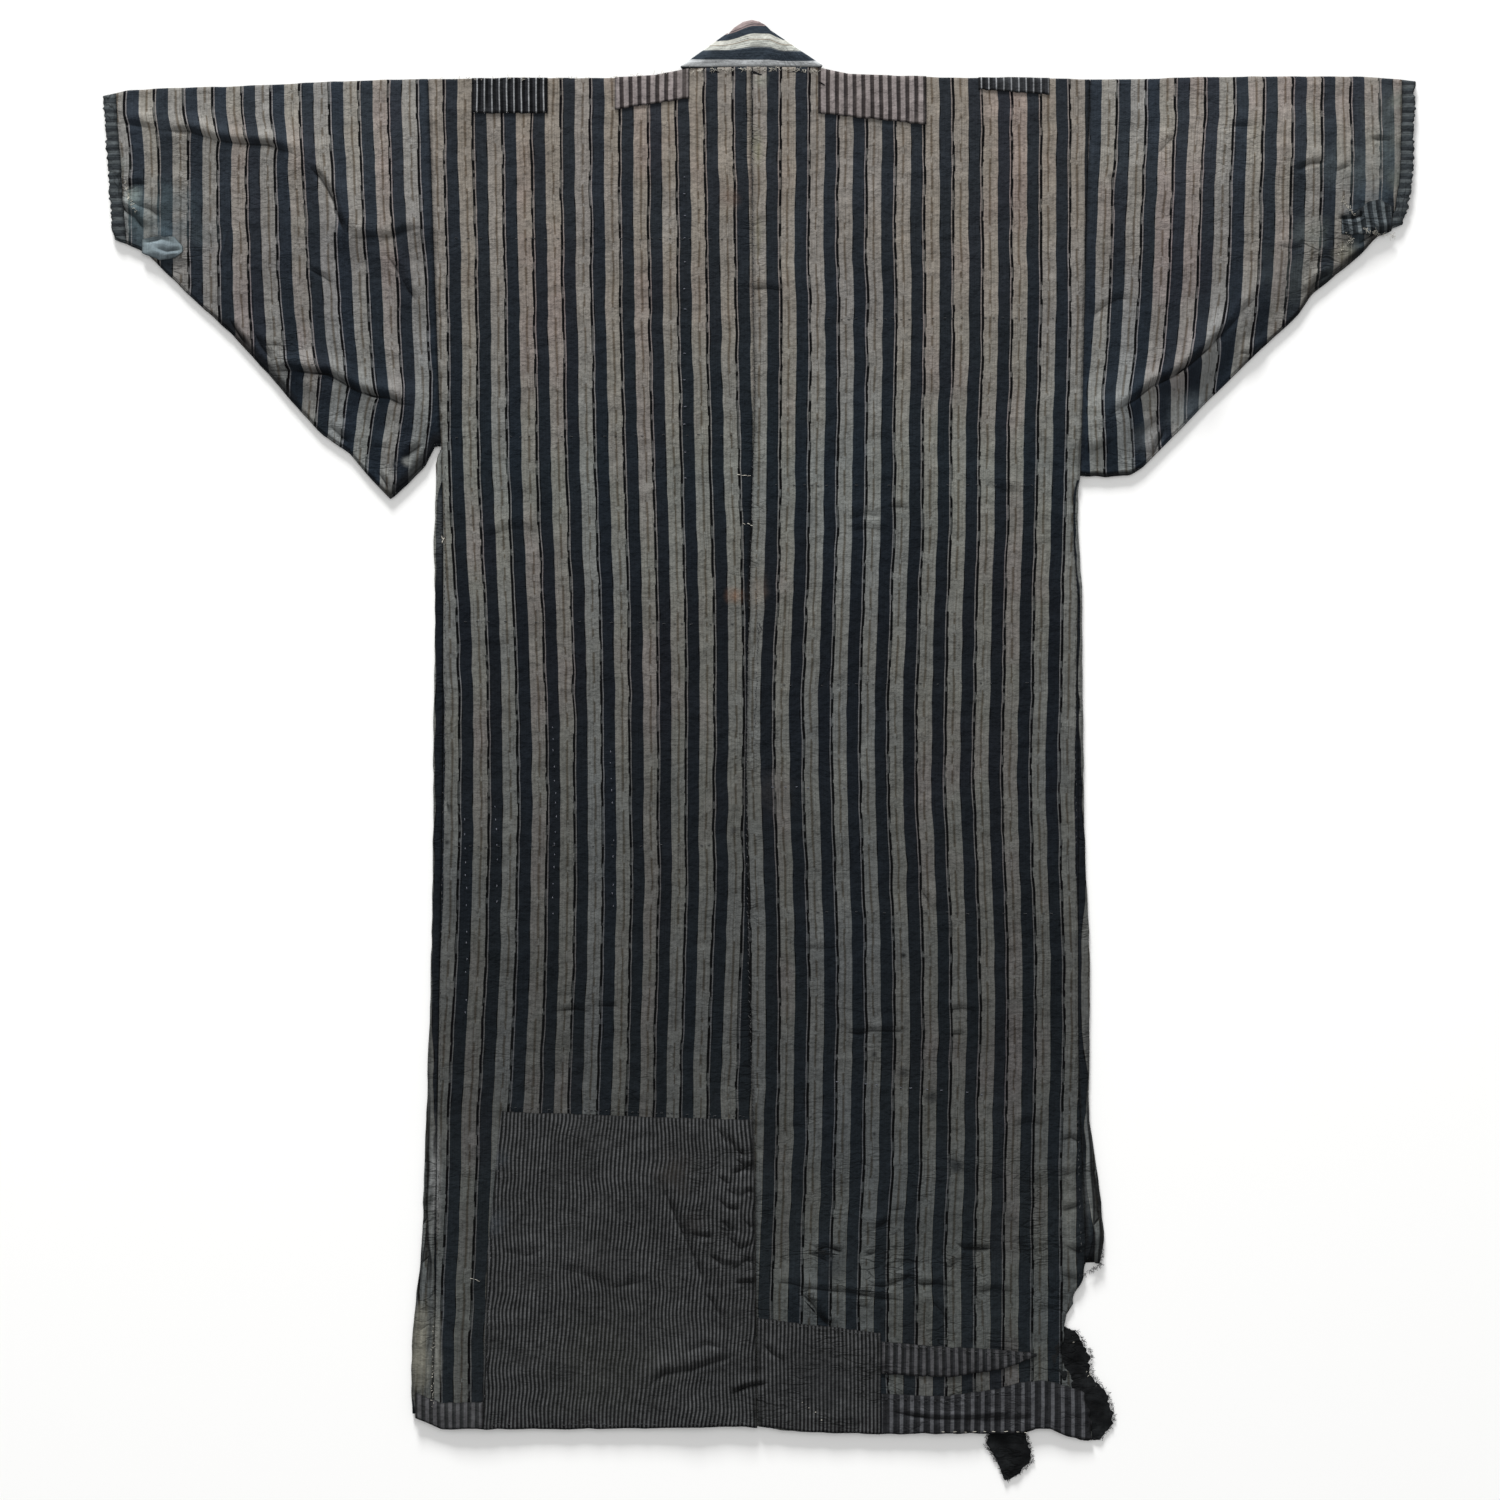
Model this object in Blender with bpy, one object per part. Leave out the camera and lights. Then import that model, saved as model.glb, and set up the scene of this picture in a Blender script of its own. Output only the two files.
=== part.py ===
"""Patched boro coat laid flat on its front, back side up.

Every sheet is a wall of cloth made from rows of points. Sizes are in millimetres and
are scaled to metres when a mesh is made. +Z is up, +Y runs towards the collar, and X
runs across the sleeves, with the wearer's left side at negative X. The coat rests on
the plane z = 0 and is centred on the origin.
"""
import math
from collections import namedtuple

import bmesh
import bpy
from mathutils import Vector

MM = 0.001
MERGE = 0.01            # points nearer than this are one point

# Cloth and clearances.
WALL = 1.2            # coat cloth, outer layer and backing quilted as one
PATCH_WALL = 1.0      # one added layer
SEAM_GAP = 0.4        # between the edges of two pieces sewn together
LAY_GAP = 0.35        # under a piece that lies on another
HALF = WALL / 2

# Mid-wall heights of the layers.
FLOOR_LEVEL = HALF                      # a layer that lies on the ground
CROSSED_LEVEL = 2.1                     # the right front where it lies on the left one
BACK_LEVEL = 3.9                        # the back at its folded edges
CORNER_LEVEL = 2.2                      # the back at the torn lower right corner
CROWN_LEVEL = 5.1                       # the collar at its two diagonal folds
FOLD_RADIUS = (BACK_LEVEL - FLOOR_LEVEL) / 2
FOLD_DEPTH = FOLD_RADIUS + HALF         # from a fold's outer edge to its centre line
FOLD_ANGLES = (45.0, 0.0, -45.0)        # points round a half-circle fold
FADE = 38.0                             # width over which the back rises from a fold

# Body: back panels, folded over the shoulders into the fronts.
MIDDLE = -8.0                           # middle of the neck and of the front edges
NECK_HALF = 70.5                        # neck point to middle
COLUMNS = (0.0, 0.14, 0.28, 0.42, 0.55, 0.67, None, 0.89, 1.0)  # None: neck point
NECK_COLUMN = 6
FRONT_ROWS = (594.0, 560.0, 510.0, 460.0, 410.0, 355.0, 300.0, 280.0)
FRONT_HEM = -617.0
WRAP_START = {-1: 268.0, 1: 240.0}      # top of the front's strip round each side
WRAP_END = {-1: -640.0, 1: -483.0}      # the right strip is torn off above the hem
WRAP_FLOOR = 14.0                       # from the side edge in to the first column
WRAP_ANGLES = (-90.0, -30.0, 30.0, 90.0)
TORN_STRIP_END = (0.0, 3.0, 9.0, 5.0, 14.0)     # how far each column is torn back

BodyRow = namedtuple("BodyRow", "y seam_left centre seam_right edge_left edge_right")
BODY_ROWS = (
    BodyRow(-631.0, -300.5, -1.0, 309.0, -322.0, 265.5),
    BodyRow(-596.0, -302.5, -2.0, 303.5, -323.5, 265.5),
    BodyRow(-558.5, -301.5, -2.0, 281.0, -323.0, 265.5),
    BodyRow(-517.5, -300.5, -2.5, 285.0, -320.0, 265.5),
    BodyRow(-482.5, -300.0, -3.0, 301.5, -315.5, 317.5),
    BodyRow(-451.5, -300.0, -3.0, 303.5, -313.0, 321.0),
    BodyRow(-400.5, -299.5, -3.5, 301.5, -312.0, 316.0),
    BodyRow(-344.5, -299.0, -5.5, 299.0, -309.5, 307.0),
    BodyRow(-288.5, -298.0, -7.5, 297.0, -308.0, 307.0),
    BodyRow(-233.0, -297.0, -8.5, 296.5, -306.0, 308.0),
    BodyRow(-167.5, -296.0, -10.0, 296.5, -304.5, 307.0),
    BodyRow(-102.5, -295.0, -11.0, 297.0, -303.5, 303.5),
    BodyRow(-37.0, -294.0, -12.0, 297.5, -303.0, 302.0),
    BodyRow(28.0, -293.5, -11.0, 297.0, -303.0, 301.5),
    BodyRow(93.0, -293.5, -10.0, 296.0, -301.5, 300.5),
    BodyRow(149.0, -293.5, -9.0, 296.0, -301.5, 300.5),
    BodyRow(195.5, -293.5, -7.5, 292.5, -302.5, 297.0),
    BodyRow(240.0, -294.0, -6.0, 292.0, -300.5, 296.5),
    BodyRow(253.0, -294.5, -5.5, 298.3, -300.5, 298.3),
    BodyRow(268.0, -295.0, -5.0, 298.7, -300.5, 298.7),
    BodyRow(280.0, -295.5, -4.5, 299.0, -295.5, 299.0),
)
UpperRow = namedtuple("UpperRow", "y centre")
UPPER_ROWS = (
    UpperRow(326.0, -3.5), UpperRow(372.5, -4.5), UpperRow(419.0, -5.5),
    UpperRow(475.0, -6.0), UpperRow(521.5, -6.5), UpperRow(568.0, -6.5),
    UpperRow(594.0, -7.0),
)
Armhole = namedtuple("Armhole", "y x")
ARMHOLES = {            # straight seams between sleeve and body, from the underarm up
    -1: (Armhole(280.0, -295.5), Armhole(640.0, -308.1)),
    1: (Armhole(253.0, 298.3), Armhole(640.0, 308.2)),
}

# Edges seen from above, as heights at points across the coat.
Edge = namedtuple("Edge", "x y")
TOP_EDGE = (
    Edge(-610.0, 606.0), Edge(-587.5, 613.5), Edge(-520.5, 616.5), Edge(-475.5, 618.0),
    Edge(-408.5, 621.0), Edge(-364.0, 623.0), Edge(-306.5, 624.0), Edge(-140.5, 625.5),
    Edge(-96.0, 627.5), Edge(-77.5, 631.5), Edge(-64.0, 634.0), Edge(-8.5, 635.5),
    Edge(55.0, 634.5), Edge(60.5, 633.5), Edge(83.0, 628.5), Edge(105.0, 627.5),
    Edge(194.5, 625.5), Edge(328.5, 624.0), Edge(418.0, 626.5), Edge(552.0, 626.5),
    Edge(597.0, 623.0), Edge(609.0, 619.0),
)
HEM_EDGE = (
    Edge(-324.0, -618.0), Edge(-295.0, -631.0), Edge(-148.0, -631.0), Edge(-2.0, -628.5),
    Edge(38.0, -634.0), Edge(113.5, -635.5), Edge(246.0, -635.0), Edge(258.0, -631.0),
    Edge(273.5, -631.0), Edge(290.5, -638.5), Edge(315.5, -642.5),
)
SLEEVE_BOTTOM_LEFT = (
    Edge(-611.0, 475.0), Edge(-598.5, 471.0), Edge(-578.0, 461.0), Edge(-537.0, 423.5),
    Edge(-495.5, 386.5), Edge(-460.0, 349.0), Edge(-427.5, 312.0), Edge(-409.5, 293.5),
    Edge(-382.5, 274.5), Edge(-367.5, 256.0), Edge(-345.5, 233.5), Edge(-329.5, 246.5),
    Edge(-311.0, 265.5), Edge(-301.5, 282.0), Edge(-296.0, 282.0),
)
SLEEVE_BOTTOM_RIGHT = (
    Edge(299.0, 255.0), Edge(317.5, 254.0), Edge(346.5, 255.0), Edge(359.5, 262.5),
    Edge(391.0, 293.5), Edge(429.0, 330.5), Edge(469.0, 367.5), Edge(512.0, 405.0),
    Edge(525.0, 423.5), Edge(573.5, 461.0), Edge(592.0, 479.5), Edge(611.0, 489.0),
)
CUFF_LEFT = (Edge(-600.0, 470.0), Edge(-610.0, 611.0))      # outer edge of the cuff
CUFF_RIGHT = (Edge(597.5, 480.0), Edge(609.5, 623.0))
CUFF_WIDTH = 12.0

# Sleeves: ring sections at these distances from the middle of the coat.
SLEEVE_STATIONS = (598.0, 573.0, 543.0, 510.0, 474.0, 440.0, 408.0, 380.0, 358.0, 345.5,
                   326.0)
RING_BACK = 10                          # cells across a ring's upper layer
RING_FRONT = 5                          # cells across its lower layer

# Overlaps and collar, measured from the middle line of the coat.
OVERLAP_WIDTH = 152.0
OVERLAP_ROWS = (-617.0, -540.0, -450.0, -360.0, -270.0, -165.0, -154.0, -60.0, 50.0,
                160.0, 240.0, 284.0)
Neckline = namedtuple("Neckline", "y base")
NECKLINE = (
    Neckline(-150.0, 100.0), Neckline(300.0, 0.0), Neckline(460.0, -40.0),
    Neckline(560.0, -60.0), Neckline(634.0, -66.5),
)
Strip = namedtuple("Strip", "base_x base_y edge_x edge_y")
FRONT_STRIPS = (
    Strip(100.2, -150.0, 152.0, -150.0), Strip(66.9, 0.0, 115.7, 10.8),
    Strip(33.5, 150.0, 82.3, 160.8), Strip(0.2, 300.0, 49.0, 312.0),
    Strip(-39.8, 460.0, 8.2, 472.0), Strip(-59.8, 560.0, -11.0, 574.0),
)
CROWN_FOLD_LEFT = Strip(-72.5, 633.5, -29.5, 665.0)
CROWN_FOLD_RIGHT = Strip(59.5, 635.5, 8.0, 671.0)
CROWN_STRIPS = (
    Strip(-50.0, 634.9, -22.5, 671.5), Strip(-27.0, 635.5, -14.5, 676.8),
    Strip(-4.0, 635.9, -6.5, 678.5), Strip(20.0, 635.6, 0.0, 677.0),
    Strip(42.0, 635.4, 5.0, 674.0),
)
STRIP_CELLS = 5
CROWN_SWELL = 2.6                       # how far the crown stands up between its edges

# The largest folds of the cloth: ridges on the upper layer.
Ridge = namedtuple("Ridge", "x0 y0 x1 y1 height width")
RIDGES = (
    Ridge(-579.0, 582.0, -425.0, 554.0, 2.6, 20.0),
    Ridge(-414.0, 542.0, -382.0, 484.0, 3.0, 22.0),
    Ridge(-382.0, 484.0, -316.0, 489.0, 2.6, 20.0),
    Ridge(-452.0, 352.0, -331.0, 319.0, 4.6, 22.0),
    Ridge(-346.0, 456.0, -322.0, 429.0, 2.2, 20.0),
    Ridge(-398.0, 298.0, -352.0, 282.0, 2.4, 16.0),
    Ridge(460.0, 425.0, 412.0, 372.0, 4.8, 22.0),
    Ridge(412.0, 372.0, 324.0, 313.0, 5.2, 24.0),
    Ridge(344.0, 322.0, 316.0, 282.0, 3.4, 20.0),
    Ridge(500.0, 560.0, 560.0, 520.0, 2.2, 22.0),
    Ridge(-206.0, 540.0, -196.0, -180.0, 1.5, 34.0),
    Ridge(-92.0, 420.0, -104.0, -300.0, 1.3, 30.0),
    Ridge(96.0, 500.0, 88.0, -60.0, 1.4, 32.0),
    Ridge(214.0, 380.0, 206.0, -420.0, 1.6, 34.0),
    Ridge(-88.0, -408.0, -57.0, -484.0, 2.4, 22.0),
    Ridge(-97.0, -588.0, -31.0, -561.0, 2.2, 18.0),
    Ridge(38.0, -505.0, 150.0, -512.0, 2.4, 20.0),
)

# Patches: each is a row of sections across its width, from its low to its high edge.
Section = namedtuple("Section", "x low high")
SHOULDER_DARK_LEFT = (Section(-267.0, 592.0, 640.0), Section(-196.5, 592.0, 640.0))
SHOULDER_DARK_RIGHT = (Section(204.0, 614.0, 640.0), Section(270.0, 609.5, 640.0))
SHOULDER_BROWN_LEFT = (Section(-134.0, 595.0, 640.0), Section(-65.0, 605.5, 640.0))
SHOULDER_BROWN_RIGHT = (Section(55.0, 592.0, 640.0), Section(155.5, 581.0, 640.0))
HEM_PATCH_LARGE = (
    Section(-256.2, -640.0, -604.0), Section(-252.5, -640.0, -474.0),
    Section(-238.5, -640.0, -336.0), Section(10.0, -640.0, -344.0),
)
HEM_PATCH_MIDDLE = (Section(-10.0, -650.0, -528.0), Section(113.2, -650.0, -542.0))
HEM_PATCH_WEDGE = (
    Section(114.0, -580.0, -550.0), Section(176.0, -583.0, -554.7),
    Section(225.5, -575.5, -557.4), Section(258.0, -563.5, -561.0),
)
HEM_BAND_RIGHT = (
    Section(114.0, -650.0, -598.5), Section(176.0, -650.0, -600.5),
    Section(225.5, -650.0, -594.0), Section(255.0, -650.0, -587.5),
    Section(275.5, -650.0, -585.5), Section(287.5, -650.0, -587.5),
    Section(312.0, -650.0, -598.5),
)
HEM_BAND_LEFT = (
    Section(-319.5, -640.0, -597.0), Section(-296.0, -640.0, -607.0),
    Section(-256.6, -640.0, -606.0),
)
CUFF_PATCH_LEFT = (
    Section(-573.5, 462.0, 475.0), Section(-557.5, 455.0, 477.5),
    Section(-543.0, 457.0, 476.5), Section(-535.5, 463.0, 468.0),
)
CUFF_PATCH_RIGHT = (
    Section(542.0, 491.5, 506.5), Section(552.0, 481.5, 507.0),
    Section(576.5, 477.5, 508.0), Section(587.5, 484.0, 508.5),
)

# Loose torn cloth lying on the ground beside the hem: sections up each piece.
Level = namedtuple("Level", "y inner outer")
TORN_FACING = (
    Level(-642.0, 267.0, 316.0), Level(-627.0, 267.0, 329.5), Level(-617.0, 267.0, 329.5),
    Level(-597.0, 267.0, 322.0), Level(-580.0, 267.0, 307.0), Level(-561.5, 267.0, 307.0),
    Level(-542.0, 267.0, 295.0), Level(-535.5, 267.0, 283.0), Level(-530.5, 267.0, 271.0),
)
TATTER = (
    Level(-679.5, 228.0, 232.5), Level(-672.0, 224.5, 243.0), Level(-660.0, 220.5, 254.0),
    Level(-645.0, 210.5, 250.0), Level(-636.0, 213.0, 247.5), Level(-617.4, 222.0, 245.0),
)

# Colours, linear.
NAVY_AND_BEIGE = (0.072, 0.073, 0.072)
BLACK_CLOTH = (0.010, 0.011, 0.012)
COLLAR_CLOTH = (0.170, 0.172, 0.175)
CUFF_CLOTH = (0.022, 0.024, 0.026)
BROWN_STRIPE = (0.105, 0.088, 0.082)
DARK_STRIPE = (0.018, 0.018, 0.021)
FINE_STRIPE = (0.031, 0.032, 0.034)
COARSE_STRIPE = (0.028, 0.029, 0.031)
BLUE_CLOTH = (0.085, 0.120, 0.150)


def along(table, value, key, result):
    """Read a column of a table at a value of another column, by straight lines."""
    rows = sorted(table, key=lambda row: getattr(row, key))
    if value <= getattr(rows[0], key):
        return getattr(rows[0], result)
    for low, high in zip(rows, rows[1:]):
        start, stop = getattr(low, key), getattr(high, key)
        if value <= stop:
            share = (value - start) / (stop - start)
            return getattr(low, result) * (1 - share) + getattr(high, result) * share
    return getattr(rows[-1], result)


def ramp(value, start, stop):
    """Rise smoothly from 0 at start to 1 at stop."""
    share = min(max((value - start) / (stop - start), 0.0), 1.0)
    return share * share * (3 - 2 * share)


def ridge_height(ridge, x, y):
    """Height of one ridge: a soft bump across its line, dying out past its ends."""
    run_x, run_y = ridge.x1 - ridge.x0, ridge.y1 - ridge.y0
    length = math.hypot(run_x, run_y)
    share = ((x - ridge.x0) * run_x + (y - ridge.y0) * run_y) / length ** 2
    nearest = min(max(share, 0.0), 1.0)
    away = math.hypot(x - ridge.x0 - nearest * run_x, y - ridge.y0 - nearest * run_y)
    return ridge.height * math.exp(-(away / ridge.width) ** 2)


def base_level(x, y):
    """Mid-wall height of the back before its swell, lower at the torn corner."""
    corner = ramp(x, 222.0, 262.0) * ramp(-y, 483.0, 517.0)
    hem = ramp(x, 180.0, 220.0) * ramp(-y, 597.0, 628.0)
    return BACK_LEVEL + (CORNER_LEVEL - BACK_LEVEL) * max(corner, hem)


def back_height(x, y, room):
    """Mid-wall height of the upper layer; room is the distance to its nearest fold."""
    swell = 1.1 + 0.7 * math.sin(x / 47.0 + y / 160.0) + 0.4 * math.sin(y / 83.0 - x / 120.0)
    folds = sum(ridge_height(ridge, x, y) for ridge in RIDGES)
    return base_level(x, y) + ramp(room, 0.0, FADE) * (swell + folds)


def right_front_level(x, y):
    """Mid-wall height of the right front: raised where the left front is under it."""
    crossed = (1 - ramp(x, 190.0, 230.0)) * (1 - ramp(y, 435.0, 495.0))
    return FLOOR_LEVEL + (CROSSED_LEVEL - FLOOR_LEVEL) * crossed


def triangles(cells):
    """Split four-sided cells into triangles."""
    for a, b, c, d in cells:
        yield a, b, c
        yield a, c, d


class Sheet:
    """Named points joined by four-sided cells on the middle of a wall of cloth."""

    def __init__(self, flipped=False):
        self.flipped = flipped
        self.mesh = bmesh.new()
        self.points = {}
        self.cells = []

    def put(self, key, x, y, z):
        """Add a point on the middle of the wall."""
        self.points[key] = self.mesh.verts.new((x * MM, y * MM, z * MM))

    def place_of(self, key):
        """Where a point is, in millimetres."""
        return self.points[key].co / MM

    def cell(self, *corners):
        """Add a cell when all its corners exist."""
        if all(key in self.points for key in corners):
            self.cells.append(corners[::-1] if self.flipped else corners)

    def make(self, name, colour):
        """Build the cloth, with a Solidify modifier for its wall."""
        for corners in triangles(self.cells):
            self.mesh.faces.new([self.points[key] for key in corners])
        self.mesh.normal_update()
        piece = add_object(name, self.mesh, colour)
        wall = piece.modifiers.new("Wall", "SOLIDIFY")
        wall.thickness = WALL * MM
        wall.offset = 0.0

    def upper_faces(self, chosen, bridges=()):
        """Outer faces of the chosen cells and of cells that bridge a seam."""
        cells = [cell for cell in self.cells if all(chosen(key) for key in cell)]
        cells += bridges
        faces, lifted = bmesh.new(), {}
        for key in sorted({key for cell in cells for key in cell}):
            point = self.points[key]
            lifted[key] = faces.verts.new(point.co + HALF * MM * point.normal)
        for corners in triangles(cells):
            faces.faces.new([lifted[key] for key in corners])
        return faces


def add_object(name, shape, colour):
    """Make a smooth mesh object with its own material."""
    mesh = bpy.data.meshes.new(name)
    shape.to_mesh(mesh)
    mesh.shade_smooth()
    material = bpy.data.materials.new(name)
    material.use_nodes = True
    shader = material.node_tree.nodes["Principled BSDF"]
    shader.inputs["Base Color"].default_value = (*colour, 1.0)
    shader.inputs["Roughness"].default_value = 0.92
    shader.inputs["Metallic"].default_value = 0.0
    mesh.materials.append(material)
    piece = bpy.data.objects.new(name, mesh)
    bpy.context.scene.collection.objects.link(piece)
    return piece


def body_columns(side):
    """Fractions from the side seam to the centre seam; one passes the neck point."""
    top = UPPER_ROWS[-1]
    seam = seam_at(side, top.y)
    neck = (MIDDLE + side * NECK_HALF - seam) / (top.centre - seam)
    return [neck if share is None else share for share in COLUMNS]


def seam_at(side, y):
    """Edge of the back panel: the armhole above the underarm, the side seam below."""
    if y >= ARMHOLES[side][0].y:
        return along(ARMHOLES[side], y, "y", "x")
    return along(BODY_ROWS, y, "y", "seam_left" if side < 0 else "seam_right")


def edge_at(side, y):
    """Outer edge of the front, which reaches past the side seam below the underarm."""
    if y >= ARMHOLES[side][0].y:
        return seam_at(side, y)
    return along(BODY_ROWS, y, "y", "edge_left" if side < 0 else "edge_right")


def body_room(x, y, side):
    """Distance from a point of the back to the shoulder fold or the folded side."""
    from_side = math.hypot(x - seam_at(side, y), max(0.0, y - WRAP_START[side]))
    return max(0.0, min(along(TOP_EDGE, x, "x", "y") - y, from_side))


def front_level(side, x, y):
    """Mid-wall height of a front panel."""
    return FLOOR_LEVEL if side < 0 else right_front_level(x, y)


def front_inner(side, y):
    """Where a front panel ends towards the middle: at its overlap or at the collar."""
    base = along(NECKLINE, y, "y", "base") if y > 300.0 else 0.0
    return MIDDLE - side * (base - SEAM_GAP / 2)


def add_back(sheet, side, shares):
    """Rows of the back from the hem to the shoulder fold or the neck seam."""
    rows = BODY_ROWS + UPPER_ROWS
    for number, row in enumerate(rows):
        seam, centre = seam_at(side, row.y), row.centre + side * SEAM_GAP / 2
        for column, share in enumerate(shares):
            x = seam + (centre - seam) * share
            y = along(HEM_EDGE, x, "x", "y") if number == 0 else row.y
            sheet.put(("back", number, column), x, y, back_height(x, y, body_room(x, y, side)))
    last = len(rows)
    seam, centre = seam_at(side, along(TOP_EDGE, seam, "x", "y")), rows[-1].centre
    centre += side * SEAM_GAP / 2
    for column, share in enumerate(shares):
        x = seam + (centre - seam) * share
        inset = FOLD_DEPTH if column <= NECK_COLUMN else 0.0
        sheet.put(("back", last, column), x, along(TOP_EDGE, x, "x", "y") - inset, BACK_LEVEL)
    for number in range(last):
        for column in range(len(shares) - 1):
            sheet.cell(("back", number, column), ("back", number, column + 1),
                       ("back", number + 1, column + 1), ("back", number + 1, column))


def add_shoulder(sheet, side):
    """Half-circle fold that carries the back over into the front."""
    last = len(BODY_ROWS + UPPER_ROWS)
    centre_level = (BACK_LEVEL + FLOOR_LEVEL) / 2
    for column in range(NECK_COLUMN + 1):
        x, y, _ = sheet.place_of(("back", last, column))
        for step, angle in enumerate(FOLD_ANGLES):
            turn = math.radians(angle)
            sheet.put(("fold", step, column), x, y + FOLD_RADIUS * math.cos(turn),
                      centre_level + FOLD_RADIUS * math.sin(turn))
        sheet.put(("front", 0, column), x, y, front_level(side, x, y))
    chain = [("back", last)] + [("fold", step) for step in range(3)] + [("front", 0)]
    for low, high in zip(chain, chain[1:]):
        for column in range(NECK_COLUMN):
            sheet.cell((*low, column), (*low, column + 1), (*high, column + 1), (*high, column))


def add_front(sheet, side, shares):
    """Rows of the front from the shoulder to its hem, with the strip round the side."""
    lower = [row.y for row in reversed(BODY_ROWS) if row.y < FRONT_ROWS[-1]]
    rows = list(FRONT_ROWS) + lower
    for number, y in enumerate(rows, start=1):
        wrapped = WRAP_END[side] < y <= WRAP_START[side]
        edge = edge_at(side, y)
        outer = edge - side * WRAP_FLOOR if wrapped else edge
        inner = front_inner(side, y)
        for column in range(NECK_COLUMN + 1):
            x = outer + (inner - outer) * shares[column] / shares[NECK_COLUMN]
            height = y
            if number == len(rows):
                height = along(HEM_EDGE, x, "x", "y") if wrapped and column == 0 else FRONT_HEM
            sheet.put(("front", number, column), x, height, front_level(side, x, y))
        if wrapped:
            add_strip_row(sheet, side, number, y, edge, number == len(rows))
    first_column = -len(WRAP_ANGLES) - 1
    for number in range(len(rows)):
        for column in range(first_column, NECK_COLUMN):
            sheet.cell(("front", number, column), ("front", number, column + 1),
                       ("front", number + 1, column + 1), ("front", number + 1, column))
    return len(rows)


def add_strip_row(sheet, side, number, y, edge, at_hem):
    """One row of the front's strip that rolls up round the side to the side seam."""
    centre_x = edge - side * FOLD_DEPTH
    centre_level = (BACK_LEVEL + FLOOR_LEVEL) / 2
    torn = side > 0 and y < WRAP_END[side] + 1.0
    points = [(centre_x + side * FOLD_RADIUS * math.cos(math.radians(angle)),
               centre_level + FOLD_RADIUS * math.sin(math.radians(angle)))
              for angle in WRAP_ANGLES]
    points.append((seam_at(side, y) + side * SEAM_GAP, BACK_LEVEL))
    for step, (x, z) in enumerate(points):
        height = along(HEM_EDGE, x, "x", "y") if at_hem else y
        height += TORN_STRIP_END[step] if torn else 0.0
        sheet.put(("front", number, -1 - step), x, height, z)


def build_body(name, side):
    """One length of cloth: back panel, shoulder fold and front panel."""
    sheet = Sheet(flipped=side > 0)
    shares = body_columns(side)
    add_back(sheet, side, shares)
    add_shoulder(sheet, side)
    front_rows = add_front(sheet, side, shares)
    sheet.make(name, NAVY_AND_BEIGE)
    return sheet, front_rows


def build_overlap(name, side):
    """Narrow front extension sewn to a front panel, pointed where it meets the collar."""
    sheet = Sheet(flipped=side < 0)
    cells = 3
    for number, y in enumerate(OVERLAP_ROWS):
        reach = OVERLAP_WIDTH
        if y > -160.0:
            reach = along(NECKLINE, y, "y", "base") - SEAM_GAP
        for column in range(cells + 1):
            offset = SEAM_GAP / 2 + (reach - SEAM_GAP / 2) * column / cells
            x = MIDDLE - side * offset
            sheet.put((number, column), x, y, FLOOR_LEVEL if side < 0 else CROSSED_LEVEL)
    for number in range(len(OVERLAP_ROWS) - 1):
        for column in range(cells):
            sheet.cell((number, column), (number + 1, column),
                       (number + 1, column + 1), (number, column + 1))
    sheet.make(name, NAVY_AND_BEIGE)


def cuff_line(side, y):
    """Outer edge of a cuff at a height."""
    return along(CUFF_LEFT if side < 0 else CUFF_RIGHT, y, "y", "x")


def ring_points(side, station, share_at):
    """Mid-wall points of one sleeve section: upper layer, fold, lower layer, fold."""
    bottom_edge = SLEEVE_BOTTOM_LEFT if side < 0 else SLEEVE_BOTTOM_RIGHT
    top = along(TOP_EDGE, station, "x", "y")
    bottom = along(bottom_edge, station, "x", "y")
    low, high = bottom + FOLD_DEPTH, top - FOLD_DEPTH
    points = []
    for step in range(RING_BACK + 1):
        y = low + (high - low) * step / RING_BACK
        points.append((y, back_height(station, y, min(y - bottom, top - y) - FOLD_DEPTH)))
    middle = (BACK_LEVEL + FLOOR_LEVEL) / 2
    for angle in FOLD_ANGLES:
        turn = math.radians(angle)
        points.append((high + FOLD_RADIUS * math.cos(turn), middle + FOLD_RADIUS * math.sin(turn)))
    for step in range(RING_FRONT + 1):
        points.append((high + (low - high) * step / RING_FRONT, FLOOR_LEVEL))
    for angle in reversed(FOLD_ANGLES):
        turn = math.radians(angle)
        points.append((low - FOLD_RADIUS * math.cos(turn), middle + FOLD_RADIUS * math.sin(turn)))
    return [(share_at(y), y, z) for y, z in points]


def build_sleeve(name, side):
    """Sleeve folded flat: one tube from the cuff seam to the armhole."""
    sheet = Sheet(flipped=side > 0)
    armhole = abs(seam_at(side, ARMHOLES[side][0].y))
    stations = [*SLEEVE_STATIONS, armhole + SEAM_GAP]
    first, last = stations[0], stations[-1]
    for number, distance in enumerate(stations):
        share = (first - distance) / (first - last)

        def place(y, share=share):
            start = cuff_line(side, y) - side * CUFF_WIDTH
            stop = seam_at(side, y) + side * SEAM_GAP
            return start + (stop - start) * share

        for step, point in enumerate(ring_points(side, side * distance, place)):
            sheet.put((number, step), *point)
    close_rings(sheet, len(stations))
    sheet.make(name, NAVY_AND_BEIGE)
    return sheet


def build_cuff(name, side):
    """Binding round the sleeve's opening: the last ring of the sleeve carried on."""
    sheet = Sheet(flipped=side > 0)
    for number, inset in enumerate((0.0, CUFF_WIDTH - SEAM_GAP)):
        station = side * (SLEEVE_STATIONS[0] + CUFF_WIDTH - inset)

        def place(y, inset=inset):
            return cuff_line(side, y) - side * inset

        for step, point in enumerate(ring_points(side, station, place)):
            sheet.put((number, step), *point)
    close_rings(sheet, 2)
    sheet.make(name, CUFF_CLOTH)


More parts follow.
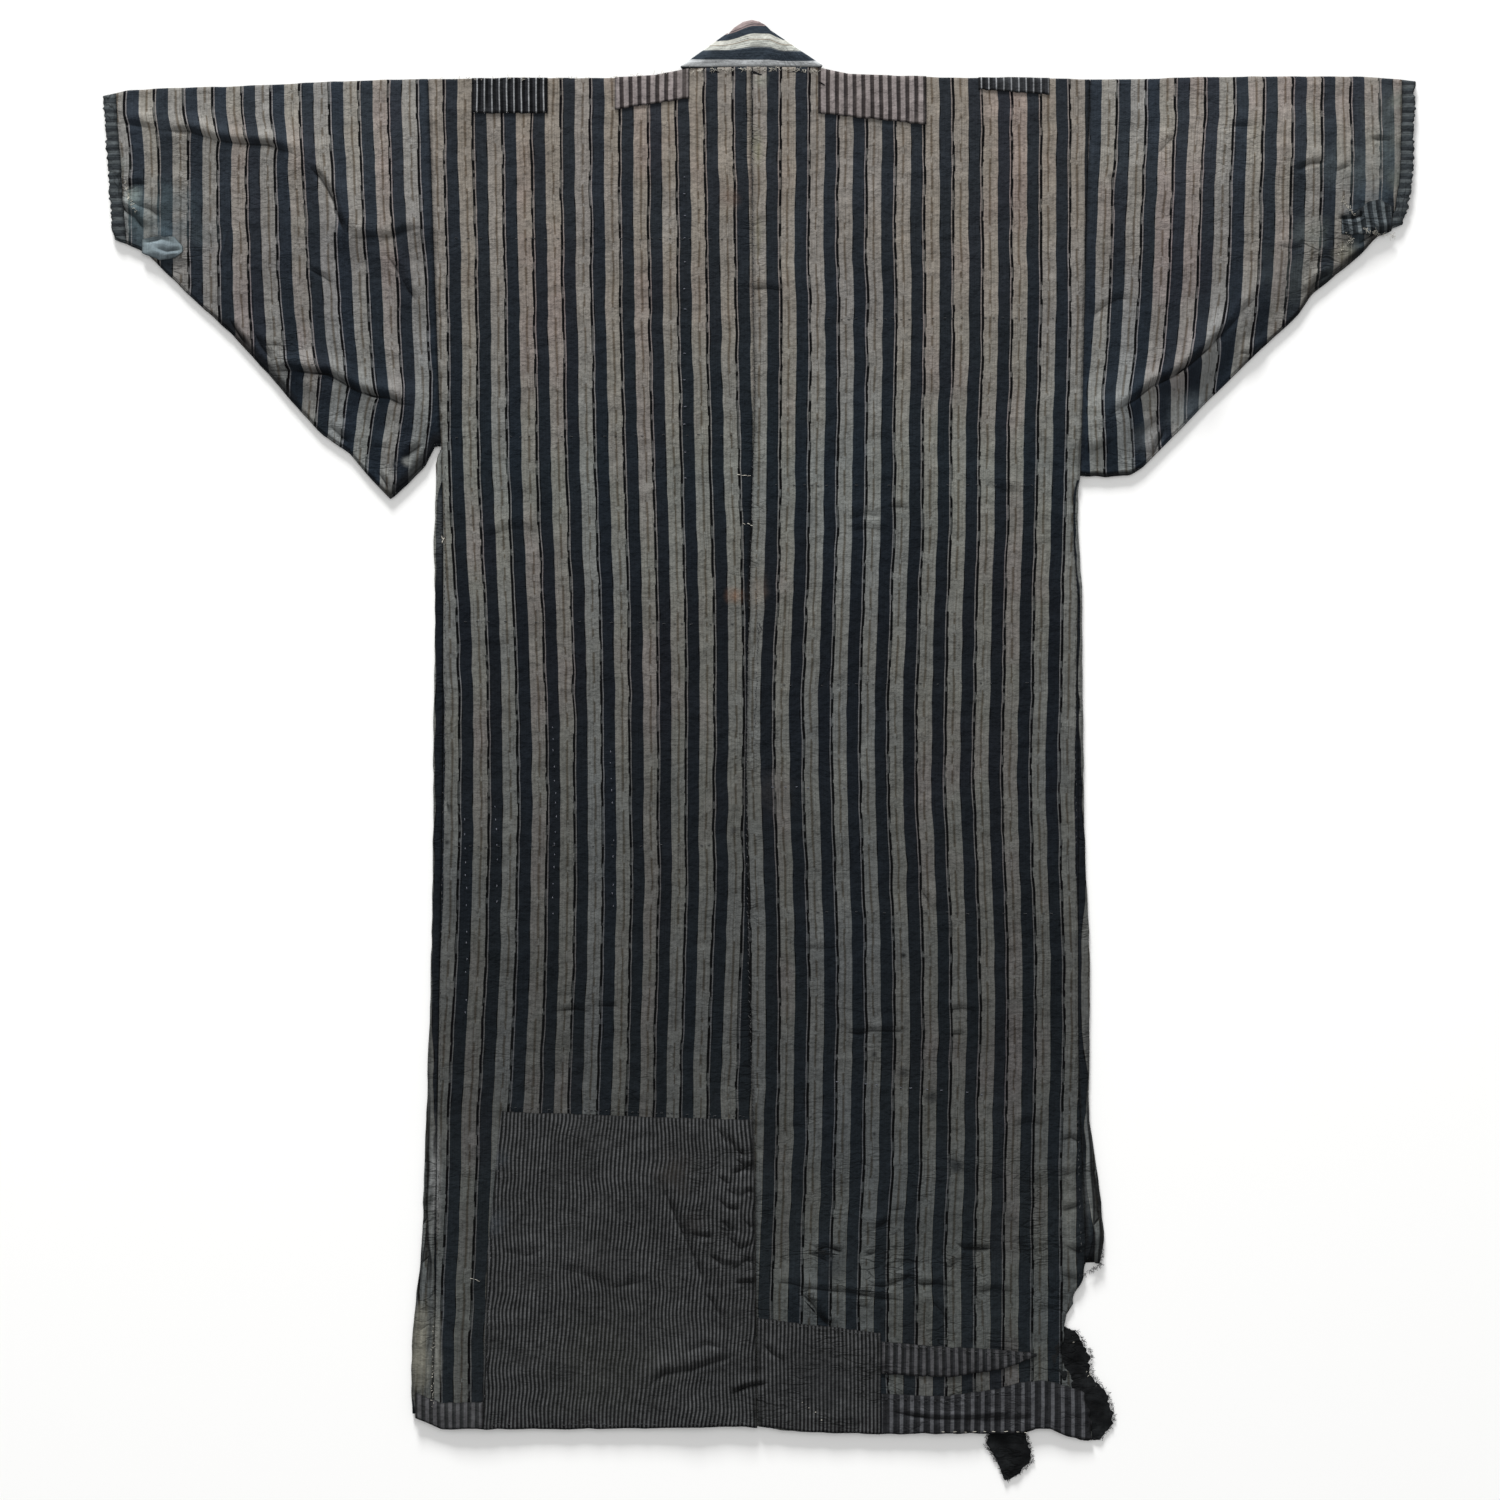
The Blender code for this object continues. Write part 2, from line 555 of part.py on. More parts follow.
def close_rings(sheet, rings):
    """Join neighbouring ring sections with cells all round."""
    count = RING_BACK + RING_FRONT + 2 + 2 * len(FOLD_ANGLES)
    for number in range(rings - 1):
        for step in range(count):
            after = (step + 1) % count
            sheet.cell((number, step), (number + 1, step), (number + 1, after), (number, after))


def fold_arc(fold, side, level):
    """Points round one diagonal fold of the collar, from the strip up to the crown."""
    run_x, run_y = fold.edge_x - fold.base_x, fold.edge_y - fold.base_y
    length = math.hypot(run_x, run_y)
    out_x, out_y = side * abs(run_y) / length, abs(run_x) / length
    radius, middle = (CROWN_LEVEL - level) / 2, (CROWN_LEVEL + level) / 2
    for angle in (-90.0, -45.0, 0.0, 45.0, 90.0):
        reach = radius * math.cos(math.radians(angle))
        yield fold, reach * out_x, reach * out_y, middle + radius * math.sin(math.radians(angle))


def collar_lines():
    """Lines across the collar in order, each with a shift, a level and a swell."""
    lines = [(MIDDLE, 1.0, strip, 0.0, 0.0, FLOOR_LEVEL, 0.0) for strip in FRONT_STRIPS]
    lines += [(0.0, 1.0, *arc, 0.0) for arc in fold_arc(CROWN_FOLD_LEFT, -1, FLOOR_LEVEL)]
    for strip in CROWN_STRIPS:
        lines.append((0.0, 1.0, strip, 0.0, 0.0, BACK_LEVEL, CROWN_SWELL))
    right = list(fold_arc(CROWN_FOLD_RIGHT, 1, CROSSED_LEVEL))
    lines += [(0.0, 1.0, *arc, 0.0) for arc in reversed(right)]
    for strip in reversed(FRONT_STRIPS):
        lines.append((MIDDLE, -1.0, strip, 0.0, 0.0, CROSSED_LEVEL, 0.0))
    return lines


def build_collar(name):
    """Collar strip: up one front edge, folded over behind the neck, down the other."""
    sheet = Sheet()
    lines = collar_lines()
    for number, (middle, mirror, strip, shift_x, shift_y, level, swell) in enumerate(lines):
        for step in range(STRIP_CELLS + 1):
            share = step / STRIP_CELLS
            x = middle + mirror * (strip.base_x + (strip.edge_x - strip.base_x) * share)
            y = strip.base_y + (strip.edge_y - strip.base_y) * share
            rise = swell * math.sin(math.pi * share) + (1.2 * share if swell else 0.0)
            sheet.put((number, step), x + shift_x, y + shift_y, level + rise)
    for number in range(len(lines) - 1):
        for step in range(STRIP_CELLS):
            sheet.cell((number, step), (number + 1, step),
                       (number + 1, step + 1), (number, step + 1))
    sheet.make(name, COLLAR_CLOTH)


def build_scrap(name, levels, colour, cells=3):
    """Torn scrap lying on the ground, from sections up its length."""
    sheet = Sheet()
    for number, level in enumerate(levels):
        for column in range(cells + 1):
            x = level.inner + (level.outer - level.inner) * column / cells
            sheet.put((number, column), x, level.y, FLOOR_LEVEL)
    for number in range(len(levels) - 1):
        for column in range(cells):
            sheet.cell((number, column), (number, column + 1),
                       (number + 1, column + 1), (number + 1, column))
    sheet.make(name, colour)


def keep_inside(piece, outline):
    """Cut away what lies outside an outline that turns left, seen from above."""
    for start, stop in zip(outline, outline[1:] + outline[:1]):
        outward = Vector((stop.y - start.y, start.x - stop.x, 0.0)).normalized()
        bmesh.ops.bisect_plane(
            piece, geom=piece.verts[:] + piece.edges[:] + piece.faces[:],
            plane_co=start, plane_no=outward, clear_outer=True)


def outline_point(x, y):
    """Corner of an outline, in metres."""
    return Vector((x * MM, y * MM, 0.0))


def lay_patch(name, faces, sections, colour):
    """Cut a patch out of the faces under it, lift it by the clearance and thicken it."""
    patch, mesh = bmesh.new(), bpy.data.meshes.new(name + "_piece")
    for left, right in zip(sections, sections[1:]):
        piece = faces.copy()
        keep_inside(piece, [outline_point(left.x, left.low), outline_point(right.x, right.low),
                            outline_point(right.x, right.high),
                            outline_point(left.x, left.high)])
        piece.to_mesh(mesh)
        patch.from_mesh(mesh)
    bmesh.ops.remove_doubles(patch, verts=patch.verts, dist=MERGE * MM)
    bmesh.ops.translate(patch, verts=patch.verts, vec=(0.0, 0.0, LAY_GAP * MM))
    raised = bmesh.ops.extrude_face_region(patch, geom=patch.faces[:], use_keep_orig=True)
    tops = [part for part in raised["geom"] if isinstance(part, bmesh.types.BMVert)]
    bmesh.ops.translate(patch, verts=tops, vec=(0.0, 0.0, PATCH_WALL * MM))
    bmesh.ops.recalc_face_normals(patch, faces=patch.faces)
    add_object(name, patch, colour)
    bpy.data.meshes.remove(mesh)


def on_back(key):
    """True for points of the back and of the first step over the shoulder."""
    return key[0] == "back" or key[:2] == ("fold", 0)


def hem_band_bridge(front_rows):
    """Cells that carry the left hem band across the side seam."""
    strip = -len(WRAP_ANGLES) - 1
    return [(("front", front_rows, strip), ("back", 0, 0), ("back", 1, 0),
             ("front", front_rows - 1, strip))]


def on_hem_band(front_rows):
    """Chooser for the faces under the left hem band."""
    def chosen(key):
        kind, number, column = key
        if kind == "back":
            return number <= 1
        return kind == "front" and number >= front_rows - 1 and column <= -len(WRAP_ANGLES)
    return chosen


def on_sleeve_top(key):
    """True for points of a sleeve's upper layer."""
    return key[1] <= RING_BACK


def build_patches(left, right, sleeves, front_rows):
    """All the pieces that lie on the coat."""
    jobs = (
        ("patch_shoulder_dark_left", left, SHOULDER_DARK_LEFT, DARK_STRIPE),
        ("patch_shoulder_dark_right", right, SHOULDER_DARK_RIGHT, DARK_STRIPE),
        ("patch_shoulder_brown_left", left, SHOULDER_BROWN_LEFT, BROWN_STRIPE),
        ("patch_shoulder_brown_right", right, SHOULDER_BROWN_RIGHT, BROWN_STRIPE),
        ("patch_hem_large", left, HEM_PATCH_LARGE, FINE_STRIPE),
        ("patch_hem_middle", right, HEM_PATCH_MIDDLE, FINE_STRIPE),
        ("patch_hem_wedge", right, HEM_PATCH_WEDGE, COARSE_STRIPE),
        ("hem_band_right", right, HEM_BAND_RIGHT, COARSE_STRIPE),
    )
    for name, panel, sections, colour in jobs:
        lay_patch(name, panel.upper_faces(on_back), sections, colour)
    band_faces = left.upper_faces(on_hem_band(front_rows), hem_band_bridge(front_rows))
    lay_patch("hem_band_left", band_faces, HEM_BAND_LEFT, COARSE_STRIPE)
    for name, side, sections, colour in (
            ("patch_cuff_left", -1, CUFF_PATCH_LEFT, BLUE_CLOTH),
            ("patch_cuff_right", 1, CUFF_PATCH_RIGHT, COARSE_STRIPE)):
        lay_patch(name, sleeves[side].upper_faces(on_sleeve_top), sections, colour)


def main():
    """Build the coat."""
    for thing in list(bpy.data.objects):
        bpy.data.objects.remove(thing)
    left, front_rows = build_body("body_left", -1)
    right, _ = build_body("body_right", 1)
    build_overlap("overlap_left", -1)
    build_overlap("overlap_right", 1)
    sleeves = {-1: build_sleeve("sleeve_left", -1), 1: build_sleeve("sleeve_right", 1)}
    build_cuff("cuff_left", -1)
    build_cuff("cuff_right", 1)
    build_collar("collar")
    build_scrap("facing_torn", TORN_FACING, BLACK_CLOTH)
    build_scrap("tatter", TATTER, BLACK_CLOTH)
    build_patches(left, right, sleeves, front_rows)


main()
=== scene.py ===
"""Looks of a patched boro coat that lies flat on its front, back side up.

Each piece of cloth is a fine shell on the form of its solid. Tables and sizes are in
millimetres and are scaled to metres when a mesh is made. +Y runs towards the collar,
+X towards the wearer's right sleeve, and the coat rests on z = 0.
"""
import logging
import math
from dataclasses import dataclass, field
from enum import Enum
from typing import Any, Callable, NamedTuple, Sequence, TypeVar

import bpy
import numpy as np
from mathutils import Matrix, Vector


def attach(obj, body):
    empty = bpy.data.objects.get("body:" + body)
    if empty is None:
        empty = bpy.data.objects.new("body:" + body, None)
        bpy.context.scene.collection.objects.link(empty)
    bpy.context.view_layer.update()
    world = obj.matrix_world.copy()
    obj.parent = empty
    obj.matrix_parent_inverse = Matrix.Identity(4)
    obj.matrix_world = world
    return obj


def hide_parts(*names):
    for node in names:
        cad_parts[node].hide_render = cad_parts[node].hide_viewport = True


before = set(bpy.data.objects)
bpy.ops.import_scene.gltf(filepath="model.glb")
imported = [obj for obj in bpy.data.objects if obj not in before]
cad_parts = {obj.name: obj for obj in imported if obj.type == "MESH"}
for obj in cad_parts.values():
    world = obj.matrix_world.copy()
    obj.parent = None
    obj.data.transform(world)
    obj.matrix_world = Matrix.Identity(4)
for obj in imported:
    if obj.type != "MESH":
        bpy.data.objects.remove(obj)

LOG = logging.getLogger("coat")
MM = 0.001
Colour = tuple[float, float, float, float]
Socket = bpy.types.NodeSocket
Row = TypeVar("Row")
NO_FOLD = 12.0


class Side(Enum):
    """Side of the coat, seen from above."""

    LEFT = -1
    RIGHT = 1


class Hold(Enum):
    """How a sheet of cloth is held."""

    LAID = "laid"
    FOLDED = "folded"


# ---- tables


class BodyRow(NamedTuple):
    """Edges of the back at one height."""

    y: float
    seam_left: float
    centre: float
    seam_right: float
    edge_left: float
    edge_right: float


class Edge(NamedTuple):
    """Point on an outline."""

    x: float
    y: float


class Drift(NamedTuple):
    """How far the stripes lean sideways at one height, at several places across."""

    y: float
    leans: tuple[float, ...]


class Strip(NamedTuple):
    """Line across the collar strip, from its sewn base to its free edge."""

    base_x: float
    base_y: float
    edge_x: float
    edge_y: float


class Section(NamedTuple):
    """Low and high edge of a patch at one place across it."""

    x: float
    low: float
    high: float


class Level(NamedTuple):
    """Inner and outer edge of a torn piece at one height."""

    y: float
    inner: float
    outer: float


class Ridge(NamedTuple):
    """Soft long swelling of the cloth."""

    x0: float
    y0: float
    x1: float
    y1: float
    height: float
    width: float


class EdgeShade(NamedTuple):
    """Width and strength of the painted shade and dark inside along a sleeve's lower edge."""

    x: float
    width: float
    strength: float


class Marks(NamedTuple):
    """What shows on cloth: dirt and painted shade, distance to a pressed fold, its strength, and
    crumpling.
    """

    dirt: np.ndarray | float = 0.0
    fold: np.ndarray | float = NO_FOLD
    press: np.ndarray | float = 0.0
    crumple: np.ndarray | float = 0.4


class Lie(NamedTuple):
    """How cloth lies: its height, the sideways slip of its stripes, and what shows on it."""

    height: np.ndarray
    slip: np.ndarray
    marks: Marks


@dataclass(frozen=True)
class Crease:
    """Pressed fold: a trough with a raised lip on the left of its line; painted shade and highlight.

    Args:
        line: Points along it.
        depth: Depth of the trough.
        width: Half width of the trough.
        lip: Height of the raised side.
        dark: Strength of its painted shade and highlight, from 0 to 1.
        jog: How far the stripes step sideways at it.
    """

    line: tuple[tuple[float, float], ...]
    depth: float = 1.0
    width: float = 2.4
    lip: float = 0.8
    dark: float = 0.5
    jog: float = 0.0


def listed(kind: Callable[..., Row], *rows: Sequence[Any]) -> tuple[Row, ...]:
    """Records of one kind, one from each plain row."""
    return tuple(kind(*row) for row in rows)


BODY_ROWS = listed(BodyRow,
    (-631, -300.5, -1, 309, -322, 265.5), (-596, -302.5, -2, 303.5, -323.5, 265.5),
    (-558.5, -301.5, -2, 281, -323, 265.5), (-517.5, -300.5, -2.5, 285, -320, 265.5),
    (-482.5, -300, -3, 301.5, -315.5, 317.5), (-451.5, -300, -3, 303.5, -313, 321),
    (-400.5, -299.5, -3.5, 301.5, -312, 316), (-344.5, -299, -5.5, 299, -309.5, 307),
    (-288.5, -298, -7.5, 297, -308, 307), (-233, -297, -8.5, 296.5, -306, 308),
    (-167.5, -296, -10, 296.5, -304.5, 307), (-102.5, -295, -11, 297, -303.5, 303.5),
    (-37, -294, -12, 297.5, -303, 302), (28, -293.5, -11, 297, -303, 301.5),
    (93, -293.5, -10, 296, -301.5, 300.5), (149, -293.5, -9, 296, -301.5, 300.5),
    (195.5, -293.5, -7.5, 292.5, -302.5, 297), (240, -294, -6, 292, -300.5, 296.5),
    (253, -294.5, -5.5, 298.3, -300.5, 298.3), (268, -295, -5, 298.7, -300.5, 298.7),
    (280, -295.5, -4.5, 299, -295.5, 299), (326, -297.1, -3.5, 300.3, -297.1, 300.3),
    (419, -300.4, -5.5, 302.6, -300.4, 302.6), (521.5, -303.9, -6.5, 305.2, -303.9, 305.2),
    (640, -308.1, -7, 308.2, -308.1, 308.2),
)
TOP_EDGE = listed(Edge,
    (-610, 609), (-587.5, 613.8), (-520.5, 616.5), (-475.5, 618), (-408.5, 621), (-364, 623),
    (-306.5, 624), (-140.5, 625.5), (-96, 627.5), (-77.5, 631.5), (-64, 634), (-8.5, 635.5), (55, 634.5),
    (60.5, 633.5), (83, 628.5), (105, 627.5), (194.5, 625.5), (328.5, 624), (418, 626.5), (552, 626.5),
    (597, 624), (609, 622),
)
HEM_EDGE = listed(Edge,
    (-324, -618), (-295, -631), (-148, -631), (-2, -628.5), (38, -634), (113.5, -635.5), (246, -635),
    (258, -631), (273.5, -631), (290.5, -638.5), (315.5, -642.5),
)
SLEEVE_BOTTOM = {
    Side.LEFT: listed(Edge,
        (-611, 475), (-598.5, 471), (-578, 461), (-537, 423.5), (-495.5, 386.5), (-460, 349),
        (-427.5, 312), (-409.5, 293.5), (-382.5, 274.5), (-367.5, 256), (-345.5, 233.5), (-329.5, 246.5),
        (-311, 265.5), (-301.5, 282), (-296, 282),
    ),
    Side.RIGHT: listed(Edge,
        (299, 255), (317.5, 254), (346.5, 255), (359.5, 262.5), (391, 293.5), (429, 330.5), (469, 367.5),
        (512, 405), (525, 423.5), (573.5, 461), (592, 479.5), (611, 489),
    ),
}
CUFF_EDGE = {
    Side.LEFT: listed(Edge, (-600, 470), (-610, 611)),
    Side.RIGHT: listed(Edge,
        (594, 476), (598.5, 492), (603, 502), (607, 530), (609.5, 600), (609.5, 623),
    ),
}
BODY_DRIFT_AT = (50.0, 120.0, 200.0, 275.0)
BODY_DRIFT = {
    Side.LEFT: listed(Drift,
        (577, (-1.5, 1, 0, -0.5)), (484, (0.5, 1, 1.5, 2)), (391, (1.5, 2.5, 3, 3.5)),
        (289, (3.5, 5, 5, 4.5)), (233, (5, 6.5, 6.5, 6)), (140, (7.5, 9, 10, 11)),
        (19, (8.5, 10.5, 14.5, 14.5)), (-60, (7.5, 11, 15, 14)), (-121, (8, 12, 14, 13)),
        (-214, (5, 10, 12.5, 10)), (-307, (2, 8, 9, 5)), (-419, (1, 3.5, 4, 2)), (-512, (0, 0, 0, -2)),
        (-586, (0, 0, -1, -4)),
    ),
    Side.RIGHT: listed(Drift,
        (577, (1.5, 0, 0, 0.5)), (484, (0.5, 0, 0, 0)), (391, (2, 1, 0.5, 0)),
        (298, (1.5, -0.5, -2, -2.5)), (205, (0.5, -1, -3, -4.5)), (140, (-1, -3.5, -5, -6.5)),
        (40, (-4.5, -6.5, -7, -8)), (-40, (-3.5, -6, -8, -9)), (-121, (-1, -3, -4.5, -7.5)),
        (-190, (0.5, -1, -2.5, -5)), (-261, (0.5, -0.5, -2, -5)), (-330, (-0.5, -2, -4, -6.5)),
        (-400, (-2.5, -3, -5, -8)), (-447, (-4.5, -5.5, -6.5, -8)), (-500, (-6, -7, -7, -7.5)),
        (-631, (-5, -6, -7, -8)),
    ),
}
SLEEVE_DRIFT_AT = (345.0, 430.0, 545.0)
SLEEVE_DRIFT = {
    Side.LEFT: listed(Drift,
        (591, (0, -1.5, -1.5)), (559, (1, 0.5, 2.5)), (512, (3, 3.5, 3)), (466, (6, 5, 3)),
        (419, (9, 8, 2.5)), (372, (11, 11, 4)), (326, (12.5, 15, 7)), (260, (5.5, 9, 6)),
    ),
    Side.RIGHT: listed(Drift,
        (591, (1, 2, 2)), (559, (0, 0, 2.5)), (512, (-2.5, -2, 2)), (466, (-4.5, -3.5, 1.5)),
        (419, (-6, -6, -2.5)), (372, (-9, -11, -5)), (326, (-13, -18, -8)), (260, (-10, -18, -12)),
    ),
}
STRIP_SHADE = {
    Side.LEFT: listed(Edge,
        (-1.5, 285), (-1.5, 256), (5.5, 234), (7.5, 185), (7.5, -200), (5, -290), (2, -380), (1.5, -640),
    ),
    Side.RIGHT: listed(Edge,
        (2.4, 250), (2.4, 95), (1.3, 60), (1.5, 0), (6.5, -80), (8, -120), (3, -175), (2.5, -260),
        (9, -300), (4, -345), (3.5, -410), (9, -460),
    ),
}
NECKLINE = listed(Edge, (100, -150), (0, 300), (-40, 460), (-60, 560), (-66.5, 634))
FRONT_STRIPS = listed(Strip,
    (100.2, -150, 152, -150), (66.9, 0, 115.7, 10.8), (33.5, 150, 82.3, 160.8), (0.2, 300, 49, 312),
    (-39.8, 460, 8.2, 472), (-59.8, 560, -11, 574),
)
CROWN_FOLD = {
    Side.LEFT: Strip(-71.5, 633.5, -28.0, 664.5),
    Side.RIGHT: Strip(58.0, 635.0, 6.0, 670.0),
}
CROWN_STRIPS = listed(Strip,
    (-50, 634.9, -22.5, 671.5), (-27, 635.5, -14.5, 676.8), (-4, 635.9, -6.5, 678.5), (20, 635.6, 0, 677),
    (42, 635.4, 5, 674),
)
RIDGES = listed(Ridge,
    (-579, 582, -425, 554, 2.6, 20), (-414, 542, -382, 484, 3, 22), (-382, 484, -316, 489, 2.6, 20),
    (-452, 352, -331, 319, 4.6, 22), (-346, 456, -322, 429, 2.2, 20), (-398, 298, -352, 282, 2.4, 16),
    (460, 425, 412, 372, 4.8, 22), (412, 372, 324, 313, 5.2, 24), (344, 322, 316, 282, 3.4, 20),
    (500, 560, 560, 520, 2.2, 22), (-206, 540, -196, -180, 1.5, 34), (-92, 420, -104, -300, 1.3, 30),
    (96, 500, 88, -60, 1.4, 32), (214, 380, 206, -420, 1.6, 34), (-88, -408, -57, -484, 2.4, 22),
    (-97, -588, -31, -561, 2.2, 18), (38, -505, 150, -512, 2.4, 20),
)
SLEEVE_CREASES = listed(Crease,
    (((-594, 583), (-576, 580), (-560, 577)), 1, 3.4, 1.6, 0.25, 1),
    (((-556, 575), (-530, 575), (-506, 567), (-480, 563), (-456, 562), (-440, 556), (-424, 551)),
     2, 3, 2.6, 0.55, 3.5),
    (((-420, 544), (-408, 532), (-400, 520), (-394, 508), (-389, 492), (-384, 478)), 2.4, 3, 2.6, 0.9, 2),
    (((-380, 474), (-360, 477), (-344, 476), (-330, 482), (-313, 485)), 1.3, 3, 1.6, 0.4),
    (((-348, 462), (-340, 452), (-332, 439), (-325, 426), (-317, 416)), 1.3, 2.8, 1.4, 0.5, 1.5),
    (((-419, 447), (-405, 440), (-396, 433)), 1, 2.6, 0.9, 0.45),
    (((-456, 352), (-436, 353), (-415, 350), (-400, 349), (-390, 343), (-380, 337), (-370, 332),
     (-356, 328), (-344, 327), (-332, 321), (-320, 319)), 3, 3.2, 3.6, 1, 5),
    (((-399, 301), (-389, 293), (-382, 286)), 1.4, 2.6, 1.2, 0.65),
    (((-354, 258), (-348, 250), (-344, 241)), 1.4, 2.4, 1.2, 0.6),
    (((-332, 272), (-322, 278), (-312, 285)), 1.4, 2.4, 1.4, 0.6),
    (((-492, 400), (-485, 389), (-477, 376)), 1.6, 2.6, 1.6, 0.9),
    (((-470, 390), (-463, 376), (-454, 364)), 1.2, 2.6, 1.2, 0.5),
    (((-492, 488), (-495, 475), (-498, 460)), 0.9, 3, 1, 0.3, 1.5),
    (((-462, 376), (-450, 376), (-438, 375)), 0.8, 2.6, 0.9, 0.3),
    (((-360, 282), (-350, 281), (-342, 280)), 0.8, 2.6, 0.9, 0.35),
    (((-574, 471), (-556, 475), (-538, 470)), 1, 2, 1.1, 0.35),
    (((-571, 461), (-553, 456), (-538, 459)), 0.9, 2, 1, 0.3),
    (((-562, 467), (-550, 463), (-536, 466)), 0.9, 2, 1, 0.4),
    (((-596, 512), (-588, 500), (-580, 496), (-572, 484)), 1.3, 2.4, 1.5, 0.6),
    (((-590, 524), (-580, 527), (-570, 526)), 1, 2.4, 1.2, 0.4),
    (((-586, 512), (-576, 505), (-566, 503), (-556, 495)), 0.9, 2.4, 1.1, 0.4),
    (((322, 307), (335, 317), (350, 326), (365, 338), (385, 347), (400, 358), (415, 371), (430, 387),
     (440, 397), (450, 407)), 3, 3, 3.8, 1, -5),
    (((446, 405), (453, 412), (461, 419)), 0.9, 2.4, 0.9, 0.35),
    (((366, 274), (371, 284), (376, 297)), 1.8, 2.6, 1.6, 0.8),
    (((354, 292), (362, 302), (372, 308)), 0.9, 2.6, 1, 0.3),
    (((309, 277), (321, 283), (330, 289)), 0.9, 2.6, 0.9, 0.35),
    (((309, 402), (322, 413), (336, 420), (346, 418)), 0.9, 2.8, 0.8, 0.3),
    (((371, 555), (381, 565), (389, 573)), 1, 2.6, 1, 0.35, -1),
    (((498, 538), (512, 545), (527, 546)), 1.1, 2.6, 1.1, 0.4),
    (((536, 537), (549, 543)), 0.9, 2.4, 0.8, 0.35), (((438, 580), (458, 580)), 0.8, 2.6, 0.8, 0.3),
    (((570, 568), (588, 566)), 0.9, 2.4, 0.8, 0.4),
    (((446, 369), (456, 368), (464, 373)), 1, 2.4, 1, 0.45),
    (((450, 356), (462, 367), (478, 381)), 1.4, 2.6, 1.6, 0.6),
    (((482, 470), (494, 466), (508, 468)), 0.8, 2.8, 0.9, 0.25),
    (((322, 540), (330, 520), (331, 498)), 0.8, 3.2, 0.9, 0.2, -1.5),
    (((538, 494), (552, 494), (562, 498)), 1.2, 2, 1, 0.8),
    (((556, 470), (572, 480), (592, 484)), 1.6, 2.6, 1.4, 0.9),
    (((548, 452), (562, 463), (580, 472)), 1.3, 2.4, 1.2, 0.7),
    (((505, 424), (520, 437), (540, 449)), 1.3, 2.4, 1.3, 0.6),
)
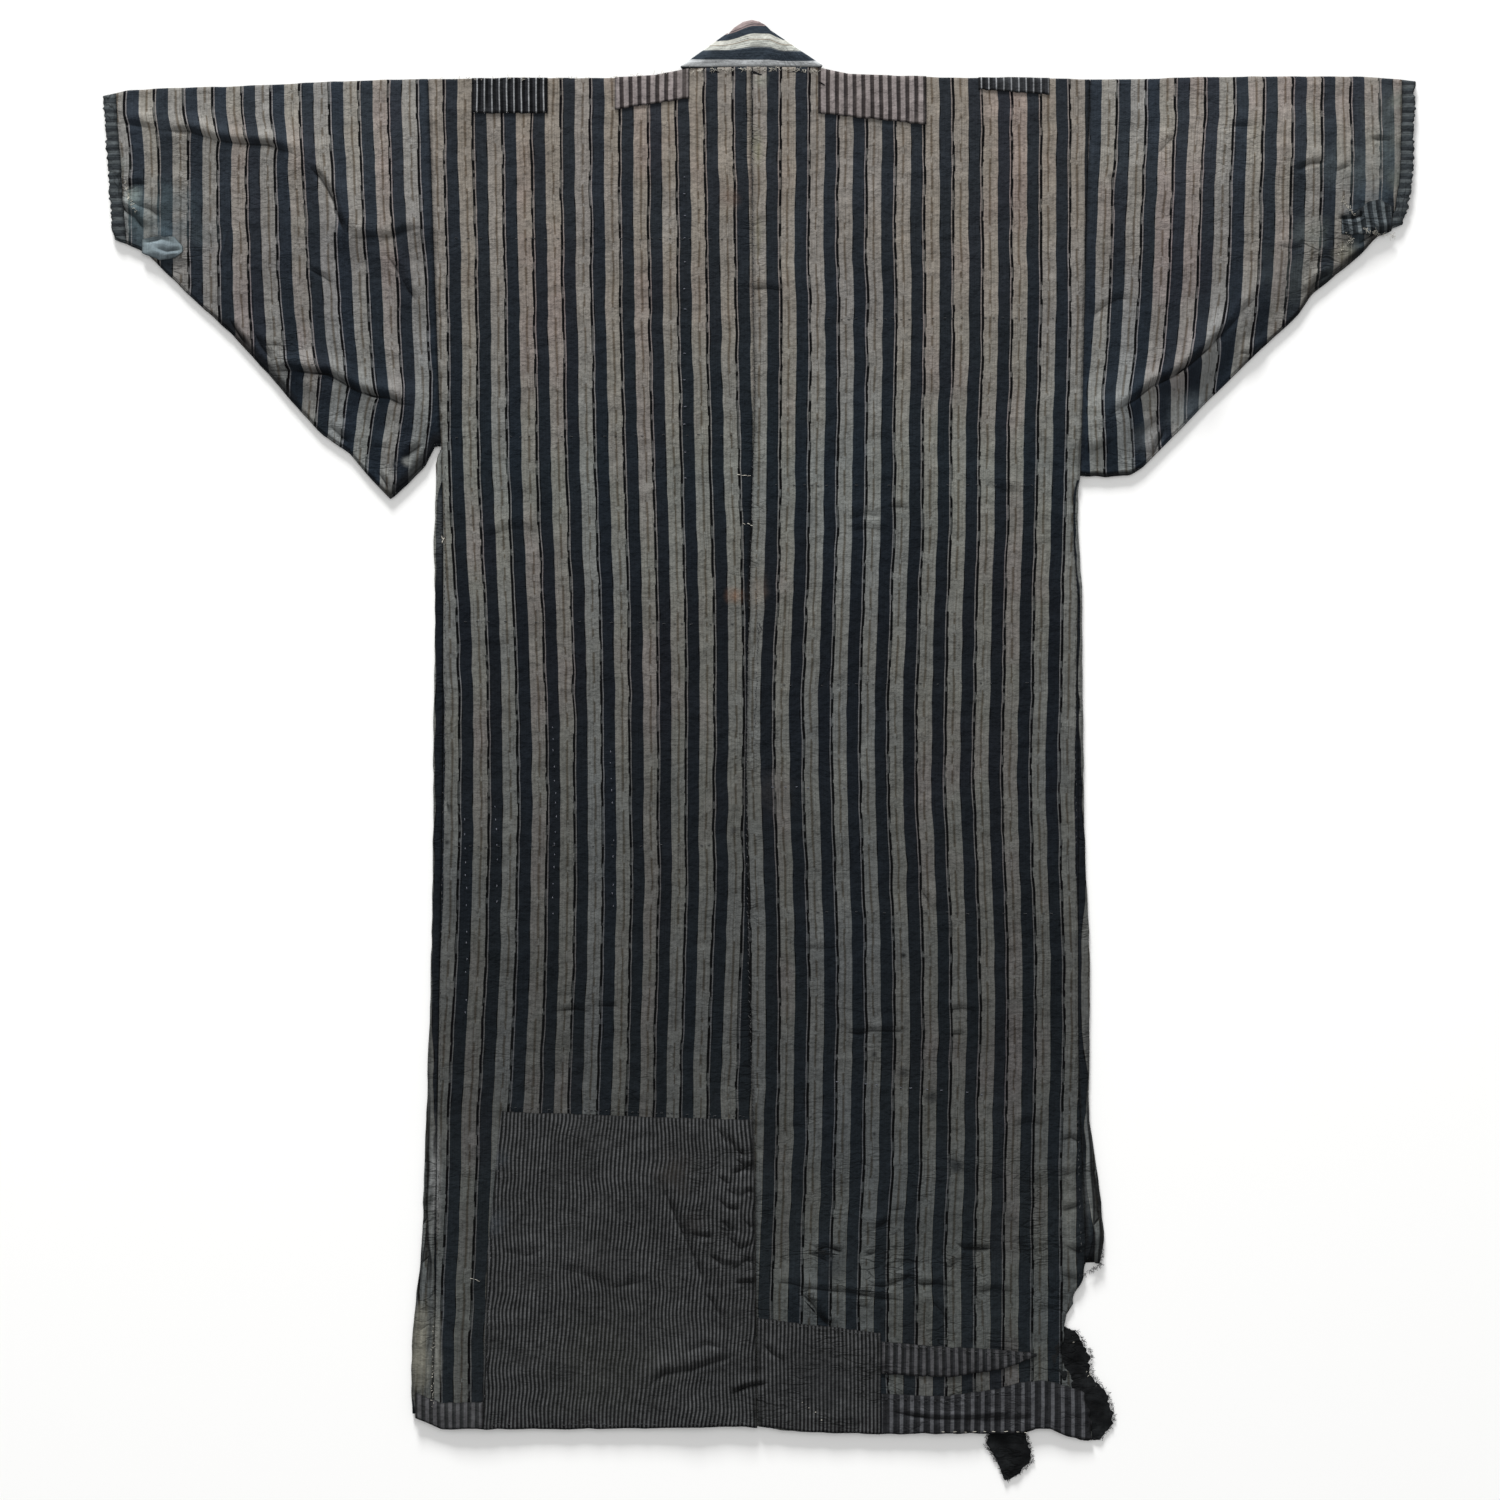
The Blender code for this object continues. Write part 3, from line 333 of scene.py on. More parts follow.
BODY_CREASES = listed(Crease,
    (((-96, -393), (-85, -415), (-75, -440), (-65, -460), (-58, -475), (-49, -502)), 2, 5, 1.8, 0.5, 1.5),
    (((-64, -449), (-52, -451), (-42, -452)), 1.3, 2.4, 1, 0.8),
    (((-40, -350), (-34, -358), (-29, -367)), 0.9, 2.2, 0.7, 0.5),
    (((-29, -361), (-20, -372), (-12, -378)), 1, 2.2, 0.9, 0.65),
    (((-22, -380), (-12, -387), (-4, -385)), 1.1, 2.2, 0.9, 0.75),
    (((-25, -394), (-14, -389), (-4, -391)), 0.9, 2.2, 0.8, 0.6),
    (((-39, -395), (-30, -402), (-22, -402)), 0.9, 2, 0.9, 0.5),
    (((-38, -417), (-30, -425), (-16, -427)), 1, 2, 0.9, 0.5),
    (((-18, -414), (-10, -409), (-4, -411)), 0.9, 1.8, 0.8, 0.5),
    (((-36, -436), (-27, -445), (-20, -444)), 1, 2, 0.9, 0.5),
    (((-15, -436), (-8, -443), (-4, -441)), 1, 1.8, 0.9, 0.6),
    (((-30, -356), (-24, -366), (-20, -369)), 0.9, 1.8, 0.8, 0.5),
    (((-30, -408), (-22, -413)), 0.8, 1.8, 0.8, 0.4),
    (((-29, -452), (-18, -463), (-4, -458)), 1.1, 2, 1, 0.6),
    (((-48, -467), (-34, -478), (-19, -476)), 1, 2.4, 1, 0.5),
    (((-25, -483), (-12, -474), (-3, -476)), 1, 2.2, 0.9, 0.5), (((-23, -495), (-2, -494)), 1.2, 2, 1, 1),
    (((-52, -503), (-42, -514), (-37, -526)), 1, 2.4, 1, 0.45),
    (((-106, -593), (-88, -579), (-62, -575), (-42, -568), (-20, -562)), 1.5, 3.4, 1.6, 0.55),
    (((-28, -599), (-12, -592), (9, -588)), 1.5, 2.2, 1.3, 1),
    (((-72, -561), (-50, -552), (-28, -556)), 0.9, 3, 1, 0.3),
    (((-196, -478), (-160, -488), (-138, -500), (-98, -492)), 0.8, 4, 1, 0.2),
    (((-240, -466), (-215, -470), (-196, -462)), 0.7, 3.4, 0.9, 0.2),
    (((10, -494), (30, -496), (45, -500), (60, -502), (85, -504), (105, -508), (137, -512)),
     1.2, 2.2, 1.2, 0.62),
    (((96, -497), (115, -499), (128, -494), (140, -490), (150, -497), (165, -496), (187, -500)),
     1.2, 2.2, 1.2, 0.65),
    (((46, -468), (55, -471), (64, -476)), 1.3, 2.2, 1.1, 0.9),
    (((52, -466), (62, -462), (78, -467)), 1.4, 2.2, 1.2, 0.9),
    (((183, -458), (190, -463), (205, -464), (218, -463)), 1.2, 2.2, 1.1, 0.8),
    (((176, -481), (186, -475)), 0.9, 2, 0.7, 0.6),
    (((39, -504), (50, -515), (58, -528), (69, -538)), 1.5, 2.4, 1.6, 0.9),
    (((98, -470), (110, -467)), 0.9, 2, 0.8, 0.6),
    (((106, -446), (114, -441), (121, -437)), 0.9, 2.2, 0.9, 0.5),
    (((122, -428), (138, -426)), 0.8, 2.2, 0.8, 0.4),
    (((160, -512), (170, -522), (175, -532)), 1, 2.2, 0.9, 0.5),
    (((88, -515), (104, -519)), 0.8, 2.2, 0.8, 0.4),
    (((202, -505), (218, -500), (236, -504)), 0.9, 2.6, 1, 0.35),
    (((118, -614), (140, -618), (165, -621), (200, -621), (225, -619), (242, -612)), 1, 1.5, 1, 0.7),
    (((204, -623), (256, -620)), 0.8, 1.6, 0.7, 0.6),
    (((4, -552), (12, -561), (24, -568)), 1, 2.6, 0.9, 0.5),
    (((-192, -243), (-172, -241), (-155, -244)), 1, 2, 0.9, 0.65),
    (((-153, -238), (-131, -238)), 0.8, 2.2, 0.8, 0.45),
    (((78, -262), (92, -264), (104, -261), (138, -262)), 0.9, 2.2, 0.9, 0.45),
    (((179, -264), (189, -264)), 0.9, 1.8, 0.6, 1),
    (((174, -242), (190, -240), (202, -243)), 0.9, 2.4, 1, 0.45),
    (((40, -184), (60, -185), (74, -183)), 0.7, 2.6, 0.8, 0.3),
    (((150, -130), (156, -138), (161, -149)), 1, 2.4, 1, 0.4),
    (((82, 214), (102, 219), (114, 216)), 0.8, 2.8, 1.1, 0.25),
    (((84, 203), (100, 206), (118, 203)), 0.8, 2.8, 1.1, 0.2),
    (((119, 226), (139, 225)), 0.7, 2.6, 0.8, 0.25), (((70, 82), (60, 62), (49, 47)), 0.9, 3, 1, 0.25),
    (((-10, 428), (8, 429), (24, 426)), 0.8, 2.8, 0.7, 0.4),
    (((-128, 380), (-100, 388), (-76, 384)), 0.6, 3.4, 0.8, 0.12),
    (((204, 252), (230, 240), (256, 240)), 0.7, 3.2, 0.9, 0.16),
    (((-262, 196), (-230, 206), (-200, 202)), 0.6, 3.4, 0.9, 0.12),
    (((-120, 60), (-122, 10), (-118, -50), (-114, -120)), 0.9, 3.4, 1, 0.2),
    (((280, -363), (290, -360), (299, -366)), 1.1, 2.4, 1.3, 0.45),
    (((281, -396), (297, -391)), 1, 2.4, 1.2, 0.4), (((283, -428), (299, -423)), 1.1, 2.4, 1.3, 0.45),
    (((285, -461), (300, -468)), 1.1, 2.4, 1.3, 0.5), (((279, -487), (297, -493)), 1, 2.4, 1.2, 0.4),
    (((236, -350), (252, -345), (266, -349)), 0.7, 2.8, 0.8, 0.25),
    (((-290, -48), (-288, -60)), 0.7, 2.2, 0.5, 0.6),
)
WORN = ((-580.0, 490.0, 38.0), (-545.0, 465.0, 26.0), (560.0, 500.0, 30.0), (530.0, 455.0, 34.0),
        (-30.0, -420.0, 40.0), (60.0, -485.0, 28.0), (150.0, -495.0, 26.0), (292.0, -440.0, 42.0),
        (90.0, -610.0, 40.0), (-340.0, 265.0, 26.0), (-450.0, 370.0, 30.0), (350.0, 290.0, 34.0))
SLEEVE_SHADE = {
    Side.LEFT: listed(EdgeShade,
        (-600, 4, 0.8), (-570, 3, 0.7), (-530, 2, 0.5), (-505, 5, 0.8), (-488, 11, 0.95),
        (-440, 12, 0.95), (-424, 6, 0.6), (-390, 4, 0.6), (-352, 5, 0.8), (-338, 12, 0.95),
        (-312, 16, 0.95), (-296, 12, 0.9),
    ),
    Side.RIGHT: listed(EdgeShade,
        (299, 3.6, 1), (352, 3.4, 1), (364, 1.5, 0.3), (430, 1.5, 0.2), (452, 3, 0.8), (500, 5, 0.9),
        (512, 10, 0.9), (528, 5, 0.9), (545, 10, 0.9), (562, 5, 0.8), (575, 10, 0.9), (598, 6, 0.9),
    ),
}


# ---- helpers


def column(table: Sequence[NamedTuple], name: str) -> np.ndarray:
    """One named column of a table, as numbers."""
    return np.array([getattr(row, name) for row in table], float)


def read(table: Sequence[NamedTuple], at: np.ndarray, key: str, result: str) -> np.ndarray:
    """Read a column of a table at values of another column, on straight lines."""
    order = np.argsort(column(table, key), kind="stable")
    return np.interp(at, column(table, key)[order], column(table, result)[order])


def curve(keys: np.ndarray, values: np.ndarray, at: np.ndarray) -> np.ndarray:
    """Soft curve through points whose keys rise.

    Args:
        keys: Rising places of the points.
        values: Their values.
        at: Where to read the curve.

    Returns:
        The curve there.
    """
    slopes = np.gradient(values, keys)
    low = np.clip(np.searchsorted(keys, at) - 1, 0, len(keys) - 2)
    step = keys[low + 1] - keys[low]
    t = np.clip((at - keys[low]) / step, 0.0, 1.0)
    return ((2 * t ** 3 - 3 * t ** 2 + 1) * values[low] + (t ** 3 - 2 * t ** 2 + t) * step * slopes[low]
            + (3 * t ** 2 - 2 * t ** 3) * values[low + 1] + (t ** 3 - t ** 2) * step * slopes[low + 1])


def lean(table: Sequence[Drift], places: Sequence[float], x: np.ndarray, y: np.ndarray
         ) -> np.ndarray:
    """Sideways lean of the stripes.

    Args:
        table: Leans at several heights.
        places: How far from the middle each lean was taken.
        x: Places across the coat.
        y: Places up the coat.

    Returns:
        The lean at each place.
    """
    rows = sorted(table)
    heights, leans = column(rows, "y"), np.array([row.leans for row in rows])
    curves = [curve(heights, leans[:, number], y) for number in range(len(places))]
    total = curves[0]
    for number, (near, far) in enumerate(zip(places, places[1:])):
        share = np.clip((np.abs(x) - near) / (far - near), 0.0, 1.0)
        total = total + (curves[number + 1] - curves[number]) * share
    return total


def ramp(value: np.ndarray, start: float, stop: float) -> np.ndarray:
    """Rise smoothly from 0 at start to 1 at stop."""
    share = np.clip((value - start) / (stop - start), 0.0, 1.0)
    return share * share * (3 - 2 * share)


def bell(away: np.ndarray, width: float | np.ndarray) -> np.ndarray:
    """Bell curve: 1 where the distance is 0, falling off over the width."""
    return np.exp(-(away / width) ** 2)


def tint(red: float, green: float, blue: float) -> Colour:
    """Linear colour of a swatch given as screen values from 0 to 255.

    Args:
        red: Red of the swatch.
        green: Green of the swatch.
        blue: Blue of the swatch.

    Returns:
        The colour, opaque.
    """
    def linear(value: float) -> float:
        """One channel."""
        share = value / 255.0
        return share / 12.92 if share <= 0.04045 else ((share + 0.055) / 1.055) ** 2.4
    return (linear(red), linear(green), linear(blue), 1.0)


class Grain:
    """Soft, repeatable unevenness over the plane."""

    SIZE = 61

    def __init__(self, seed: int) -> None:
        """Fill a lattice of values from -1 to 1."""
        self.lattice = np.random.default_rng(seed).uniform(-1.0, 1.0, (self.SIZE, self.SIZE))

    def at(self, x: np.ndarray, y: np.ndarray) -> np.ndarray:
        """Unevenness at places given in lattice steps.

        Args:
            x: Places one way.
            y: Places the other way.

        Returns:
            Values from -1 to 1.
        """
        x, y = np.broadcast_arrays(np.asarray(x, float), np.asarray(y, float))
        left, low = np.floor(x).astype(int), np.floor(y).astype(int)
        s, t = x - left, y - low
        s, t = s * s * (3 - 2 * s), t * t * (3 - 2 * t)
        a, b = left % self.SIZE, (left + 1) % self.SIZE
        c, d = low % self.SIZE, (low + 1) % self.SIZE
        below = self.lattice[a, c] * (1 - s) + self.lattice[b, c] * s
        above = self.lattice[a, d] * (1 - s) + self.lattice[b, d] * s
        return below * (1 - t) + above * t


# ---- form of the coat


@dataclass(frozen=True)
class Layers:
    """Thicknesses and mid-wall levels of the layers of cloth.

    Args:
        wall: Thickness of the coat's cloth.
        seam_gap: Gap left at a seam.
        lay_gap: Gap below a patch.
        floor: Level of the cloth on the ground.
        crossed: Level of the front that lies on the other.
        back: Level of the back.
        corner: Level of the back at its torn corner.
        crown: Level of the collar behind the neck.
        fade: Distance from a fold over which the swell grows.
        crown_swell: How far the collar stands up behind the neck.
    """

    wall: float = 1.2
    seam_gap: float = 0.4
    lay_gap: float = 0.35
    floor: float = 0.6
    crossed: float = 2.1
    back: float = 3.9
    corner: float = 2.2
    crown: float = 5.1
    fade: float = 38.0
    crown_swell: float = 2.6

    @property
    def radius(self) -> float:
        """Radius of a fold between the lowest layer and the back."""
        return (self.back - self.floor) / 2

    @property
    def middle(self) -> float:
        """Height of a fold's centre line."""
        return (self.back + self.floor) / 2

    @property
    def depth(self) -> float:
        """From a fold's outer edge to its centre line."""
        return self.radius + self.wall / 2


@dataclass
class CoatForm:
    """Outlines and heights of the coat as it lies.

    Args:
        layers: Thicknesses and levels.
        middle: Middle of the neck and of the front edges.
        neck_half: From the middle to a neck point.
        front_hem: Height of the fronts' hem.
        wrap_start: Top of each front's strip round the side.
        wrap_end: Bottom of that strip.
        wrap_floor: From the side edge in to where that strip leaves the ground.
        cuff_width: Width of the binding at the sleeve openings.
        wave: Broad unevenness.
        fine: Finer unevenness.
        quilting: Unevenness of the quilting.
    """

    layers: Layers = field(default_factory=Layers)
    middle: float = -8.0
    neck_half: float = 70.5
    front_hem: float = -617.0
    wrap_start: dict[Side, float] = field(
        default_factory=lambda: {Side.LEFT: 281.0, Side.RIGHT: 254.0})
    wrap_end: dict[Side, float] = field(
        default_factory=lambda: {Side.LEFT: -640.0, Side.RIGHT: -483.0})
    wrap_floor: float = 14.0
    cuff_width: float = 12.0
    wave: Grain = field(default_factory=lambda: Grain(11))
    fine: Grain = field(default_factory=lambda: Grain(12))
    quilting: Grain = field(default_factory=lambda: Grain(13))

    def seam(self, side: Side, y: np.ndarray) -> np.ndarray:
        """Outer edge of a back panel: side seam, armhole above it, torn corner below.

        Args:
            side: Which panel.
            y: Places up the coat.

        Returns:
            Places across the coat.
        """
        if side is Side.LEFT:
            return read(BODY_ROWS, y, "y", "seam_left")
        jagged = 2.2 * self.fine.at(y / 5.0, 77.0) * ramp(-y, 486.0, 496.0)
        return read(BODY_ROWS, y, "y", "seam_right") + jagged

    def edge(self, side: Side, y: np.ndarray) -> np.ndarray:
        """Outer edge of the coat beside the back panel."""
        return read(BODY_ROWS, y, "y", "edge_left" if side is Side.LEFT else "edge_right")

    def centre(self, side: Side, y: np.ndarray) -> np.ndarray:
        """Centre back seam, on one panel's side of it."""
        return read(BODY_ROWS, y, "y", "centre") + side.value * self.layers.seam_gap / 2

    def top(self, x: np.ndarray) -> np.ndarray:
        """Shoulder edge, with the small unevenness of a worn fold."""
        return read(TOP_EDGE, x, "x", "y") + 0.7 * self.wave.at(x / 13.0, 3.5)

    def hem(self, x: np.ndarray) -> np.ndarray:
        """Hem edge of the back."""
        return read(HEM_EDGE, x, "x", "y") + 0.8 * self.wave.at(x / 11.0, 9.5)

    def sleeve_bottom(self, side: Side, x: np.ndarray) -> np.ndarray:
        """Lower edge of a sleeve."""
        return read(SLEEVE_BOTTOM[side], x, "x", "y") + 0.9 * self.wave.at(x / 9.0, 17.5)

    def cuff(self, side: Side, y: np.ndarray) -> np.ndarray:
        """Outer edge of a cuff."""
        return read(CUFF_EDGE[side], y, "y", "x") + 0.5 * self.wave.at(y / 7.0, 21.5)

    def level(self, x: np.ndarray, y: np.ndarray) -> np.ndarray:
        """Height of the back before its swell, lower at the torn corner.

        Args:
            x: Places across the coat.
            y: Places up the coat.

        Returns:
            Mid-wall heights.
        """
        corner = ramp(x, 222.0, 262.0) * ramp(-y, 483.0, 517.0)
        hem = ramp(x, 180.0, 220.0) * ramp(-y, 597.0, 628.0)
        drop = self.layers.corner - self.layers.back
        return self.layers.back + drop * np.maximum(corner, hem)

    def swelling(self, x: np.ndarray, y: np.ndarray) -> np.ndarray:
        """Long soft swellings of the cloth.

        Args:
            x: Places across the coat.
            y: Places up the coat.

        Returns:
            Heights to add.
        """
        total = 1.1 + 0.7 * np.sin(x / 47.0 + y / 160.0) + 0.4 * np.sin(y / 83.0 - x / 120.0)
        for ridge in RIDGES:
            run = np.array([ridge.x1 - ridge.x0, ridge.y1 - ridge.y0])
            share = ((x - ridge.x0) * run[0] + (y - ridge.y0) * run[1]) / (run @ run)
            share = np.clip(share, 0.0, 1.0)
            away = np.hypot(x - ridge.x0 - share * run[0], y - ridge.y0 - share * run[1])
            total = total + ridge.height * bell(away, ridge.width)
        return total

    def creasing(self, x: np.ndarray, y: np.ndarray, creases: Sequence[Crease]) -> Lie:
        """Relief, slip and marks of pressed creases; the marks carry their painted shade and highlight.

        Args:
            x: Places across the coat.
            y: Places up the coat.
            creases: The creases.

        Returns:
            Height to add, slip of the stripes, and marks.
        """
        relief, slip, press = np.zeros_like(x), np.zeros_like(x), np.zeros_like(x)
        fold = np.full_like(x, NO_FOLD)
        for crease in creases:
            line = np.array(crease.line, float)
            lengths = np.hypot(*np.diff(line, axis=0).T)
            starts = np.concatenate([[0.0], np.cumsum(lengths)])
            reach = 45.0 if crease.jog else 8 * crease.width
            near = ((x > line[:, 0].min() - reach) & (x < line[:, 0].max() + reach)
                    & (y > line[:, 1].min() - reach) & (y < line[:, 1].max() + reach))
            if not near.any():
                continue
            px, py = x[near], y[near]
            best = np.full(px.shape, 1e9)
            signed, along = np.zeros_like(px), np.zeros_like(px)
            for (ax, ay), (bx, by), length, start in zip(line, line[1:], lengths, starts):
                ux, uy = (bx - ax) / length, (by - ay) / length
                t = np.clip((px - ax) * ux + (py - ay) * uy, 0.0, length)
                away = np.hypot(px - ax - t * ux, py - ay - t * uy)
                closer = away < best
                best = np.where(closer, away, best)
                cross = ux * (py - ay) - uy * (px - ax)
                signed = np.where(closer, np.sign(cross) * away, signed)
                along = np.where(closer, start + t, along)
            share = along / starts[-1]
            taper = ramp(share, -0.02, 0.22) * (1 - ramp(share, 0.78, 1.02))
            uneven = np.clip(0.8 + 0.5 * self.fine.at(px / 8.0, py / 8.0), 0.15, 1.25)
            trough = bell(best, crease.width) * taper * uneven
            lip = bell(signed - 2.2 * crease.width, 2.2 * crease.width) * taper
            relief[near] += 1.5 * crease.lip * lip - 1.4 * crease.depth * trough
            slip[near] += crease.jog * taper * np.exp(-best / 13.0)
            nearest = best < np.abs(fold[near])
            fold[near] = np.where(nearest, signed, fold[near])
            strength = crease.dark * taper * uneven * (1 - ramp(best, 3.6, 8.0))
            press[near] = np.where(nearest, strength, press[near])
        return Lie(relief, slip, Marks(0.0, fold, press))

    def crumpled(self, x: np.ndarray, y: np.ndarray) -> np.ndarray:
        """How crumpled the cloth is, from 0 to 1.

        Args:
            x: Places across the coat.
            y: Places up the coat.

        Returns:
            The crumpling at each place.
        """
        total = 0.1 + 0.15 * ramp(-y, 60.0, 300.0) + 0.4 * ramp(x, -20.0, 30.0) * ramp(-y, 330.0, 480.0)
        total = total + 0.15 * ramp(np.abs(x), 300.0, 340.0)
        centre = self.centre(Side.LEFT, y)
        total = total + 0.5 * bell(x - centre, 11.0)
        for place_x, place_y, size in WORN:
            total = total + 0.8 * np.exp(-((x - place_x) ** 2 + (y - place_y) ** 2) / size ** 2)
        return np.minimum(total, 1.0)

    def rumple(self, x: np.ndarray, y: np.ndarray) -> np.ndarray:
        """Fine unevenness of old quilted cloth."""
        return (0.50 * self.wave.at(x / 31.0, y / 27.0) + 0.32 * self.fine.at(x / 14.0, y / 10.0)
                + 0.16 * self.quilting.at(x / 7.0, y / 5.0))

    def pucker(self, away: np.ndarray, along: np.ndarray, seed: float) -> np.ndarray:
        """Groove and gathered puckers beside a hand-sewn seam.

        Args:
            away: Distance from the seam.
            along: Distance along it.
            seed: Row of the unevenness that the puckers take.

        Returns:
            Height to add.
        """
        groove = -1.0 * bell(away, 2.6)
        gathers = self.quilting.at(along / 5.5, seed) * bell(away, 9.0)
        return groove + 0.55 * gathers

    def back_surface(self, side: Side, x: np.ndarray, y: np.ndarray) -> Lie:
        """How a back panel lies.

        Args:
            side: Which panel.
            x: Places across the coat.
            y: Places up the coat.

        Returns:
            Mid-wall heights, slip of the stripes, and marks.
        """
        seam, centre = self.seam(side, y), self.centre(side, y)
        from_side = np.hypot(x - seam, np.maximum(0.0, y - self.wrap_start[side]))
        room = np.maximum(0.0, np.minimum(self.top(x) - y, from_side))
        creased = self.creasing(x, y, BODY_CREASES)
        relief = creased.height + self.rumple(x, y)
        relief = relief + self.pucker(np.abs(x - centre), y, 5.0)
        relief = relief + self.pucker(np.abs(x - seam), y, 25.0 + side.value)
        soft = ramp(room, 0.0, self.layers.fade) * self.swelling(x, y)
        level = self.level(x, y)
        height = level + soft + relief * ramp(room, 0.0, 6.0)
        dirt = 0.4 * bell(np.abs(x - centre), 1.6)
        dirt = dirt + 0.4 * bell(np.abs(x - seam), 2.0) * ramp(room, 0.0, 1.0)
        marks = creased.marks._replace(dirt=dirt, crumple=self.crumpled(x, y))
        return Lie(np.maximum(height, level - 0.45), creased.slip + self.stray(x, y), marks)

    def sleeve_surface(self, side: Side, x: np.ndarray, y: np.ndarray, room: np.ndarray) -> Lie:
        """How a sleeve's upper layer lies.

        Args:
            side: Which sleeve.
            x: Places across the coat.
            y: Places up the coat.
            room: Distance to the nearest fold.

        Returns:
            Mid-wall heights, slip of the stripes, and marks.
        """
        creased = self.creasing(x, y, SLEEVE_CREASES)
        from_seam = np.abs(x - self.seam(side, y))
        relief = creased.height + self.rumple(x, y) + self.pucker(from_seam, y, 31.0 + side.value)
        soft = ramp(room, 0.0, self.layers.fade) * self.swelling(x, y)
        height = self.layers.back + soft + relief * ramp(room, 0.0, 5.0)
        marks = creased.marks._replace(dirt=0.4 * bell(from_seam, 1.5),
                                       crumple=self.crumpled(x, y))
        return Lie(np.maximum(height, self.layers.back - 1.2), creased.slip + self.stray(x, y), marks)

    def stray(self, x: np.ndarray, y: np.ndarray) -> np.ndarray:
        """Small wandering of the stripes."""
        return 0.6 * self.wave.at(x / 34.0, y / 26.0) + 0.3 * self.fine.at(x / 15.0, y / 12.0)

    def front_level(self, side: Side, x: np.ndarray, y: np.ndarray) -> np.ndarray:
        """Mid-wall height of a front: the right one is raised where it lies on the left.

        Args:
            side: Which front.
            x: Places across the coat.
            y: Places up the coat.

        Returns:
            The heights.
        """
        if side is Side.LEFT:
            return np.full(np.broadcast(x, y).shape, self.layers.floor)
        over = (1 - ramp(x, 190.0, 230.0)) * (1 - ramp(y, 435.0, 495.0))
        return self.layers.floor + (self.layers.crossed - self.layers.floor) * over

    def front_inner(self, side: Side, y: np.ndarray) -> np.ndarray:
        """Where a front ends towards the middle: at its overlap or at the collar."""
        base = np.where(y > 300.0, read(NECKLINE, y, "y", "x"), 0.0)
        return self.middle - side.value * (base - self.layers.seam_gap / 2)


# ---- meshes


class ClothMesh:
    """Grids of points joined into one mesh, with cloth coordinates and marks of dirt and painted shade."""

    def __init__(self) -> None:
        """Start with no grid."""
        self.points: list[np.ndarray] = []
        self.faces: list[np.ndarray] = []
        self.cloth: list[np.ndarray] = []
        self.marks: list[np.ndarray] = []
        self.count = 0

    def add(self, x: np.ndarray, y: np.ndarray, z: np.ndarray, u: np.ndarray, v: np.ndarray,
            marks: Marks = Marks(), flip: bool = False) -> None:
        """Add one grid; points that are not numbers are left out.

        Args:
            x: Places across the coat, row by row.
            y: Places up the coat.
            z: Heights.
            u: Cloth coordinate across the stripes.
            v: Cloth coordinate along the stripes.
            marks: What shows on it.
            flip: Turn the faces over.
        """
        x, y, z, u, v, *shown = np.broadcast_arrays(x, y, z, u, v, *marks)
        index = np.arange(x.size).reshape(x.shape)
        quads = np.stack([index[:-1, :-1], index[:-1, 1:], index[1:, 1:], index[1:, :-1]], -1)
        quads = quads.reshape(-1, 4)
        whole = np.isfinite(x + y + z).ravel()
        quads = quads[whole[quads].all(1)]
        used = np.unique(quads)
        renumber = np.full(x.size, -1)
        renumber[used] = np.arange(len(used)) + self.count
        quads = renumber[quads]
        self.faces.append(quads[:, ::-1] if flip else quads)
        self.points.append(np.stack([x, y, z], -1).reshape(-1, 3)[used])
        self.cloth.append(np.stack([u, v], -1).reshape(-1, 2)[used])
        self.marks.append(np.stack(shown, -1).reshape(-1, len(shown))[used])
        self.count += len(used)

    def build(self, name: str, wall: float) -> bpy.types.Object:
        """Make the mesh object, smooth, with a wall of cloth.

        Args:
            name: Name of the object.
            wall: Thickness of the cloth, or 0 for none.

        Returns:
            The object.
        """
        mesh = bpy.data.meshes.new(name)
        points = np.concatenate(self.points) * MM
        mesh.from_pydata(points.tolist(), [], np.concatenate(self.faces).tolist())
        corners = np.zeros(len(mesh.loops), np.int32)
        mesh.loops.foreach_get("vertex_index", corners)
        cloth = mesh.uv_layers.new(name="cloth")
        cloth.uv.foreach_set("vector", (np.concatenate(self.cloth)[corners] * MM).ravel())
        for mark, values in zip(Marks._fields, np.concatenate(self.marks).T):
            mesh.attributes.new(mark, "FLOAT", "POINT").data.foreach_set("value", values)
        mesh.shade_smooth()
        piece = bpy.data.objects.new(name, mesh)
        bpy.context.scene.collection.objects.link(piece)
        if wall:
            solid = piece.modifiers.new("Wall", "SOLIDIFY")
            solid.thickness, solid.offset = wall * MM, 0.0
        return piece


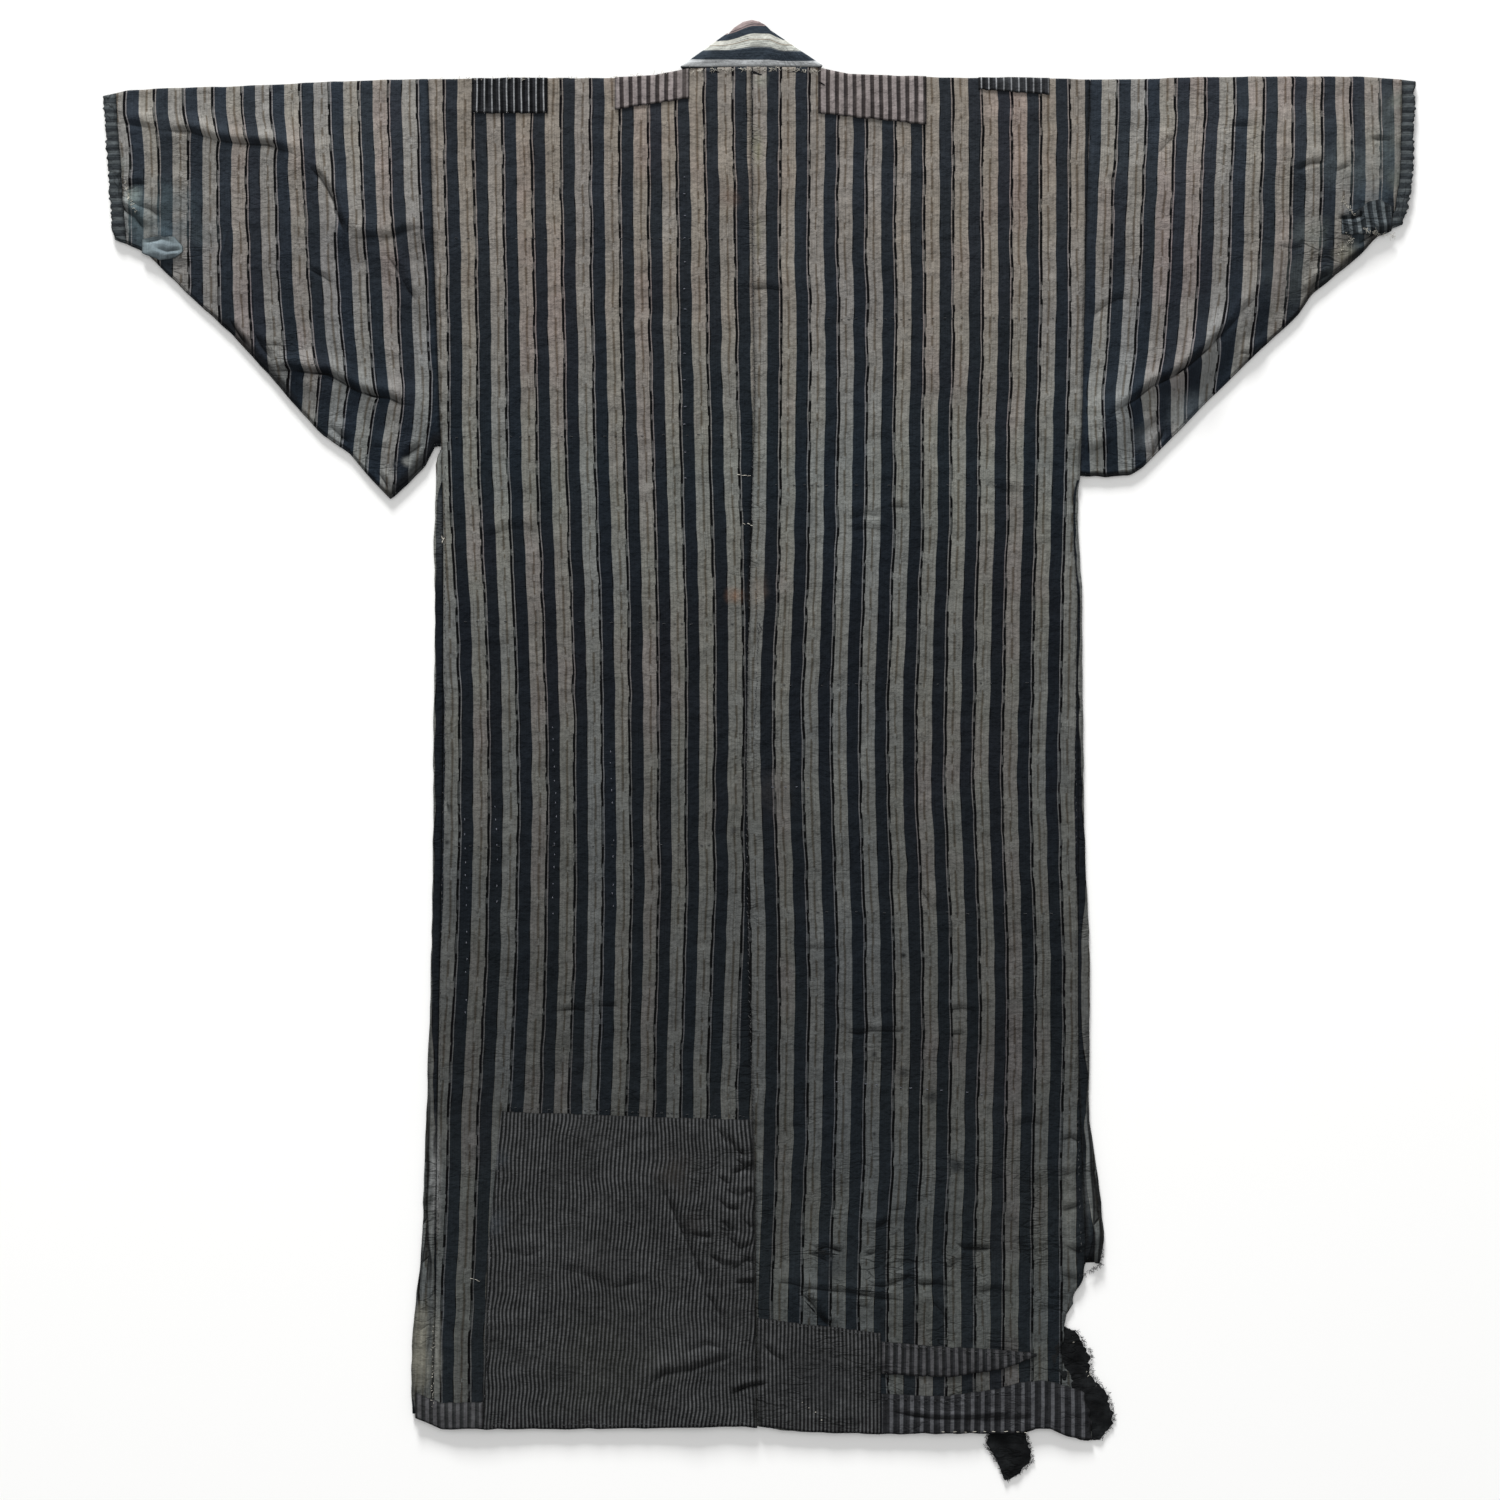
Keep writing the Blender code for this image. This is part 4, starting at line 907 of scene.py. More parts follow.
class ThreadMesh:
    """Short lengths of thread joined into one mesh."""

    SIDES = 4
    END_SIZE = 0.55

    def __init__(self) -> None:
        """Start with no thread."""
        self.points: list[tuple[float, float, float]] = []
        self.faces: list[tuple[int, ...]] = []

    def add(self, line: Sequence[Sequence[float]], radius: float) -> None:
        """Add one thread along a line of points, thinner at its ends.

        Args:
            line: Points along the thread.
            radius: Its radius.
        """
        line = [Vector(point) for point in line]
        first, last = len(self.points), len(line) - 1
        for number, point in enumerate(line):
            ahead = line[min(number + 1, last)] - line[max(number - 1, 0)]
            across = ahead.cross(Vector((0.0, 0.0, 1.0)))
            across = (across if across.length > 1e-6 else Vector((1.0, 0.0, 0.0))).normalized()
            up = across.cross(ahead).normalized()
            size = radius * (self.END_SIZE if number in (0, last) else 1.0)
            for side in range(self.SIDES):
                turn = 2 * math.pi * side / self.SIDES
                self.points.append(tuple(point + size * (math.cos(turn) * across + math.sin(turn) * up)))
        for number in range(last):
            ring = first + number * self.SIDES
            for side in range(self.SIDES):
                after = (side + 1) % self.SIDES
                self.faces.append((ring + side, ring + after, ring + self.SIDES + after,
                                   ring + self.SIDES + side))
        end = first + last * self.SIDES
        self.faces.append(tuple(first + side for side in reversed(range(self.SIDES))))
        self.faces.append(tuple(end + side for side in range(self.SIDES)))

    def build(self, name: str) -> bpy.types.Object:
        """Make the mesh object.

        Args:
            name: Name of the object.

        Returns:
            The object.
        """
        mesh = bpy.data.meshes.new(name)
        mesh.from_pydata([[value * MM for value in point] for point in self.points], [], self.faces)
        mesh.shade_smooth()
        piece = bpy.data.objects.new(name, mesh)
        bpy.context.scene.collection.objects.link(piece)
        return piece


# ---- finishes


class Shader:
    """Lays and joins the nodes of one cloth material."""

    SPECULAR = 0.06
    SHEEN_ROUGHNESS = 0.6
    RELIEF_DEPTH = 0.0012

    def __init__(self, name: str, roughness: float = 0.92, sheen: float = 0.015) -> None:
        """Start the material with its cloth coordinates and place.

        Args:
            name: Name of the material.
            roughness: How matt it is, from 0 to 1.
            sheen: Strength of its fuzz.
        """
        self.material = bpy.data.materials.new(name)
        self.material.use_nodes = True
        self.tree = self.material.node_tree
        self.skin = self.tree.nodes["Principled BSDF"]
        self.skin.inputs["Roughness"].default_value = roughness
        self.skin.inputs["Specular IOR Level"].default_value = self.SPECULAR
        self.skin.inputs["Sheen Weight"].default_value = sheen
        self.skin.inputs["Sheen Roughness"].default_value = self.SHEEN_ROUGHNESS
        cloth = self.tree.nodes.new("ShaderNodeUVMap")
        cloth.uv_map = "cloth"
        self.u, self.v = self.split(cloth.outputs["UV"])[:2]
        place = self.tree.nodes.new("ShaderNodeTexCoord")
        self.place = place.outputs["Object"]
        self.across, self.height = self.split(self.place)[:2]

    def mark(self, name: str) -> Socket:
        """One of the marks that the mesh carries.

        Args:
            name: Name of the mark.

        Returns:
            Its value.
        """
        node = self.tree.nodes.new("ShaderNodeAttribute")
        node.attribute_name = name
        return node.outputs["Fac"]

    def split(self, vector: Socket) -> tuple[Socket, ...]:
        """Parts of a vector.

        Args:
            vector: The vector.

        Returns:
            Its three numbers.
        """
        node = self.tree.nodes.new("ShaderNodeSeparateXYZ")
        self.tree.links.new(vector, node.inputs[0])
        return tuple(node.outputs)

    def feed(self, socket: Socket, value: Socket | float | Colour) -> None:
        """Join a socket to another, or set its value.

        Args:
            socket: The socket that takes the value.
            value: What it takes.
        """
        if isinstance(value, bpy.types.NodeSocket):
            self.tree.links.new(value, socket)
        else:
            socket.default_value = value

    def math(self, operation: str, *values: Socket | float) -> Socket:
        """Arithmetic on numbers or sockets.

        Args:
            operation: Name of the operation.
            values: What it works on.

        Returns:
            The result.
        """
        node = self.tree.nodes.new("ShaderNodeMath")
        node.operation = operation
        for socket, value in zip(node.inputs, values):
            self.feed(socket, value)
        return node.outputs[0]

    def times(self, first: Socket | float, second: Socket | float) -> Socket:
        """Product of two numbers."""
        return self.math("MULTIPLY", first, second)

    def scaled(self, value: Socket, factor: Socket | float, start: Socket | float) -> Socket:
        """A number times a factor, plus a start."""
        return self.math("MULTIPLY_ADD", value, factor, start)

    def at(self, across: float, along: float, shift: Socket | float = 0.0) -> Socket:
        """Cloth coordinates scaled in both directions, as a vector.

        Args:
            across: Scale across the stripes.
            along: Scale along them.
            shift: Third part of the vector.

        Returns:
            The vector.
        """
        node = self.tree.nodes.new("ShaderNodeCombineXYZ")
        self.feed(node.inputs[0], self.times(self.u, across))
        self.feed(node.inputs[1], self.times(self.v, along))
        self.feed(node.inputs[2], shift)
        return node.outputs[0]

    def noise(self, vector: Socket, scale: float = 1.0, detail: float = 2.0) -> Socket:
        """Soft noise from 0 to 1.

        Args:
            vector: Where it is taken.
            scale: How fine it is.
            detail: How many finer layers it has.

        Returns:
            The noise.
        """
        node = self.tree.nodes.new("ShaderNodeTexNoise")
        self.feed(node.inputs["Vector"], vector)
        node.inputs["Scale"].default_value = scale
        node.inputs["Detail"].default_value = detail
        return node.outputs["Fac"]

    def chance(self, value: Socket) -> Socket:
        """A different number from 0 to 1 for each value.

        Args:
            value: The value.

        Returns:
            The number.
        """
        node = self.tree.nodes.new("ShaderNodeTexWhiteNoise")
        node.noise_dimensions = "1D"
        self.feed(node.inputs["W"], value)
        return node.outputs["Value"]

    def ramp(self, value: Socket, stops: Sequence[tuple[float, Colour]]) -> Socket:
        """Colour that runs through stops.

        Args:
            value: Place between the stops.
            stops: Places with their colours.

        Returns:
            The colour.
        """
        node = self.tree.nodes.new("ShaderNodeValToRGB")
        band = node.color_ramp
        for _ in range(len(stops) - 2):
            band.elements.new(0.5)
        for element, (position, _) in zip(band.elements, stops):
            element.position = position
        for element, (position, colour) in zip(band.elements, stops):
            element.position, element.color = position, colour
        self.feed(node.inputs["Fac"], value)
        return node.outputs["Color"]

    def rise(self, value: Socket, start: float, stop: float) -> Socket:
        """Number that rises from 0 at start to 1 at stop.

        Args:
            value: What it follows.
            start: Where it is 0.
            stop: Where it is 1.

        Returns:
            The number.
        """
        node = self.tree.nodes.new("ShaderNodeMapRange")
        node.interpolation_type = "SMOOTHSTEP"
        self.feed(node.inputs["Value"], value)
        node.inputs["From Min"].default_value = start
        node.inputs["From Max"].default_value = stop
        return node.outputs["Result"]

    def mix(self, share: Socket | float, first: Socket | Colour, second: Socket | Colour,
            blend: str = "MIX") -> Socket:
        """Mix two colours.

        Args:
            share: Share of the second.
            first: The first colour.
            second: The second colour.
            blend: How they are joined.

        Returns:
            The mixed colour.
        """
        node = self.tree.nodes.new("ShaderNodeMix")
        node.data_type, node.blend_type = "RGBA", blend
        self.feed(node.inputs[0], share)
        self.feed(node.inputs[6], first)
        self.feed(node.inputs[7], second)
        return node.outputs[2]

    def swing(self, value: Socket, amount: float) -> Socket:
        """Brightness factor: 1 where a noise is halfway, more or less beside it."""
        return self.scaled(value, amount, 1.0 - amount / 2)

    def near(self, value: Socket, middle: float, reach: float) -> Socket:
        """1 where a value is at its middle, falling to 0 at its reach."""
        away = self.math("ABSOLUTE", self.math("SUBTRACT", value, middle))
        return self.rise(away, reach, reach * 0.15)

    def crinkles(self) -> Socket:
        """Thin, short, mostly crosswise wrinkles, from 0 to 1.

        Returns:
            The wrinkles.
        """
        broad = self.near(self.noise(self.at(13.0, 40.0), detail=3.0), 0.5, 0.022)
        small = self.near(self.noise(self.at(34.0, 86.0, 3.0), detail=2.0), 0.5, 0.035)
        shown = self.rise(self.noise(self.place, 22.0, 1.0), 0.44, 0.62)
        both = self.math("MAXIMUM", broad, self.times(small, 0.7))
        return self.times(self.times(both, shown), self.mark("crumple"))

    def finish(self, colour: Socket, grime: Colour, yarn: float = 0.8, relief: float = 1.0
               ) -> bpy.types.Material:
        """Add yarns, mottling, dirt, relief, and painted shade and highlight at wrinkles, creases and
        edges.

        Args:
            colour: The dyed colour.
            grime: Colour of the dirt, and of the painted shade in creases and along edges.
            yarn: Strength of the yarns' unevenness.
            relief: Strength of the relief.

        Returns:
            The finished material.
        """
        warp = self.noise(self.at(900.0, 26.0), detail=1.0)
        weft = self.noise(self.at(60.0, 620.0), detail=1.0)
        neps = self.noise(self.place, 330.0, 3.0)
        mottle = self.noise(self.place, 17.0, 4.0)
        patchy = self.noise(self.place, 85.0, 4.0)
        crinkle, press, fold = self.crinkles(), self.mark("press"), self.mark("fold")
        # A crease's painted marks: a dark line in its trough, painted shade on its lip side, painted
        # highlight on the other.
        line = self.times(press, self.near(fold, 0.0, 1.4))
        shade = self.times(press, self.near(fold, 2.2, 4.2))
        painted_highlight = self.times(press, self.near(fold, -2.4, 3.2))
        light = self.times(self.swing(warp, yarn * 0.8), self.swing(weft, yarn * 0.1))
        light = self.times(light, self.swing(neps, yarn * 0.4))
        light = self.times(light, self.swing(mottle, 0.55))
        light = self.times(light, self.swing(patchy, 0.6))
        # Painted shade in the crinkles and beside the creases, and a painted highlight on the creases'
        # other side.
        light = self.times(light, self.scaled(crinkle, -0.45, 1.0))
        light = self.times(light, self.scaled(shade, -0.6, 1.0))
        light = self.times(light, self.scaled(painted_highlight, 0.45, 1.0))
        colour = self.mix(1.0, colour, light, "MULTIPLY")
        slub = self.rise(self.noise(self.at(330.0, 300.0), detail=0.0), 0.70, 0.80)
        colour = self.mix(self.times(slub, 0.3), colour, grime)
        # Painted shade in the crease troughs.
        colour = self.mix(self.times(line, 0.9), colour, grime)
        # Dirt, dark seams and painted shade from the mesh's marks.
        colour = self.mix(self.times(self.mark("dirt"), 0.92), colour, grime)
        self.feed(self.skin.inputs["Base Color"], colour)
        woven = self.scaled(warp, 0.35, self.times(weft, 0.12))
        woven = self.scaled(patchy, 2.2, woven)
        woven = self.scaled(neps, 0.5, woven)
        woven = self.scaled(crinkle, -0.7, woven)
        woven = self.scaled(line, -0.8, woven)
        bump = self.tree.nodes.new("ShaderNodeBump")
        bump.inputs["Strength"].default_value = relief
        bump.inputs["Distance"].default_value = self.RELIEF_DEPTH
        self.feed(bump.inputs["Height"], woven)
        self.feed(self.skin.inputs["Normal"], bump.outputs["Normal"])
        return self.material


@dataclass(frozen=True)
class Stain:
    """Soft discoloured spot.

    Args:
        x: Its middle across the coat.
        y: Its middle up the coat.
        radius: Its size.
        colour: Its colour.
        strength: How much of the cloth's own colour it covers.
        tall: How many times as high as wide it is.
    """

    x: float
    y: float
    radius: float
    colour: Colour
    strength: float
    tall: float = 1.0


def stains(*rows: Sequence[Any]) -> tuple[Stain, ...]:
    """Stains from plain rows, each colour given as the three values of a swatch."""
    return tuple(Stain(x, y, radius, tint(*swatch), *rest) for x, y, radius, swatch, *rest in rows)


def spot(shader: Shader, colour: Socket, stain: Stain) -> Socket:
    """Lay one stain over a colour.

    Args:
        shader: The material that is being built.
        colour: The colour below the stain.
        stain: The stain.

    Returns:
        The stained colour.
    """
    off_x = shader.math("SUBTRACT", shader.across, stain.x * MM)
    off_y = shader.scaled(shader.height, 1 / stain.tall, -stain.y * MM / stain.tall)
    away = shader.math("SQRT", shader.math("ADD", shader.times(off_x, off_x), shader.times(off_y, off_y)))
    ragged = shader.scaled(shader.noise(shader.place, 60.0), stain.radius * MM, away)
    share = shader.rise(ragged, stain.radius * MM * 1.6, stain.radius * MM * 0.5)
    return shader.mix(shader.times(share, stain.strength), colour, stain.colour)


@dataclass(frozen=True)
class StripedCloth:
    """Navy and beige stripes with thin broken black and light lines between them.

    Args:
        name: Name of the material.
        fade: Colour factor by height in millimetres: real fading and painted shade.
        stains: Discoloured spots.
        period: Width of one repeat of the stripes.
        beige: Colour of the pale stripe.
        brown: Colour of the strong line in it.
        faint: Colour of the weak lines in it.
        edge: Colour of the black line where it is worn.
        navy: Colour of the dark stripe.
        black: Colour of the black line.
        line: Colour of the thin pale line beside it.
        grime: Colour of the dirt and of the painted shade.
    """

    name: str
    fade: tuple[tuple[float, Colour], ...]
    stains: tuple[Stain, ...] = ()
    period: float = 27.0
    beige: Colour = tint(126, 120, 113)
    brown: Colour = tint(90, 81, 71)
    faint: Colour = tint(114, 106, 98)
    edge: Colour = tint(78, 76, 73)
    navy: Colour = tint(36, 40, 45)
    black: Colour = tint(6, 6, 7)
    line: Colour = tint(119, 112, 109)
    grime: Colour = tint(12, 13, 15)

    def material(self) -> bpy.types.Material:
        """Build the material.

        Returns:
            The material.
        """
        shader = Shader(self.name)
        shake = shader.noise(shader.at(45.0, 32.0), detail=2.0)
        u = shader.scaled(shake, 0.0016, shader.u)
        u = shader.math("SUBTRACT", u, 0.0008)
        turn = shader.math("DIVIDE", u, self.period * MM)
        phase = shader.math("FRACT", turn)
        inked = shader.ramp(phase, (
            (0.0, self.beige), (0.185, self.beige), (0.240, self.brown), (0.270, self.brown),
            (0.320, self.beige), (0.458, self.beige), (0.464, self.black), (0.546, self.black),
            (0.552, self.line), (0.578, self.line), (0.588, self.navy), (0.985, self.navy),
            (0.995, self.beige)))
        plain = shader.ramp(phase, (
            (0.0, self.beige), (0.075, self.beige), (0.100, self.faint), (0.125, self.beige),
            (0.360, self.beige), (0.385, self.faint), (0.410, self.beige), (0.484, self.beige),
            (0.494, self.edge), (0.536, self.edge), (0.552, self.line), (0.578, self.line),
            (0.588, self.navy), (0.985, self.navy), (0.995, self.beige)))
        strand = shader.math("FLOOR", shader.scaled(turn, 16.0, 0.2))
        breaks = shader.noise(shader.at(0.0, 48.0, shader.times(strand, 1.7)), detail=2.0)
        colour = shader.mix(shader.rise(breaks, 0.42, 0.46), plain, inked)
        beside = shader.math("MAXIMUM", shader.near(phase, 0.614, 0.024), shader.near(phase, 0.966, 0.026))
        beside = shader.times(beside, shader.rise(breaks, 0.56, 0.60))
        colour = shader.mix(beside, colour, self.black)
        band = shader.chance(shader.math("FLOOR", turn))
        hue = shader.scaled(shader.noise(shader.place, 9.0, 3.0), 0.9, shader.scaled(band, 0.35, -0.12))
        colour = shader.mix(1.0, colour, shader.ramp(hue, (
            (0.25, (0.97, 1.00, 1.03, 1.0)), (0.42, (0.99, 1.00, 0.99, 1.0)),
            (0.55, (1.01, 1.0, 0.95, 1.0)), (0.72, (1.07, 0.98, 0.97, 1.0)))), "MULTIPLY")
        colour, deep = self.faded(shader, colour)
        colour = shader.mix(shader.rise(phase, 0.578, 0.59), colour, deep)
        for stain in self.stains:
            colour = spot(shader, colour, stain)
        return shader.finish(colour, self.grime)

    def faded(self, shader: Shader, colour: Socket) -> list[Socket]:
        """The colour with real fading and painted shade up the coat, and again with the dark stripes' own.

        Args:
            shader: The material that is being built.
            colour: The unfaded colour.

        Returns:
            The faded colour, and its deeper form.
        """
        spread = shader.scaled(shader.height, 1 / FADE_AND_SHADE_SPAN, 0.5)
        made = []
        for fade in (self.fade, DARK_FADE_AND_SHADE):
            stops = tuple((0.5 + height * MM / FADE_AND_SHADE_SPAN, factor) for height, factor in fade)
            colour = shader.mix(1.0, colour, shader.ramp(spread, stops), "MULTIPLY")
            made.append(colour)
        return made


@dataclass(frozen=True)
class PinstripeCloth:
    """Narrow stripes of two tones, the darker one with a thin black edge.

    Args:
        name: Name of the material.
        pitch: Width of one repeat.
        light: Share of the light stripe.
        pale: Colour of the light stripe.
        dark: Colour of the ground.
        edge: Colour of the ground beside the light stripe.
        worn: Colour of rubbed places.
        uneven: How much the tones come and go.
        stains: Discoloured spots.
    """

    name: str
    pitch: float
    light: float
    pale: Colour
    dark: Colour
    edge: Colour
    worn: Colour
    uneven: float = 0.5
    stains: tuple[Stain, ...] = ()

    def material(self) -> bpy.types.Material:
        """Build the material.

        Returns:
            The material.
        """
        shader = Shader(self.name)
        sway = shader.noise(shader.at(30.0, 20.0))
        u = shader.scaled(sway, 0.0010, shader.u)
        turn = shader.math("DIVIDE", u, self.pitch * MM)
        phase = shader.math("FRACT", turn)
        soft = 0.07
        colour = shader.ramp(phase, (
            (0.0, self.pale), (self.light, self.pale), (self.light + soft, self.edge),
            ((1 + self.light) / 2, self.edge), ((1 + self.light) / 2 + soft, self.dark),
            (1.0 - soft, self.dark), (1.0, self.pale)))
        strand = shader.math("FLOOR", shader.times(turn, 2.0))
        flecks = shader.noise(shader.at(0.0, 55.0, shader.times(strand, 2.3)))
        colour = shader.mix(1.0, colour, shader.swing(flecks, self.uneven), "MULTIPLY")
        rubbed = shader.rise(shader.noise(shader.place, 22.0, 4.0), 0.52, 0.70)
        colour = shader.mix(shader.times(rubbed, 0.35), colour, self.worn)
        for stain in self.stains:
            colour = spot(shader, colour, stain)
        return shader.finish(colour, tint(12, 12, 13))


@dataclass(frozen=True)
class PlainCloth:
    """Cloth of one dye, faded in places.

    Args:
        name: Name of the material.
        dyed: Its own colour.
        faded: Its colour where it has faded.
        relief: Strength of its relief.
    """

    name: str
    dyed: Colour
    faded: Colour
    relief: float = 0.6

    def material(self) -> bpy.types.Material:
        """Build the material.

        Returns:
            The material.
        """
        shader = Shader(self.name)
        share = shader.rise(shader.noise(shader.place, 45.0, 5.0), 0.38, 0.68)
        return shader.finish(shader.mix(share, self.dyed, self.faded), tint(12, 13, 15),
                             relief=self.relief)


@dataclass(frozen=True)
class BandedCloth:
    """Collar cloth: broad bands along the strip, from its sewn base to its edge.

    Args:
        name: Name of the material.
        bands: Places across the strip, in millimetres, with their colours.
        width: Width of the strip.
    """

    name: str
    bands: tuple[tuple[float, Colour], ...]
    width: float = 49.0

    def material(self) -> bpy.types.Material:
        """Build the material.

        Returns:
            The material.
        """
        shader = Shader(self.name)
        sway = shader.noise(shader.at(20.0, 14.0))
        share = shader.math("DIVIDE", shader.scaled(sway, 0.0012, shader.u), self.width * MM)
        stops = tuple((place / self.width, colour) for place, colour in self.bands)
        return shader.finish(shader.ramp(share, stops), tint(20, 20, 22))


@dataclass(frozen=True)
class ThreadDye:
    """Cotton sewing thread, twisted, with an uneven dye.

    Args:
        name: Name of the material.
        dyed: Its own colour.
        worn: Its colour where it is worn.
    """

    name: str
    dyed: Colour
    worn: Colour

    def material(self) -> bpy.types.Material:
        """Build the material.

        Returns:
            The material.
        """
        shader = Shader(self.name, roughness=0.85, sheen=0.2)
        share = shader.rise(shader.noise(shader.place, 260.0, 2.0), 0.35, 0.65)
        return shader.finish(shader.mix(share, self.dyed, self.worn), tint(20, 20, 22))


# Colour factors by height: partly the cloth's real fading, partly painted shade, darker towards the hem as
# if lit from above.
FADE_AND_SHADE_SPAN = 1.4
DARK_FADE_AND_SHADE = (
    (-470.0, (1.60, 1.48, 1.32, 1.0)), (-251.0, (0.95, 0.95, 0.90, 1.0)),
    (-56.0, (0.80, 0.78, 0.79, 1.0)), (126.0, (0.56, 0.55, 0.58, 1.0)),
    (265.0, (0.66, 0.70, 0.73, 1.0)), (405.0, (0.70, 0.73, 0.74, 1.0)), (545.0, (0.95, 0.96, 0.97, 1.0)),
)
BODY_FADE_AND_SHADE = (
    (-640.0, (0.34, 0.405, 0.455, 1.0)), (-470.0, (0.328, 0.39, 0.44, 1.0)),
    (-251.0, (0.345, 0.395, 0.445, 1.0)), (-56.0, (0.445, 0.51, 0.56, 1.0)),
    (126.0, (0.59, 0.66, 0.71, 1.0)), (265.0, (0.70, 0.80, 0.86, 1.0)),
    (405.0, (0.82, 0.85, 0.89, 1.0)), (545.0, (0.94, 0.94, 0.96, 1.0)),
)
SLEEVE_FADE_AND_SHADE = (
    (250.0, (0.79, 0.93, 1.06, 1.0)), (330.0, (0.78, 0.89, 1.00, 1.0)),
    (456.0, (0.76, 0.80, 0.87, 1.0)), (563.0, (1.00, 1.06, 1.12, 1.0)),
)
STRIPED_BODY = StripedCloth("striped_cloth_body", BODY_FADE_AND_SHADE, stains(
    (-23, 143, 10, (120, 84, 62), 0.4), (-1, 150, 11, (96, 80, 68), 0.3, 2.4),
    (-27, 512, 12, (104, 84, 74), 0.3), (10, -40, 30, (52, 50, 48), 0.25),
    (107, -283, 4.5, (14, 15, 16), 0.9), (107, -357, 3.5, (14, 15, 16), 0.9),
    (133, -300, 8, (20, 22, 25), 0.7), (134, -191, 4, (14, 15, 16), 0.9),
    (161, -322, 9, (18, 20, 23), 0.75), (184, -385, 10, (20, 23, 27), 0.8),
    (-24, -75, 5, (34, 36, 38), 0.6), (-290, -86, 3.5, (16, 17, 18), 0.8),
    (70, -478, 24, (34, 38, 42), 0.5), (-2, 560, 8, (112, 114, 92), 0.4, 3),
    (-1, 480, 8, (112, 110, 92), 0.35, 4), (1, 622, 9, (132, 136, 124), 0.4),
    (-299, 279, 8, (18, 20, 22), 0.95), (118, 596, 26, (62, 74, 80), 0.25),
    (-297, 210, 7, (92, 96, 98), 0.3, 8), (-315, -556, 12, (126, 124, 113), 0.85, 5),
    (-300, -400, 6.5, (122, 123, 123), 0.75, 10), (-300, -555, 6, (116, 116, 110), 0.75, 10),
    (288, -420, 7, (102, 104, 101), 0.5, 9), (305, -410, 5, (92, 95, 95), 0.5, 8),
    (-190, -290, 70, (36, 38, 40), 0.12)))
STRIPED_SLEEVE = StripedCloth("striped_cloth_sleeve", SLEEVE_FADE_AND_SHADE, stains(
    (-583, 515, 12, (140, 150, 144), 0.5), (-575, 495, 40, (84, 98, 102), 0.5),
    (-550, 478, 26, (62, 76, 84), 0.5), (-540, 508, 28, (72, 86, 92), 0.35),
    (-518, 480, 24, (74, 84, 88), 0.25), (-597, 545, 16, (98, 106, 102), 0.5),
    (-600, 480, 16, (50, 58, 62), 0.5), (-327, 268, 6.5, (160, 162, 158), 0.5),
    (-338, 262, 5, (40, 46, 52), 0.5, 2), (-346, 239, 7, (110, 108, 98), 0.6),
    (597, 604, 13, (96, 99, 92), 0.7), (597, 568, 15, (98, 101, 93), 0.7),
    (596, 530, 15, (92, 97, 91), 0.7), (585, 590, 34, (92, 100, 98), 0.3),
    (590, 550, 38, (84, 94, 96), 0.4), (545, 540, 30, (96, 106, 108), 0.25),
    (500, 440, 40, (92, 100, 98), 0.2), (560, 475, 24, (60, 70, 76), 0.5),
    (540, 440, 22, (84, 92, 92), 0.4), (548, 500, 14, (58, 66, 72), 0.6),
    (572, 512, 22, (64, 76, 84), 0.6), (545, 462, 16, (120, 118, 104), 0.4),
    # The pale spots at (398, 316) and (360, 288) are painted highlight on puffy ridges of the right
    # sleeve.
    (515, 480, 22, (92, 100, 98), 0.4), (398, 316, 22, (124, 134, 140), 0.22),
    (360, 288, 20, (130, 138, 142), 0.22)),
    navy=tint(40, 44, 49))
CUFF_CLOTH = PinstripeCloth("cuff_cloth", 8.8, 0.30, tint(75, 80, 82), tint(54, 59, 62),
                            tint(44, 48, 51), tint(66, 72, 75), 0.5)
CUFF_PATCH = PinstripeCloth("cuff_patch_cloth", 8.2, 0.34, tint(86, 92, 95), tint(46, 51, 55),
                            tint(34, 38, 41), tint(62, 70, 74), 1.0)
DARK_STRIPE = PinstripeCloth("dark_striped_patch", 6.9, 0.10, tint(130, 132, 134), tint(32, 33, 36),
                             tint(12, 13, 15), tint(60, 62, 65), 1.1, stains(
    (236, 618, 34, (86, 89, 92), 0.22)))
BROWN_STRIPE = PinstripeCloth("brown_striped_patch", 8.3, 0.46, tint(126, 119, 118),
                              tint(55, 50, 49), tint(48, 44, 44), tint(96, 90, 88), 0.5)
FINE_STRIPE = PinstripeCloth("fine_striped_patch", 3.6, 0.36, tint(71, 72, 73), tint(26, 27, 27),
                             tint(19, 20, 21), tint(41, 42, 42), 0.9, stains(
    (-140, -570, 80, (44, 45, 39), 0.25), (-80, -392, 24, (38, 35, 32), 0.55),
    (-62, -440, 15, (32, 30, 29), 0.45), (-246, -440, 16, (56, 62, 68), 0.35),
    (-240, -380, 12, (54, 60, 66), 0.3), (-150, -470, 30, (40, 40, 40), 0.3),
    (54, -580, 46, (34, 35, 37), 0.4)))
FAINT_STRIPE = PinstripeCloth("faint_striped_patch", 7.2, 0.40, tint(74, 74, 76),
                              tint(45, 46, 47), tint(36, 37, 38), tint(58, 58, 60), 0.7)
WEDGE_STRIPE = PinstripeCloth("wedge_striped_patch", 7.6, 0.34, tint(70, 70, 72),
                              tint(38, 39, 41), tint(28, 29, 30), tint(50, 50, 52), 0.8)
COARSE_STRIPE = PinstripeCloth("coarse_striped_patch", 9.4, 0.28, tint(73, 74, 77),
                               tint(34, 35, 37), tint(27, 28, 30), tint(50, 50, 52), 0.8)
BLUE_CLOTH = PlainCloth("blue_cloth", tint(98, 108, 113), tint(112, 123, 127), 0.45)
BLACK_CLOTH = PlainCloth("black_cloth", tint(14, 15, 16), tint(30, 32, 33), 0.9)
